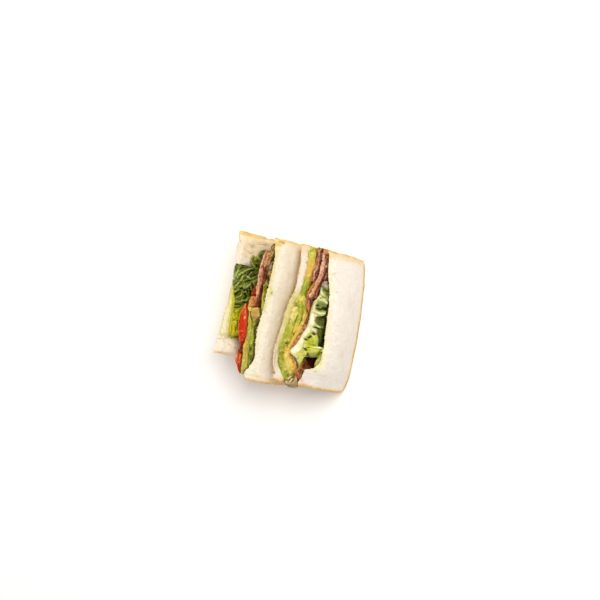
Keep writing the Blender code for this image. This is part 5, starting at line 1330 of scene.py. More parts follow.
# ------------------------------------------------------------- leaves
def stroke(u, v, pts, w, w1=None):
    """Soft line along points (u, v): 1 on it, falling off over its half width, which may change to w1."""
    w1 = w if w1 is None else w1
    pts = np.array(pts, float)
    seg = np.linalg.norm(np.diff(pts, axis=0), axis=1)
    run = np.concatenate([[0], np.cumsum(seg)]) / seg.sum()
    best = np.zeros(len(u))
    for i in range(len(pts) - 1):
        a, b = pts[i], pts[i + 1]
        d = b - a
        t = np.clip(((u - a[0]) * d[0] + (v - a[1]) * d[1]) / (d @ d), 0, 1)
        dist = np.hypot(u - a[0] - t * d[0], v - a[1] - t * d[1])
        width = lerp(w, w1, lerp(run[i], run[i + 1], t))
        best = np.maximum(best, np.exp(-(dist / width) ** 2))
    return best


def strokes(u, v, *items):
    """Strongest of strokes given as (strength, width, end width, points)."""
    total = np.zeros(len(u))
    for k, w, w1, pts in items:
        total = np.maximum(total, k * stroke(u, v, pts, w, w1))
    return total


def spread(L, R, height, du=0.3, dv=0.3, thick=0.6, frill=0.0, frill_size=1.6, seed=0, thin=None):
    """A leaf laid out over the area between two edges as seen, at height(u, v). Keeps u and v as masks.

    L and R are (v, u) pairs; frill makes both of them uneven.
    """
    v0, v1 = max(L[0][0], R[0][0]), min(L[-1][0], R[-1][0])
    nv = max(8, int((v1 - v0) / dv) + 1)
    v = np.linspace(v1, v0, nv)
    left, right = through(v, *L), through(v, *R)
    if frill:
        q = np.stack([v, 0 * v + seed, 0 * v], 1)
        left = left + frill * noise(q, frill_size, seed + 1)
        right = right + frill * noise(q, frill_size, seed + 2)
    nu = max(6, int(np.max(right - left) / du) + 1)
    s = np.linspace(0, 1, nu)[:, None]
    U = lerp(left[None, :], np.maximum(right, left + 0.15)[None, :], s)
    V = np.broadcast_to(v[None, :], U.shape)
    Z = height(U.ravel(), V.ravel()).reshape(U.shape)
    X, Y = spot(U, V, Z)
    m = sheet(np.stack([X, Y, Z], 2), thick if thin is None else thin(U, V))
    m.m.update(u=np.tile(U.ravel(), 2), v=np.tile(V.ravel(), 2))
    return m


def hanging(line, z, share, foot, low=7.0, drop=1.0, thick=0.55, step=1.0, wave=1.2, length=7.0, seed=0, ends=(0.0, 0.0), lean=0.0):
    """A leaf that runs down through the half: its upper edge follows line, (v, u) pairs at z, (v, z) pairs."""
    hz = (lambda v: z[0][1]) if len(z) == 1 else (lambda v: float(through(np.array([v]), *z)[0]))
    lt, zt = seen_line(line, hz), top_line(z)
    y0, y1 = float(spot(0.0, line[-1][0], hz(line[-1][0]))[1]), float(spot(0.0, line[0][0], hz(line[0][0]))[1])
    ny, nt = int((y1 - y0) / step) + 1, int(32 / step)
    t = np.linspace(0, 1, nt)[:, None]
    y = np.linspace(0, 1, ny)[None, :]
    yy = lerp(y0 + ends[1] * (1 - t), y1 - ends[0] * (1 - t), y)
    flat = yy.ravel()
    tt = np.broadcast_to(t, yy.shape).ravel()
    q = np.stack([flat, tt * 30.0, 0 * flat + seed], 1)
    top = zt(flat) - drop * (0.5 + 0.5 * noise(q * np.array([1, 0, 1]), 2.6, seed + 3))
    zz = lerp(low + 0 * flat, top, tt)
    fx = foot(share)(flat)
    x = lerp(fx, lt(flat), tt) + wave * (0.25 + 0.75 * tt) * noise(q, length, seed) + 0.35 * wave * tt * noise(q, length * 0.35, seed + 1) + lean * 4 * tt * (1 - tt)
    centre = np.stack([x.reshape(yy.shape), yy, zz.reshape(yy.shape)], 2)
    m = sheet(centre.transpose(1, 0, 2), thick)
    u, v = seen(m.p)
    m.m = dict(u=u, v=v, up=np.tile(np.broadcast_to(t, yy.shape).T.ravel(), 2), vein=0 * u)
    return m


def leaf_look():
    k = Look("leaf", srgb(104, 128, 40), 0.42, 0.25)
    k.mottle(2.2, (0.88, 0.90, 0.80, 1), (1.10, 1.08, 1.02, 1), detail=4.0)
    web = k.ramp(k.web(2.1), 0.0, 0.07)
    k.lay(k.math("SUBTRACT", 1.0, web), (1.25, 1.25, 1.2, 1.0), "MULTIPLY", amount=0.5)
    k.mottle(0.6, 0.92, 1.06, detail=2.0)
    k.relief(web, 0.06)
    k.relief(k.noise(1.3, 4.0), 0.16)
    k.relief(k.noise(0.4, 2.0), 0.05)
    k.rough(k.noise(1.4, 2.0), 0.32, 0.58)
    return k.done(sss=0.08, radius=(0.8, 1.0, 0.3), scale=1.0, coat=0.05, coat_rough=0.2, bump=0.8)


def under_leaf(h, seed, young=0.0, pale=0.0):
    """Colours of a leaf that hangs down inside a half."""
    c = Coat(h, tone(92, 112, 36), seed, 0.4, 2.0)
    c.blotch(tone(136, 152, 76), 4.0, -0.1, 0.5, 0.8)
    c.blotch(tone(52, 66, 18), 5.0, 0.0, 0.5, 0.8)
    c.on(young, tone(176, 176, 40), True)
    c.on(pale, tone(214, 212, 140), True)
    return c.done()


def a_face_z(u, v):
    """Height at which the line of sight (u, v) meets the left slice's filling side."""
    y = spot(0.0, v, 30.0)[1]
    zt = a_left_z(y)
    k = (_a_left_top(y) - FOOT["a_left"]) / zt + (u - EYE[0]) / EYE[2]
    return np.clip((u - FOOT["a_left"]) / k, 0.0, zt)


BLADE_L = [(-31.8, -53.0), (-29, -53.6), (-24, -53.5), (-20, -52.9), (-15, -52.7), (-10, -52.9), (-5, -52.9), (0, -52.9),
           (5, -53.4), (10, -53.9), (16, -54.2), (22, -54.3), (28, -54.6), (32.6, -54.8)]
RIB_IN = [(-16, -52.9), (-12, -51.8), (-5, -50.8), (0, -50.0), (10, -48.7), (20, -48.0), (27, -47.0), (32, -45.6)]
RIB_OUT = [(-16, -52.4), (-12, -51.2), (-5, -49.4), (0, -47.6), (10, -46.6), (20, -45.4), (27, -44.2), (32, -43.4)]

BLADE_RIDGES = (
    (1.0, 0.75, 0.55, [(-50, -20.5), (-47.5, -24), (-44.5, -27), (-41, -29.3), (-38, -30.4)]),
    (0.7, 0.9, 0.6, [(-53, -24), (-51, -25), (-48.5, -25.6)]),
    (0.9, 1.1, 0.5, [(-52.2, -20.0), (-50.6, -22.5), (-50.3, -25.5), (-49.6, -29.2)]),
    (0.9, 0.7, 0.5, [(-49.5, -12), (-47.7, -16), (-46, -19.5), (-45.2, -22.5), (-43.4, -26)]),
    (0.9, 0.7, 0.6, [(-48.8, -8), (-46.5, -10.8), (-45, -13.4), (-43, -17)]),
    (1.0, 1.5, 1.2, [(-42.5, -13.3), (-40, -15.2), (-37, -17.6), (-33.5, -21)]),
    (0.8, 0.9, 0.6, [(-47.4, -2.6), (-44, -6), (-41.5, -9.2), (-38.8, -11.2)]),
    (0.8, 0.9, 0.6, [(-45.2, -1), (-41.8, -4.4), (-39.2, -8.2)]),
    (1.0, 1.2, 0.9, [(-46.4, 0.0), (-42, -1.6), (-38, -3.5), (-36.3, -6)]),
    (0.8, 0.6, 0.5, [(-46, 10), (-44.2, 7.8), (-42.4, 5.4), (-40.2, 3.2)]),
    (0.7, 0.5, 0.4, [(-44.3, -18.5), (-42.2, -21), (-40.4, -24.8), (-38.4, -27)]),
    (0.6, 0.5, 0.4, [(-40.4, -20.2), (-37.4, -22.6), (-34.2, -24)]),
    (0.8, 0.8, 0.5, [(-43.6, 13.2), (-42, 16), (-40.6, 19.6)]),
    (0.7, 0.6, 0.5, [(-46, 12.2), (-44, 12.8), (-42.6, 14.6)]),
    (0.8, 0.7, 0.5, [(-45.4, 17.4), (-43.4, 16.6), (-41.8, 18.2)]),
    (0.6, 0.7, 0.5, [(-45.2, 28), (-43, 27.0), (-40.4, 29.4)]),
)
BLADE_VALLEYS = (
    (0.8, 0.8, 0.6, [(-53.0, -30.8), (-51.6, -30.6)]), (0.9, 0.7, 0.5, [(-47.6, -30.9), (-45.6, -30.6)]),
    (0.6, 0.7, 0.6, [(-52, -27.6), (-51.2, -24.4)]), (0.7, 0.8, 0.6, [(-48.8, -27.6), (-46.4, -29.4)]),
    (0.7, 0.9, 0.7, [(-48.4, -19.6), (-46.6, -23), (-43.6, -25.4)]),
    (0.9, 0.9, 1.2, [(-43.2, -20.5), (-42, -23), (-40, -27.5), (-37.6, -28.8)]),
    (1.0, 0.9, 0.7, [(-45.4, -11.6), (-42.8, -12.2), (-40.6, -11.0)]), (1.0, 1.2, 0.9, [(-39.6, -12.2), (-38, -10.2)]),
    (1.0, 0.8, 0.6, [(-40.2, -8.6), (-38.6, -5.6)]), (1.0, 0.9, 0.6, [(-49.2, -5.6), (-47, -6.9), (-45, -9.2)]),
    (0.7, 0.6, 0.5, [(-46.4, -2.6), (-43, -5.4)]), (0.7, 0.6, 0.5, [(-44.2, -2.2), (-41, -5.8)]),
    (0.9, 0.7, 0.6, [(-40.4, -18.8), (-37.6, -20.4), (-34.6, -22.6)]), (0.8, 0.8, 0.8, [(-38.6, -23.4), (-35.5, -25.6), (-33, -26.5)]),
    (1.0, 1.1, 0.8, [(-36.4, -17), (-35.2, -14.6)]), (1.0, 1.0, 0.9, [(-37.4, -13.6), (-36, -10.4), (-35.6, -7.4)]),
    (0.9, 1.0, 0.7, [(-52.2, -13.4), (-50.6, -13.2), (-49.6, -15.2)]), (0.7, 0.7, 0.5, [(-50.4, -9.6), (-48.6, -11.6)]),
    (1.0, 1.0, 0.7, [(-48, 2.2), (-45.4, 2.0), (-43, 1.2)]), (1.0, 1.0, 0.7, [(-46.8, 4.8), (-44.4, 4.6), (-42.2, 3.0)]),
    (0.9, 0.7, 0.6, [(-39.8, -0.8), (-37.2, -1.2), (-35.9, -2.6)]), (0.8, 0.7, 0.6, [(-40.8, -3), (-38.8, -5.4)]),
    (0.6, 0.7, 0.5, [(-46.4, 7.6), (-44.6, 10.4)]), (0.6, 0.8, 0.6, [(-42.4, 20), (-41.6, 23.6)]), (0.6, 0.6, 0.5, [(-45, 15.2), (-43.4, 15.0)]),
    (0.5, 0.8, 0.6, [(-44.8, 19.6), (-43.8, 24.4)]), (0.5, 0.7, 0.5, [(-41.8, 8), (-41.6, 12)]),
)


def blade_height(u, v):
    r = u - through(v, *BLADE_L)
    base = through(r, (0.0, 34.6), (0.5, 36.9), (1.3, 38.4), (2.8, 38.9), (6, 37.2), (10, 34.6), (14, 32.0), (17, 30.2), (20, 28.4), (24, 25.0))
    rib = smooth(0.6, -0.6, u - through(v, *RIB_OUT)) * smooth(-17, -8, v)
    q = np.stack([u, v, 0 * u], 1)
    soft = smooth(0.3, 2.0, r)
    a, b = blade_warp(u, v)
    young = smooth(2, 14, v)
    big, small = blade_nets(u, v)
    bumps = 0.8 * noise(q, 4.2, 601) + 0.3 * noise(q, 1.9, 602) + 0.12 * noise(q, 0.9, 603)
    crinkle = 1.25 * np.sqrt(big) + 0.45 * np.sqrt(small) - 1.0
    z = base + (1 - rib) * soft * (1.0 * strokes(a, b, *BLADE_RIDGES) - 2.4 * strokes(a, b, *BLADE_VALLEYS) + bumps + crinkle * (1 - 0.35 * young))
    grooves = 0.10 * np.sin((u - through(v, *RIB_IN)) * 4.0 + 0.4 * noise(q, 9.0, 604))
    z = z + rib * (0.8 * smooth(0.0, 1.6, r) + 0.25 * noise(q, 7.0, 605) + grooves)
    z = z - 1.0 * smooth(-30.8, -31.8, v)
    # its near end lies flat and sinks into the crumb
    face, w = a_face_z(u, v), v + 0.6 * noise(q, 3.0, 608) + 0.18 * (u + 46)
    z = lerp(z, face + 0.6, smooth(25.5, 31.0, w) * 0.94)
    return np.maximum(z, face + 0.45) - 3.0 * smooth(31.4, 33.4, w)


def blade_warp(u, v):
    q = np.stack([u, v, 0 * u], 1)
    return (u + 0.8 * noise(q, 3.6, 606) + 0.35 * noise(q, 1.5, 607), v + 0.8 * noise(q, 3.6, 608) + 0.35 * noise(q, 1.5, 609))


def blade_nets(u, v):
    """Crinkles between the side veins, which run up and to the right from the rib."""
    a, b = blade_warp(u, v)
    return net(a, b, 2.7, 2.3, -46, 615)[0], net(a, b, 1.35, 1.7, -40, 617)[0]


def make_lettuce_a(look):
    R = [(-31.6, -31), (-20, -31), (-5, -33), (5, -33.5), (20, -34), (32.4, -37.4)]
    m = spread(BLADE_L, R, blade_height, du=0.3, dv=0.3, thick=0.7, frill=0.3, frill_size=1.8, seed=611)
    u, v = m.m["u"], m.m["v"]
    q = np.stack([u, v, 0 * u], 1)
    a, b = blade_warp(u, v)
    big, small = blade_nets(u, v)
    ridge, valley = strokes(a, b, *BLADE_RIDGES), strokes(a, b, *BLADE_VALLEYS)
    core = strokes(a, b, *[(k, 0.42 * w, 0.3 * w1, pts) for k, w, w1, pts in BLADE_RIDGES])
    young = smooth(1.5, 12, v + 0.5 * (u + 44))
    c = Coat(m, tone(106, 118, 26), 620, 0.4, 1.4, uv=(u, v))
    c.blotch(tone(142, 152, 62), 5.0, -0.15, 0.4, 0.85, (1.7, 0.8, 1))
    c.blotch(tone(68, 78, 10), 3.2, 0.1, 0.55, 0.75, (1.3, 0.9, 1))
    c.spot(tone(150, 164, 92), (-48.6, -22.4, 3.4, 1.8, 0.6), (-51.6, -22, 1.6, 2.6, 0.5), (-50.6, -17.6, 1.2, 1.2, 0.4), (-46.6, -26.4, 2.6, 1.8, 0.35))
    c.spot(tone(146, 164, 98), (-39.4, -15.0, 3.6, 1.5, 0.85), (-42.4, -13.6, 2.0, 1.2, 0.7), (-35.4, -19, 2.2, 1.4, 0.6))
    c.spot(tone(70, 80, 16), (-37.4, -27.4, 3.4, 2.6, 0.8), (-40.8, -21.6, 2.6, 1.6, 0.6), (-44.6, -17, 2.4, 1.6, 0.4), (-51.8, -27.6, 1.8, 2.0, 0.6), (-45.4, -29.6, 2, 1, 0.6))
    # ridges and their cores painted lighter, crinkle grooves and valleys darker: partly the veins' own paler colour,
    # partly painted light on the crests and painted shade in the hollows
    c.on(0.75 * smooth(0.75, 1.0, ridge) * 1.0 + 0.5 * ridge, tone(146, 158, 68))
    c.on(0.8 * core * smooth(-2, -10, v) + 0.4 * core, tone(184, 192, 110))
    c.on(0.55 * smooth(0.26, 0.02, big), tone(52, 60, 4))
    c.on(0.25 * smooth(0.25, 0.0, small), tone(62, 70, 8))
    c.on(smooth(0.15, 0.85, valley) * 0.9, tone(32, 38, 2))
    c.spot(tone(96, 60, 16), (-42.3, -18.2, 1.5, 0.5, 0.6), (-48.8, -11.0, 0.9, 0.5, 0.7), (-45.0, -13.8, 0.7, 0.5, 0.3))
    # the young part: yellow-green, fading into the bread; its darker grooves and olive spots are painted shade, its
    # lighter veins and pale spots are partly painted highlights
    c.on(young * (0.95 - 0.5 * smooth(0.3, 0.9, valley)), tone(206, 204, 18, 0.92))
    c.on(young * 0.4 * smooth(0.35, 0.05, big), tone(128, 126, 6))
    c.on(young * 0.6 * core, tone(226, 220, 96, 1.05))
    c.spot(tone(232, 222, 106, 1.0), (-44.8, 18.2, 2.0, 1.2, 0.85), (-45.8, 11.4, 1.6, 1.2, 0.6), (-43.6, 14.4, 0.6, 1.6, 0.4), (-40.6, 26.6, 0.9, 1.6, 0.4))
    c.spot(tone(222, 206, 26, 1.0), (-44.4, 22.6, 1.8, 2.6, 0.85), (-43.4, 26.6, 1.6, 1.4, 0.7))
    c.spot(tone(122, 116, 8), (-41.4, 22.4, 0.8, 2.6, 0.9), (-44.0, 14.6, 1.6, 0.8, 0.6), (-42.0, 25.4, 1.0, 1.0, 0.4), (-46.6, 9.0, 1.4, 0.9, 0.4))
    c.line(tone(150, 178, 40), (0.8, 0.7, 0.5, [(-43.6, 12), (-42, 15.6), (-40.6, 20)]))
    c.spot(tone(228, 208, 120), (-44.6, 29.8, 2.2, 1.8, 0.7))
    c.spot(tone(250, 236, 70, 0.8), (-41.6, 28.6, 3.4, 2.6, 0.85), (-39.6, 30.4, 2.4, 1.4, 0.7))
    c.on(smooth(29.4, 31.6, v + 0.2 * (u + 44)) * 0.95, tone(252, 230, 202, 0.84))
    # the rib, with the yellow line beside it
    rib_in, rib_out = u - through(v, *RIB_IN), u - through(v, *RIB_OUT)
    on = smooth(-19, -8, v)
    c.on(smooth(1.1, -0.3, rib_out) * on * 0.95, tone(204, 196, 62))
    c.on(smooth(0.9, -0.7, rib_in) * on, tone(236, 224, 158))
    c.on(smooth(-0.6, -2.4, rib_in) * on * smooth(-4, 14, v), tone(244, 232, 190))
    c.on(smooth(28.5, 32.0, v) * smooth(0.6, -1, rib_out) * 0.9, tone(252, 236, 210, 0.94))
    c.on(0.25 * smooth(0.2, 0.7, noise(q * np.array([1, 0.15, 1]), 0.9, 622)) * smooth(0.5, -1, rib_in) * on, tone(212, 196, 120))
    c.spot(tone(224, 184, 100), (-52.7, -6, 0.9, 6, 0.95))
    # near-white dots: painted highlights
    c.spot(tone(250, 244, 226), (-41.7, -23.0, 1.0, 0.55, 1.0), (-52.4, -18.6, 0.8, 0.6, 1.0), (-40.4, -22.2, 0.5, 0.4, 0.6))
    c.spot(tone(110, 92, 60), (-53.2, 16.4, 0.5, 0.4, 0.8))
    blade = c.done()
    # leaves below it, standing between the slice and the tomato
    for k, (sh, top, ends) in enumerate(((0.06, [(-29, -45.5), (0, -45.0), (30, -45.5)], (3, 4)), (0.15, [(-26, -41.5), (0, -41.0), (28, -41.5)], (1, 2)),
                                         (0.25, [(-29, -38.0), (0, -38.5), (29, -40.0)], (4, 1)), (0.34, [(-27, -35.5), (-12, -36.0), (-4, -37.0)], (2, 3)))):
        z = [(-29, 33.0 - 2.6 * k), (0, 32.5 - 2.6 * k), (30, 33.5 - 2.6 * k)]
        h = hanging(top, z, sh, a_foot, low=5.0, seed=620 + 7 * k, ends=ends, lean=1.0)
        uu, vv = h.m["u"], h.m["v"]
        blade.join(under_leaf(h, 640 + 3 * k, young=0.6 * smooth(10, 30, vv)))
    blade.write("lettuce_a", look, "leaf_green", "a_lettuce")


def make_curl(look):
    def lobe(u, v, lift, seed, *bumps):
        q = np.stack([u, v, 0 * u], 1)
        z = a_face_z(u, v) + lift + 0.9 * noise(q, 3.0, seed) + 0.35 * noise(q, 1.3, seed + 1)
        for cu, cv, ru, rv, k in bumps:
            z = z + k * np.exp(-(((u - cu) / ru) ** 2 + ((v - cv) / rv) ** 2))
        return z
    a = spread([(-48.4, -31.6), (-47.4, -33.2), (-46.2, -35.0), (-44.8, -35.9), (-43, -36.2), (-41.4, -35.3), (-40.2, -34.2), (-38.6, -33.2), (-36.5, -32.2)],
               [(-48.4, -30.6), (-46, -29.8), (-36.5, -30.2)], lambda u, v: lobe(u, v, 5.0, 661, (-35.2, -44, 1.0, 2.0, 1.6), (-32.6, -47, 1.6, 0.8, 1.4), (-33, -42.6, 0.9, 1.8, -1.8)),
               du=0.25, dv=0.22, thick=0.55, frill=0.5, frill_size=1.5, seed=663)
    def green(m, seed):
        c = Coat(m, tone(140, 150, 42), seed, 0.3, 1.4, uv=(m.m["u"], m.m["v"]))
        c.blotch(tone(182, 188, 90), 2.4, 0.0, 0.5, 0.75)
        c.blotch(tone(82, 92, 12), 2.0, 0.15, 0.5, 0.7)
        edge = 1 - np.clip(net(c.u, c.v, 1.7, 1.4, 60, seed + 3)[0] / 0.3, 0, 1)
        return c.on(0.35 * edge, tone(70, 82, 10))
    c = green(a, 662)
    # dark spots in the lobe's dips: painted shade; lighter spots on its bumps: painted light
    c.spot(tone(40, 50, 6), (-33.4, -42.2, 1.2, 1.6, 0.9), (-34.2, -46, 0.5, 0.5, 0.6), (-31.8, -45.0, 0.6, 1.0, 0.7), (-32.6, -40.4, 0.8, 0.6, 0.7))
    c.spot(tone(148, 154, 78), (-35.3, -44.2, 0.7, 1.4, 0.8), (-32.4, -47.6, 1.4, 0.5, 0.8), (-34.6, -46.9, 0.9, 0.4, 0.5))
    a = c.done()
    b = spread([(-41.2, -40.9), (-40, -41.4), (-38, -41.8), (-36, -41.6), (-34.6, -40.8), (-33.2, -39.8), (-31.6, -38.2), (-30, -36.6), (-28.4, -35.0), (-26.8, -33.6)],
               [(-41.2, -39.4), (-39.8, -38.6), (-38, -35.5), (-36, -33.6), (-34, -32.6), (-30, -31.4), (-26.8, -31.0)],
               lambda u, v: lobe(u, v, 4.5, 671, (-40.6, -39.0, 1.2, 2.0, 1.2), (-35.6, -33.0, 1.0, 1.2, -1.6), (-38.4, -37, .7, 2.4, -1.2)) + 0.9 * stroke(u, v, [(-41.2, -36.2), (-39, -33.0), (-36.6, -30.8), (-33.6, -28.2)], 0.7),
               du=0.25, dv=0.22, thick=0.55, frill=0.45, frill_size=1.5, seed=673)
    c = green(b, 672)
    # dark spots in the lobe's dips: painted shade; lighter spots and line on its bump and ridge: painted light
    c.spot(tone(36, 44, 6), (-38.4, -38.4, 0.5, 1.8, 0.6), (-35.6, -33.4, 1.1, 1.1, 1.0), (-33.4, -31.8, 0.7, 1.5, 0.9), (-36.8, -33.8, 0.8, 0.5, 0.7))
    c.spot(tone(152, 158, 80), (-40.2, -37.0, 0.8, 2.6, 0.8), (-41.0, -39.6, 0.7, 0.8, 0.6))
    c.line(tone(176, 182, 108), (1.0, 0.5, 0.7, [(-41.2, -36.4), (-39.2, -33.2), (-36.8, -30.9), (-33.6, -28.2)]))
    a.join(c.done())
    lobe3 = spread([(-40.7, -38.4), (-40.0, -38.9), (-38.6, -39.0), (-37, -38.6), (-35, -37.4), (-33.4, -35.0)],
               [(-40.7, -36.0), (-40.1, -34.9), (-39.2, -33.4), (-38, -31.8), (-35, -31.2), (-33.4, -31.4)],
               lambda u, v: lobe(u, v, 6.0, 681, (-36.8, -38.4, 1.8, 1.6, 1.8), (-34.8, -36.0, 1.2, 1.0, -0.8)) + 0.8 * stroke(u, v, [(-35.4, -39.6), (-33.6, -38.4), (-32.2, -37.6)], 0.5),
               du=0.25, dv=0.22, thick=0.55, frill=0.4, frill_size=1.4, seed=683)
    c = green(lobe3, 682)
    # lighter line on its ridge and lighter spot on its bump: painted light; dark spots in its dip: painted shade
    c.line(tone(164, 170, 92), (0.9, 0.4, 0.4, [(-35.4, -39.7), (-33.6, -38.5), (-32.2, -37.8)]))
    c.spot(tone(124, 134, 50), (-37.0, -37.2, 1.4, 1.4, 0.6))
    c.spot(tone(36, 44, 6), (-33.6, -35.0, 1.2, 0.9, 0.9), (-35.2, -34.2, 1.4, 0.6, 0.8))
    a.join(c.done())
    for k, (sh, line, z) in enumerate(((0.28, [(-46, -33.5), (-38, -35.5), (-30, -35.0)], 24), (0.36, [(-47, -31.5), (-38, -33.5), (-29, -33.2)], 22))):
        h = hanging(line, [(-40, z)], sh, a_foot, low=7.0, seed=690 + 5 * k, ends=(5, 1), wave=0.9)
        a.join(under_leaf(h, 695 + 4 * k))
    a.write("lettuce_a_curl", look, "leaf_green", "a_lettuce_curl")


def make_dark_leaf(look):
    L = [(-52, -27.4), (-48, -27.4), (-44, -28.0), (-38, -28.4), (-30, -27.4), (-22, -27.2), (-16, -27.0), (-10, -26.8), (-5, -26.0), (-2.6, -25.2)]
    R = [(-52, -24.8), (-48, -23.8), (-44, -23.4), (-38, -22.9), (-30, -22.7), (-22, -22.7), (-16, -22.7), (-10, -22.7), (-5, -22.8), (-2.6, -23.4)]

    def height(u, v):
        q = np.stack([u, v, 0 * u], 1)
        s = (u - through(v, *L)) / np.maximum(through(v, *R) - through(v, *L), 0.5)
        z = 37.5 + 2.2 * s + 1.1 * noise(q, 3.2, 701) + 0.5 * noise(q, 1.4, 702)
        z = z - 2.6 * strokes(u, v, (1, 0.9, 0.7, [(-26.4, -50), (-25.8, -46.4)]), (1, 0.8, 0.8, [(-23.7, -44), (-24.2, -40)]), (0.9, 0.7, 0.7, [(-27.4, -34), (-26.6, -31)]),
                              (0.9, 0.9, 0.8, [(-24.6, -27), (-23.4, -22)]), (0.9, 0.8, 0.6, [(-24.0, -17), (-23.4, -8)]))
        return z + 1.4 * strokes(u, v, (1, 0.5, 0.5, [(-25.2, -43.6), (-26.6, -38), (-27.0, -33)]), (1, 1.0, 0.8, [(-24, -38.4), (-24.4, -33)]), (0.8, 0.8, 0.8, [(-26.2, -25), (-25.6, -20)])) - 2.5 * smooth(0.85, 1.0, s)
    m = spread(L, R, height, du=0.3, dv=0.3, thick=0.5, frill=0.4, frill_size=2.0, seed=703)
    u, v = m.m["u"], m.m["v"]
    q = np.stack([u, v, 0 * u], 1)
    c = Coat(m, tone(176, 162, 90), 704, 0.4, 1.4, uv=(u, v))
    c.blotch(tone(214, 194, 124), 2.4, 0.0, 0.5, 0.7)
    c.blotch(tone(96, 88, 30), 2.0, 0.15, 0.5, 0.7)
    c.on(smooth(-37, -43, v) * 0.9, tone(176, 140, 76))
    c.on(smooth(-37, -43, v) * smooth(0.0, 0.4, noise(q, 1.6, 706)) * 0.8, tone(112, 84, 26))
    c.spot(tone(206, 184, 96), (-24.6, -46.6, 0.7, 1.4, 0.8), (-26.4, -44.6, 0.7, 1.4, 0.5))
    # light lines along the raised creases: painted light
    c.line(tone(206, 176, 116), (0.9, 0.5, 0.5, [(-25.0, -43.4), (-26.6, -39.6), (-27.4, -35.0)]), (0.7, 0.4, 0.4, [(-25.6, -38.6), (-26.8, -34.4)]))
    c.spot(tone(168, 152, 132), (-24.2, -35.8, 1.6, 2.6, 0.95), (-25.4, -32.4, 1.6, 1.2, 0.7), (-23.4, -38.2, 0.8, 1.4, 0.7))
    c.spot(tone(198, 184, 166), (-23.8, -35.0, 0.7, 1.0, 0.8), (-24.6, -33.0, 0.6, 0.5, 0.6))
    # dark lines along the dips: painted shade
    c.line(tone(60, 44, 16), (1.0, 0.8, 0.6, [(-23.4, -44.4), (-23.8, -41), (-25.0, -38.6)]), (0.9, 0.5, 0.4, [(-26.2, -50), (-25.2, -47.4)]), (0.8, 0.6, 0.5, [(-27.4, -36), (-27.0, -31)]),
           (0.7, 0.6, 0.5, [(-24.8, -37.4), (-25.6, -34.8)]), (0.6, 0.4, 0.4, [(-22.4, -34), (-22.8, -32)]))
    c.line(tone(46, 52, 18), (0.9, 0.9, 0.8, [(-24.4, -27), (-23.4, -21.6)]), (0.9, 0.9, 0.7, [(-23.4, -18), (-23.6, -12), (-23.8, -6)]), (0.7, 0.5, 0.5, [(-22.0, -27), (-22.2, -22)]), (0.6, 0.6, 0.5, [(-26.6, -29.6), (-26.8, -24.6)]))
    c.spot(tone(222, 172, 96), (-22.8, -29.4, 0.9, 1.1, 0.9))
    c.line(tone(160, 158, 56), (0.9, 0.7, 0.6, [(-26.6, -21), (-26.4, -15), (-25.6, -10), (-25.0, -5)]))
    c.spot(tone(188, 190, 130), (-24.8, -12.0, 0.6, 0.8, 0.7), (-25.4, -17, 0.5, 1.6, 0.4), (-24.2, -20.4, 0.6, 0.6, 0.6))
    leaf = c.done()
    for k, (sh, line) in enumerate(((0.83, [(-50, -26.0), (-30, -26.0), (-4, -25.2)]), (0.92, [(-48, -23.8), (-30, -22.6), (-4, -23.2)]))):
        h = hanging(line, [(-50, 38.5), (-4, 38.5)], sh, a_foot, low=7.0, seed=710 + 7 * k, ends=(2, 2), wave=0.7)
        leaf.join(under_leaf(h, 715 + 4 * k))
    leaf.write("leaf_a_dark", look, "leaf_green", "a_leaf_dark")


RIB_B_L = [(-27.4, 20.4), (-24, 20.6), (-20, 20.2), (-17, 18.6), (-14, 17.0), (-10, 16.6), (-5, 16.3), (0, 16.5), (5, 16.3), (10, 15.0), (15, 13.0), (20, 11.5), (25, 9.3), (29.5, 6.4),
           (31, 6.8), (32.5, 8.2), (34, 11.0), (36, 13.0), (38, 14.4), (39.8, 15.6)]
RIB_B_R = [(-27.4, 24), (-24, 27.6), (-20, 28.2), (-16, 28.6), (-12, 29.2), (-8, 29.0), (-5.6, 28.6), (-4, 26), (-2.6, 22.6), (-1, 21.7), (1, 21.7), (3, 22.8), (4.4, 25), (5.4, 27.8), (6.2, 27.6), (7.4, 26), (9, 25.4), (11, 25.6),
           (13, 26.6), (16, 27.8), (19, 28.2), (21.2, 28.4), (22, 33.0), (24, 32.8), (26, 32.2), (28.4, 31.4), (30.2, 29.6), (31.2, 26), (31.6, 20.6), (33, 19.2), (36, 18.4), (39.8, 17.2)]


B_FOLDS = (     # raised folds of the pale leaf: height, half widths, points
    (1.5, 1.0, 0.8, [(20.6, -26.4), (21.4, -23.4), (22.8, -21.6), (25.6, -20.8)]), (1.9, 1.5, 1.0, [(19.6, -18.6), (22.2, -16.8), (25.2, -17.4), (28.4, -15.2)]),
    (1.9, 1.3, 0.9, [(18.6, -6.8), (21.6, -6.2), (25, -5.7), (28.4, -6.9)]), (1.2, 0.9, 0.7, [(21.3, -3.2), (21.1, 0), (22.3, 3.2), (24.6, 4.9), (28.4, 5.2)]),
    (1.8, 1.5, 1.0, [(19.8, 6.0), (21.2, 8.6), (23.6, 9.4), (25.4, 11.0)]), (1.0, 0.7, 0.6, [(24.8, 12.0), (26.8, 14.6), (27.7, 17.6), (27.8, 20.4)]),
    (1.2, 0.8, 0.6, [(22.6, 22.4), (25, 22.9), (27.6, 22.7), (30, 22.5), (33, 21.3)]), (1.0, 1.6, 1.2, [(21, 24.8), (25, 25.6), (29, 25.2)]),
    (0.7, 1.0, 0.8, [(17.2, 20.5), (17.8, 24), (17.0, 28)]), (0.6, 0.9, 0.6, [(9, 30.4), (13, 33.2), (16, 37)]),
)
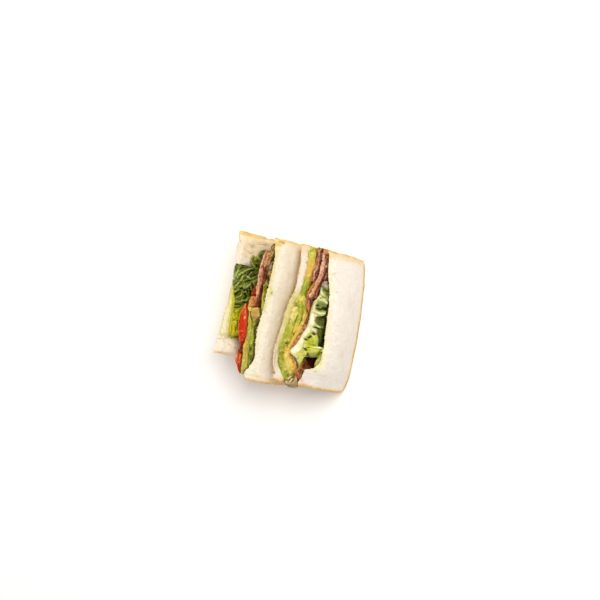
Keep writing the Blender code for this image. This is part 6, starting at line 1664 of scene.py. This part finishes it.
B_POCKETS = (   # hollows: place, radii, depth
    (25.6, -26.0, 2.9, 1.6, 3.4), (26.4, -22.4, 1.5, 1.6, 2.4), (22.0, -18.4, 0.9, 0.6, 1.6), (24.0, -12.9, 4.2, 1.7, 2.2), (27.8, -10.2, 3.4, 1.5, 6.5), (29.4, -12.6, 1.0, 2.4, 5.0),
    (20.8, -11.6, 1.8, 0.7, 3.0), (22.2, -9.0, 2.6, 1.2, 2.6), (24.3, 6.4, 3.6, 0.65, 3.6), (23.4, 11.8, 1.9, 0.9, 3.6), (20.8, 14.6, 1.2, 0.9, 3.2), (19.6, 15.9, 1.4, 0.8, 3.2), (17.6, 17.8, 1.8, 0.8, 3.0),
    (18.2, 25.4, 1.4, 0.7, 3.2), (19.4, 26.6, 1.1, 0.7, 3.2), (20.9, 24.0, 1.3, 0.6, 2.4), (16.6, 25.2, 0.6, 0.4, 1.2), (30.8, 26.8, 1.2, 1.8, 2.4), (21.4, 29.8, 0.8, 1.4, 3.0),
)


def make_lettuce_b(look):
    def warp(u, v):
        q = np.stack([u, v, 0 * u], 1)
        return u + 0.45 * noise(q, 2.8, 803) + 0.2 * noise(q, 1.1, 804), v + 0.4 * noise(q, 2.8, 805) + 0.2 * noise(q, 1.1, 806)

    def height(u, v):
        q = np.stack([u, v, 0 * u], 1)
        left, right = through(v, *RIB_B_L), through(v, *RIB_B_R)
        r, e = u - left, right - u
        a, b = warp(u, v)
        z = 44.9 + 0.5 * noise(q, 4.0, 801) + 0.16 * noise(q, 1.7, 802) - 1.8 * np.exp(-(r / 0.9) ** 2)
        z = z - 0.34 * np.maximum(u - 20.5, 0) * smooth(-3, -7, b)
        z = z + sum(k * stroke(a, b, pts, w, w1) for k, w, w1, pts in B_FOLDS)
        z = z - smooth(0.3, 1.6, r) * (sum(k * np.exp(-(np.abs((a - cu) / ru) ** 3 + np.abs((b - cv) / rv) ** 3)) for cu, cv, ru, rv, k in B_POCKETS))
        # the frill stands up as a small dome, the fold rolls over below it
        z = z + 1.8 * np.exp(-(((a - 23.0) / 3.8) ** 2 + ((b - 17.2) / 3.6) ** 2)) - 1.4 * np.exp(-(((a - 23.4) / 4.6) ** 2 + ((b - 21.6) / 0.8) ** 2)) * smooth(28.8, 27, u)
        z = z + 0.5 * np.sin(1.9 * (a - 23) + 0.8 * (b - 17)) * spots(a, b, (22.6, 17, 3.4, 3.4, 1.0))
        z = z - 3.4 * smooth(26.4, 30.8, v + 0.12 * (u - 25)) * smooth(20, 22, u) - 1.2 * smooth(30, 39, v) * smooth(20, 17, u)
        z = z - 4.0 * np.exp(-(np.maximum(e, 0) / 0.9) ** 2) * smooth(-5, -3, v) * smooth(22, 20, v)
        return np.clip(z, 24.0, 47.2)
    m = spread(RIB_B_L, RIB_B_R, height, du=0.28, dv=0.26, thick=0.65, frill=0.15, frill_size=1.4, seed=811)
    u, v = m.m["u"], m.m["v"]
    q = np.stack([u, v, 0 * u], 1)
    a, b = warp(u, v)
    rib_r = through(v, (-27, 20.6), (-20, 20.4), (-15, 19.6), (-9, 19.0), (-5, 20.0), (-2, 21.4), (3, 21.4), (8, 20.0), (12, 18.6), (16, 16.8), (20, 16.4), (24, 15.8), (28, 14.8), (31, 12.0), (34, 12))
    c = Coat(m, tone(172, 180, 92), 812, 0.3, 1.4, uv=(u, v))
    c.blotch(tone(206, 210, 136), 3.4, -0.1, 0.5, 0.6)
    c.blotch(tone(136, 146, 58), 2.6, 0.1, 0.6, 0.6)
    far = smooth(-4, -6, v)
    c.on(far * spots(a, b, (24, -12.9, 4.6, 1.9, 1.0)) * 0.9, tone(142, 146, 88))
    c.spot(tone(176, 180, 124), (24.6, -14.4, 2.6, 0.9, 0.8), (25, -21.6, 1.4, 1.4, 0.5))
    # dark spots in the pockets: painted shade
    c.spot(tone(44, 58, 0), (22.8, -9.1, 3.0, 1.4, 1.0), (20.8, -12.6, 1.6, 1.0, 0.7), (20.4, -24, 0.8, 2.0, 0.4))
    c.spot(tone(70, 84, 14), (25.4, -26.2, 2.4, 1.7, 0.9), (27.0, -23.0, 1.4, 2.2, 0.8), (28.2, -19.6, 0.8, 2.4, 0.6), (21.9, -18.4, 0.8, 0.5, 0.8), (24.8, -19.6, 0.9, 0.6, 0.5))
    # lighter along the folds' crests: painted light
    c.on(far * strokes(a, b, (1.0, 0.9, 0.7, [(20.4, -25.6), (21.4, -23.4), (22.4, -21.8), (24.8, -21.0)]), (1.0, 1.3, 0.8, [(19.4, -18.2), (22.0, -16.8), (25.4, -17.4), (28.2, -15.2)]),
                       (0.9, 0.7, 0.6, [(21.6, -22.4), (21.4, -20.0), (20.6, -17.6)])), tone(224, 224, 160))
    # near-white spots: painted highlights
    c.spot(tone(248, 244, 214), (21.8, -22.4, 1.2, 1.3, 0.9), (20.4, -19.6, 0.8, 1.4, 0.7), (27, -16.2, 1.4, 0.6, 0.6))
    # lighter along the folds' crests: painted light
    c.on(strokes(a, b, (1.0, 1.3, 1.0, [(17.8, -7.4), (21.4, -6.0), (25, -5.6), (28.4, -6.8)]), (1.0, 0.9, 0.6, [(21.3, -3.4), (21.0, 0), (22.2, 3.2), (24.6, 4.9), (28.4, 5.2)]),
                 (1.0, 1.4, 1.0, [(19.4, 5.0), (20.6, 8.4), (23.6, 9.2), (25.4, 11.0)])), tone(228, 228, 164))
    # near-white spots: painted highlights
    c.spot(tone(250, 248, 222), (21.2, 8.8, 1.6, 1.1, 0.8), (20.6, -4.0, 1.2, 1.0, 0.6), (22.6, -6.0, 1.6, 0.6, 0.5))
    # frill and fold: yellow-green
    lime = smooth(11.0, 13.4, b + 0.2 * (a - 22)) * smooth(17.0, 19.0, a + 0.1 * (b - 14)) * smooth(30, 27, b)
    c.on(0.95 * lime, tone(190, 192, 56))
    c.on(lime * smooth(0.1, 0.6, noise(q, 1.7, 813)) * 0.6, tone(222, 222, 110))
    c.on(lime * smooth(0.1, 0.6, noise(q, 2.2, 814)) * 0.6, tone(158, 164, 28))
    c.line(tone(232, 230, 150), (0.9, 0.6, 0.5, [(24.4, 11.8), (26.6, 14.4), (27.6, 17.4), (27.6, 20.6)]), (0.6, 0.8, 0.6, [(20.6, 13.2), (23.6, 14.4), (25, 17.0)]))
    c.spot(tone(206, 208, 26), (24, 23.9, 4.2, 1.5, 1.0), (21.0, 20.6, 2.4, 1.3, 0.8), (21.4, 26.4, 1.6, 1.6, 0.5))
    c.spot(tone(196, 194, 100), (24.6, 27.4, 3.4, 1.5, 0.85))
    # olive spots in the hollows and under the fold's edge: painted shade
    c.spot(tone(128, 134, 22), (30.4, 27.6, 1.8, 2.6, 0.9), (27.6, 30.2, 2.4, 1.0, 0.6), (17.6, 18.0, 1.2, 0.7, 0.7), (26.4, 20.9, 1.6, 0.5, 0.6))
    # light and near-white lines along the fold's rolled edge: painted highlight
    c.line(tone(236, 234, 150), (0.8, 0.5, 0.5, [(22.6, 22.1), (25, 22.6), (28, 22.7), (30.4, 22.2), (33, 21.2)]))
    c.line(tone(252, 250, 226), (0.3, 0.3, 0.35, [(23.8, 22.2), (26, 22.6), (28, 22.6)]), (0.9, 0.35, 0.45, [(28, 22.6), (30.4, 22.1), (33, 21.2)]))
    c.spot(tone(232, 226, 158), (24.4, 26.6, 2.4, 1.0, 0.7), (27.2, 25.6, 1.6, 0.8, 0.4))
    # dark lines along the fold's right and lower edges: painted shade
    c.line(tone(116, 118, 20), (0.8, 0.8, 0.9, [(31.6, 23.6), (30.6, 26.6), (28.8, 29.4)]), (0.8, 0.6, 0.7, [(28.6, 30.6), (25.4, 31.2), (22.2, 30.2)]))
    # left of the fold, and the torn tip
    c.spot(tone(222, 222, 128), (17.2, 23.6, 1.8, 3.2, 0.9), (18.2, 29, 2.2, 2.6, 0.8))
    c.spot(tone(224, 212, 108), (17.0, 34.4, 1.8, 3.4, 0.9))
    c.spot(tone(220, 208, 78), (14.6, 31.4, 2.2, 1.7, 1.0), (16.6, 29.4, 1.4, 1.4, 0.6))
    c.spot(tone(178, 172, 60), (18.2, 31.6, 0.8, 2.4, 0.6), (17.6, 37.2, 0.8, 1.4, 0.6))
    # the rib
    c.on(smooth(1.0, -0.9, u - rib_r) * smooth(38, 30, v + 0.5 * (u - 10)), tone(236, 228, 172))
    c.on(smooth(0.4, -2.4, u - rib_r) * smooth(34, 29, v) * smooth(-22, -14, v), tone(250, 243, 212))
    c.on(0.35 * smooth(0.15, 0.7, noise(q * np.array([1, 0.2, 1]), 1.1, 815)) * smooth(0.4, -1.4, u - rib_r), tone(214, 208, 134))
    c.spot(tone(252, 246, 222), (8.6, 30.0, 2.4, 1.4, 0.9), (12, 33.6, 1.6, 0.6, 0.6), (14.8, 36.6, 1.0, 1.2, 0.5))
    c.spot(tone(196, 196, 84), (18.6, -13.4, 0.9, 3.0, 0.7), (17.4, -9, 0.7, 2.2, 0.5), (16.2, -15.4, 0.9, 1.2, 0.5))
    # the deepest pockets darkened: painted shade
    dark = sum(0.9 * np.exp(-(np.abs((a - cu) / ru) ** 2.5 + np.abs((b - cv) / rv) ** 2.5)) for cu, cv, ru, rv, k in B_POCKETS if k > 2.9)
    c.on(dark, tone(36, 44, 6))
    top = c.done()
    # the rib's side, which runs down between bacon and frill
    side = filling([(-24, 20.8), (-20, 20.4), (-17, 18.8), (-14, 17.3), (-10, 16.9), (-5, 16.6), (0, 16.8), (5, 16.6), (10, 15.3), (15, 13.3), (20, 11.8), (25, 9.7), (29, 7.2)],
                   [(-24, 22.0), (-20, 21.8), (-17, 20.4), (-14, 19.0), (-10, 18.6), (-5, 18.5), (0, 18.8), (5, 18.6), (10, 17.2), (15, 15.4), (20, 13.8), (25, 11.8), (29, 9.0)],
                   [(-24, 43.4), (0, 44.0), (29, 43.6)], (0.56, 0.61), b_foot, low=6.0, width=2.0, r=0.6, sx=0.35, step=0.6, crown=0.0, ragged=0.2, seed=821, wave=(0.3, 13.0, 0.0))
    side.push(0.4 * noise(side.p, 5.0, 822) + 0.15 * noise(side.p, 1.8, 823))
    c = Coat(side, tone(238, 230, 178), 823)
    c.blotch(tone(208, 210, 130), 3.0, 0.0, 0.5, 0.8, (1, 1, 3))
    top.join(c.done())
    for k, (sh, line) in enumerate(((0.64, [(-24, 22.5), (0, 21.0), (12, 20.0), (28, 14.5)]), (0.68, [(-25, 24.0), (-6, 23.0)]))):
        h = hanging(line, [(-25, 41.5), (28, 42.0)], sh, b_foot, low=6.0, seed=830 + 7 * k, ends=(2, 3), wave=0.8)
        top.join(under_leaf(h, 835 + 5 * k, pale=0.6))
    top.write("lettuce_b_ribbed", look, "leaf_pale", "b_lettuce_ribbed")

    # the dark leaf that shows in the gaps, and the frilled leaves running down behind it
    L = [(-33.4, 22.0), (-31, 20.4), (-28, 20.6), (-24, 22), (-16, 22), (-8, 21), (0, 20.6), (8, 20.5), (16, 22), (22, 24)]
    R = [(-33.4, 24.6), (-31, 25.9), (-28, 26.8), (-24, 28.0), (-16, 29.8), (-8, 30.8), (0, 31.0), (8, 31.6), (16, 32.4), (22, 32.9)]

    def deep(u, v):
        q = np.stack([u, v, 0 * u], 1)
        z = lerp(41.5, 34.0, smooth(-27, -18, v)) + 1.2 * noise(q, 4.4, 841) + 0.4 * noise(q, 1.8, 842) - 3.5 * smooth(28.6, 31.4, u - 0.04 * v)
        return z + 1.6 * stroke(u, v, [(22.6, 4.6), (26, 4.4), (29.4, 5.6)], 1.1) - 1.8 * stroke(u, v, [(21, 6.8), (27, 6.6)], 0.8) + 1.0 * spots(u, v, (25, -0.4, 3.2, 2.6, 1.0), (28, 13, 2.4, 4.0, 1.0)) + 1.0 * spots(u, v, (24, -31, 2.4, 2.0, 1.0))
    m = spread(L, R, deep, du=0.38, dv=0.38, thick=0.6, frill=0.2, seed=843)
    u, v = m.m["u"], m.m["v"]
    q = np.stack([u, v, 0 * u], 1)
    c = Coat(m, tone(104, 114, 30), 844, 0.4, 2.0, uv=(u, v))
    c.blotch(tone(134, 140, 50), 3.6, 0.0, 0.5, 0.7)
    c.blotch(tone(70, 80, 14), 2.8, 0.1, 0.5, 0.6)
    c.spot(tone(134, 140, 52), (25.6, 1.0, 2.8, 2.2, 0.8), (28, 9.4, 1.6, 3.0, 0.5))
    # light line along the raised fold: painted light
    c.line(tone(170, 174, 96), (0.9, 1.0, 0.8, [(22.6, 3.6), (25.4, 4.8), (29.2, 5.2)]))
    # dark lines in the dips and along the drop by the bread, and the black spot: painted shade
    c.line(tone(30, 36, 4), (0.9, 0.8, 0.6, [(21, 6.7), (24, 6.9), (27.6, 6.3)]), (0.9, 1.0, 1.0, [(23, -4.6), (27, -4.8), (30, -5)]), (0.9, 1.3, 1.3, [(29.6, -14), (30.6, -4), (30.8, 6), (31.6, 14), (32.2, 21)]), (0.9, 1.2, 1.2, [(28, 20.4), (32, 20.4)]))
    c.spot(tone(22, 28, 4), (28.6, -10.2, 3.2, 2.6, 1.0))
    far = smooth(-26.8, -28.6, v)
    c.on(far, tone(176, 162, 138))
    c.on(far * smooth(0.0, 0.5, noise(q, 1.5, 845)), tone(120, 116, 92))
    c.on(far * spots(u, v, (25.6, -31.4, 0.9, 0.7, 0.9), (23.2, -33.4, 0.8, 0.5, 0.7)), tone(74, 44, 30))
    c.on(far * spots(u, v, (24.2, -29.4, 1.4, 0.9, 0.8), (22.4, -32, .8, 1, .5)), tone(206, 196, 176))
    frill = c.done()
    for k, (sh, line, ends) in enumerate(((0.74, [(-24, 23.5), (-6, 23.5), (18, 25)], (2, 3)), (0.82, [(-26, 25.5), (-6, 26.5), (19, 28)], (3, 2)), (0.91, [(-24, 27.5), (-6, 29.5), (20, 31)], (1, 4)))):
        h = hanging(line, [(-25, 38.0 - k), (18, 33.5 - k)], sh, b_foot, low=6.0, seed=850 + 7 * k, ends=ends, wave=1.4)
        frill.join(under_leaf(h, 855 + 5 * k, young=0.3))
    frill.write("lettuce_b_frilled", look, "leaf_green", "b_lettuce_frilled")

    # the rolled fold's inside and the lime strip beside the bread
    L = [(26.4, 30.6), (29, 30.4), (32, 30.0), (34, 29.4), (37, 29.0), (40.4, 29.6)]
    R = [(26.4, 33.0), (29, 33.2), (32, 32.8), (34, 32.4), (37, 31.8), (40.4, 30.6)]
    m = spread(L, R, lambda u, v: 41.0 + 0.9 * noise(np.stack([u, v, 0 * u], 1), 2.2, 861) - 0.35 * (v - 27), du=0.25, dv=0.25, thick=0.6, frill=0.4, seed=862)
    u, v = m.m["u"], m.m["v"]
    c = Coat(m, tone(216, 214, 110), 863, 0.4, 1.6, uv=(u, v))
    c.blotch(tone(190, 196, 56), 2.4, 0.0, 0.5, 0.8)
    c.blotch(tone(240, 236, 170), 2.2, 0.1, 0.5, 0.7)
    c.spot(tone(196, 200, 40), (30.2, 37, 1.0, 2.0, 0.8))
    c.spot(tone(140, 140, 40), (30.0, 30.6, 0.7, 1.6, 0.6))
    fold = c.done()
    for k, (sh, line, z, ends) in enumerate(((0.76, [(22.5, 23.5), (29.5, 23.5)], 38, (0, 1)), (0.85, [(22.5, 27.0), (30.0, 26.5)], 37.5, (0, 1)), (0.94, [(23, 31.0), (30, 30.5), (39, 29.8)], 38.5, (1, 2)))):
        h = hanging(line, [(25, z)], sh, b_foot, low=14.0, seed=870 + 7 * k, ends=ends, wave=1.0)
        fold.join(under_leaf(h, 875 + 5 * k, young=0.7))
    fold.write("lettuce_b_folded", look, "leaf_pale", "b_lettuce_folded")


def make_leaf_end(look):
    L = [(47.6, 9.0), (49.5, 6.8), (52, 5.4), (54.5, 5.8), (56.5, 7.2), (58.2, 9.2), (59.6, 12)]
    R = [(47.6, 14.5), (49.5, 16.6), (52, 17.6), (54.5, 18.4), (56.5, 19.2), (58.2, 20), (59.6, 18.4)]

    def height(u, v):
        q = np.stack([u, v, 0 * u], 1)
        r = np.hypot((u - 12.5) / 7.5, (v - 53) / 6.4)
        z = 38.4 - 4.0 * smooth(0.55, 1.05, r) + 0.8 * noise(q, 3.0, 881) + 0.35 * noise(q, 1.4, 882) - 3.5 * smooth(51.0, 48.4, v)
        return z - 2.2 * strokes(u, v, (1, 0.8, 0.6, [(6, 53.6), (8, 54.4), (9.6, 54.0)]), (0.9, 0.7, 0.6, [(7.6, 50.6), (9.4, 51.6), (10.4, 50)]), (0.8, 0.7, 0.6, [(13, 55.6), (14.6, 53)]), (0.9, 0.8, 0.7, [(12.6, 49.6), (14.4, 51.6)])) \
            + 1.4 * strokes(u, v, (1, 0.9, 0.7, [(9.6, 53.2), (12, 51.0), (14, 49.4)]), (1, 0.9, 0.6, [(8.2, 56.2), (11, 56.0), (12.8, 54.2)]))
    m = spread(L, R, height, du=0.25, dv=0.25, thick=0.6, frill=0.35, seed=883)
    u, v = m.m["u"], m.m["v"]
    q = np.stack([u, v, 0 * u], 1)
    c = Coat(m, tone(190, 158, 106), 884, 0.5, 1.6, uv=(u, v))
    c.blotch(tone(222, 192, 146), 2.2, 0.0, 0.5, 0.7)
    c.blotch(tone(136, 112, 62), 2.0, 0.0, 0.5, 0.7)
    c.spot(tone(166, 160, 78), (7.4, 51.2, 1.6, 2.2, 0.8), (9.2, 49.4, 1.6, 1.0, 0.7))
    c.spot(tone(96, 98, 40), (10.6, 58.2, 3.4, 1.3, 0.9), (6.8, 55.8, 1.4, 1.6, 0.8), (9.2, 50.2, 0.7, 0.7, 0.7), (14.4, 57.6, 1.6, 0.7, 0.5))
    c.spot(tone(150, 146, 118), (16.6, 56.6, 2.2, 2.0, 0.85), (13.2, 56.4, 1.0, 1.0, 0.5))
    # light lines along the raised creases: painted light
    c.line(tone(236, 214, 176), (0.9, 0.7, 0.5, [(14.4, 48.2), (12.6, 50.2), (10.4, 52.4), (9.0, 55.2)]), (0.8, 0.6, 0.5, [(9.4, 56.6), (11.6, 56.6), (13, 54.8), (12.8, 52.8)]), (0.6, 0.5, 0.4, [(7.4, 52.6), (9.6, 52.4)]))
    # dark lines along the dips: painted shade
    c.line(tone(58, 52, 22), (1.0, 0.6, 0.4, [(5.6, 53.4), (7.6, 54.4), (9.6, 54.2)]), (0.8, 0.5, 0.4, [(11.0, 53.6), (11.8, 51.8), (13.4, 50.6)]), (0.7, 0.5, 0.4, [(13.4, 55.6), (14.8, 53.2)]), (0.8, 0.6, 0.5, [(13.6, 48.8), (14.8, 50.8)]))
    end = c.done()
    for k, (sh, line, z) in enumerate(((0.16, [(48.5, 7.2), (54, 7.0), (58, 9.6)], 32), (0.36, [(48.5, 11.5), (54, 12.0), (58.6, 13.5)], 32.5), (0.54, [(49, 15.5), (54, 16.5), (58.4, 17.6)], 31))):
        h = hanging(line, [(53, z)], sh, b_foot, low=6.0, seed=890 + 7 * k, ends=(0, 4), wave=1.0)
        end.join(under_leaf(h, 895 + 5 * k, pale=0.25))
    end.write("leaf_b_end", look, "leaf_green", "b_leaf_end")


def make_leaves():
    look = leaf_look()
    make_lettuce_a(look)
    make_curl(look)
    make_dark_leaf(look)
    make_lettuce_b(look)
    make_leaf_end(look)


# =============================================================== the stage
def make_stage():
    scene = bpy.context.scene
    scene.view_settings.view_transform = "Standard"
    scene.view_settings.look = "None"

    mesh = bpy.data.meshes.new("floor")
    mesh.from_pydata([(-3, -3, 0), (3, -3, 0), (3, 3, 0), (-3, 3, 0)], [], [(0, 1, 2, 3)])
    floor = bpy.data.objects.new("floor", mesh)
    scene.collection.objects.link(floor)
    floor.data.materials.append(Look("floor", srgb(250, 249, 247), 0.9, 0.1, plain=True).done())

    world = bpy.data.worlds.new("studio")
    world.use_nodes = True
    world.node_tree.nodes["Background"].inputs["Color"].default_value = (1.0, 0.99, 0.975, 1.0)
    world.node_tree.nodes["Background"].inputs["Strength"].default_value = 0.70
    scene.world = world

    lamp = bpy.data.lights.new("window", "AREA")
    lamp.shape = "DISK"
    lamp.size = 1.1
    lamp.energy = 11.6
    lamp.color = (1.0, 0.985, 0.96)
    obj = bpy.data.objects.new("window", lamp)
    obj.location = (0.05, 0.55, 1.15)
    obj.rotation_euler = (-Vector(obj.location)).to_track_quat("-Z", "Y").to_euler()
    scene.collection.objects.link(obj)

    cam = bpy.data.cameras.new("camera")
    cam.sensor_width = 36.0
    cam.lens = 72.0
    cam.clip_start, cam.clip_end = 0.01, 20.0
    obj = bpy.data.objects.new("camera", cam)
    obj.location = tuple((np.array(EYE) - CENTRE) * MM)
    obj.rotation_euler = (0.0, 0.0, TURN)
    scene.collection.objects.link(obj)
    scene.camera = obj


make_stage()
make_bread()
make_avocado()
make_bacon()
make_tomato()
make_leaves()
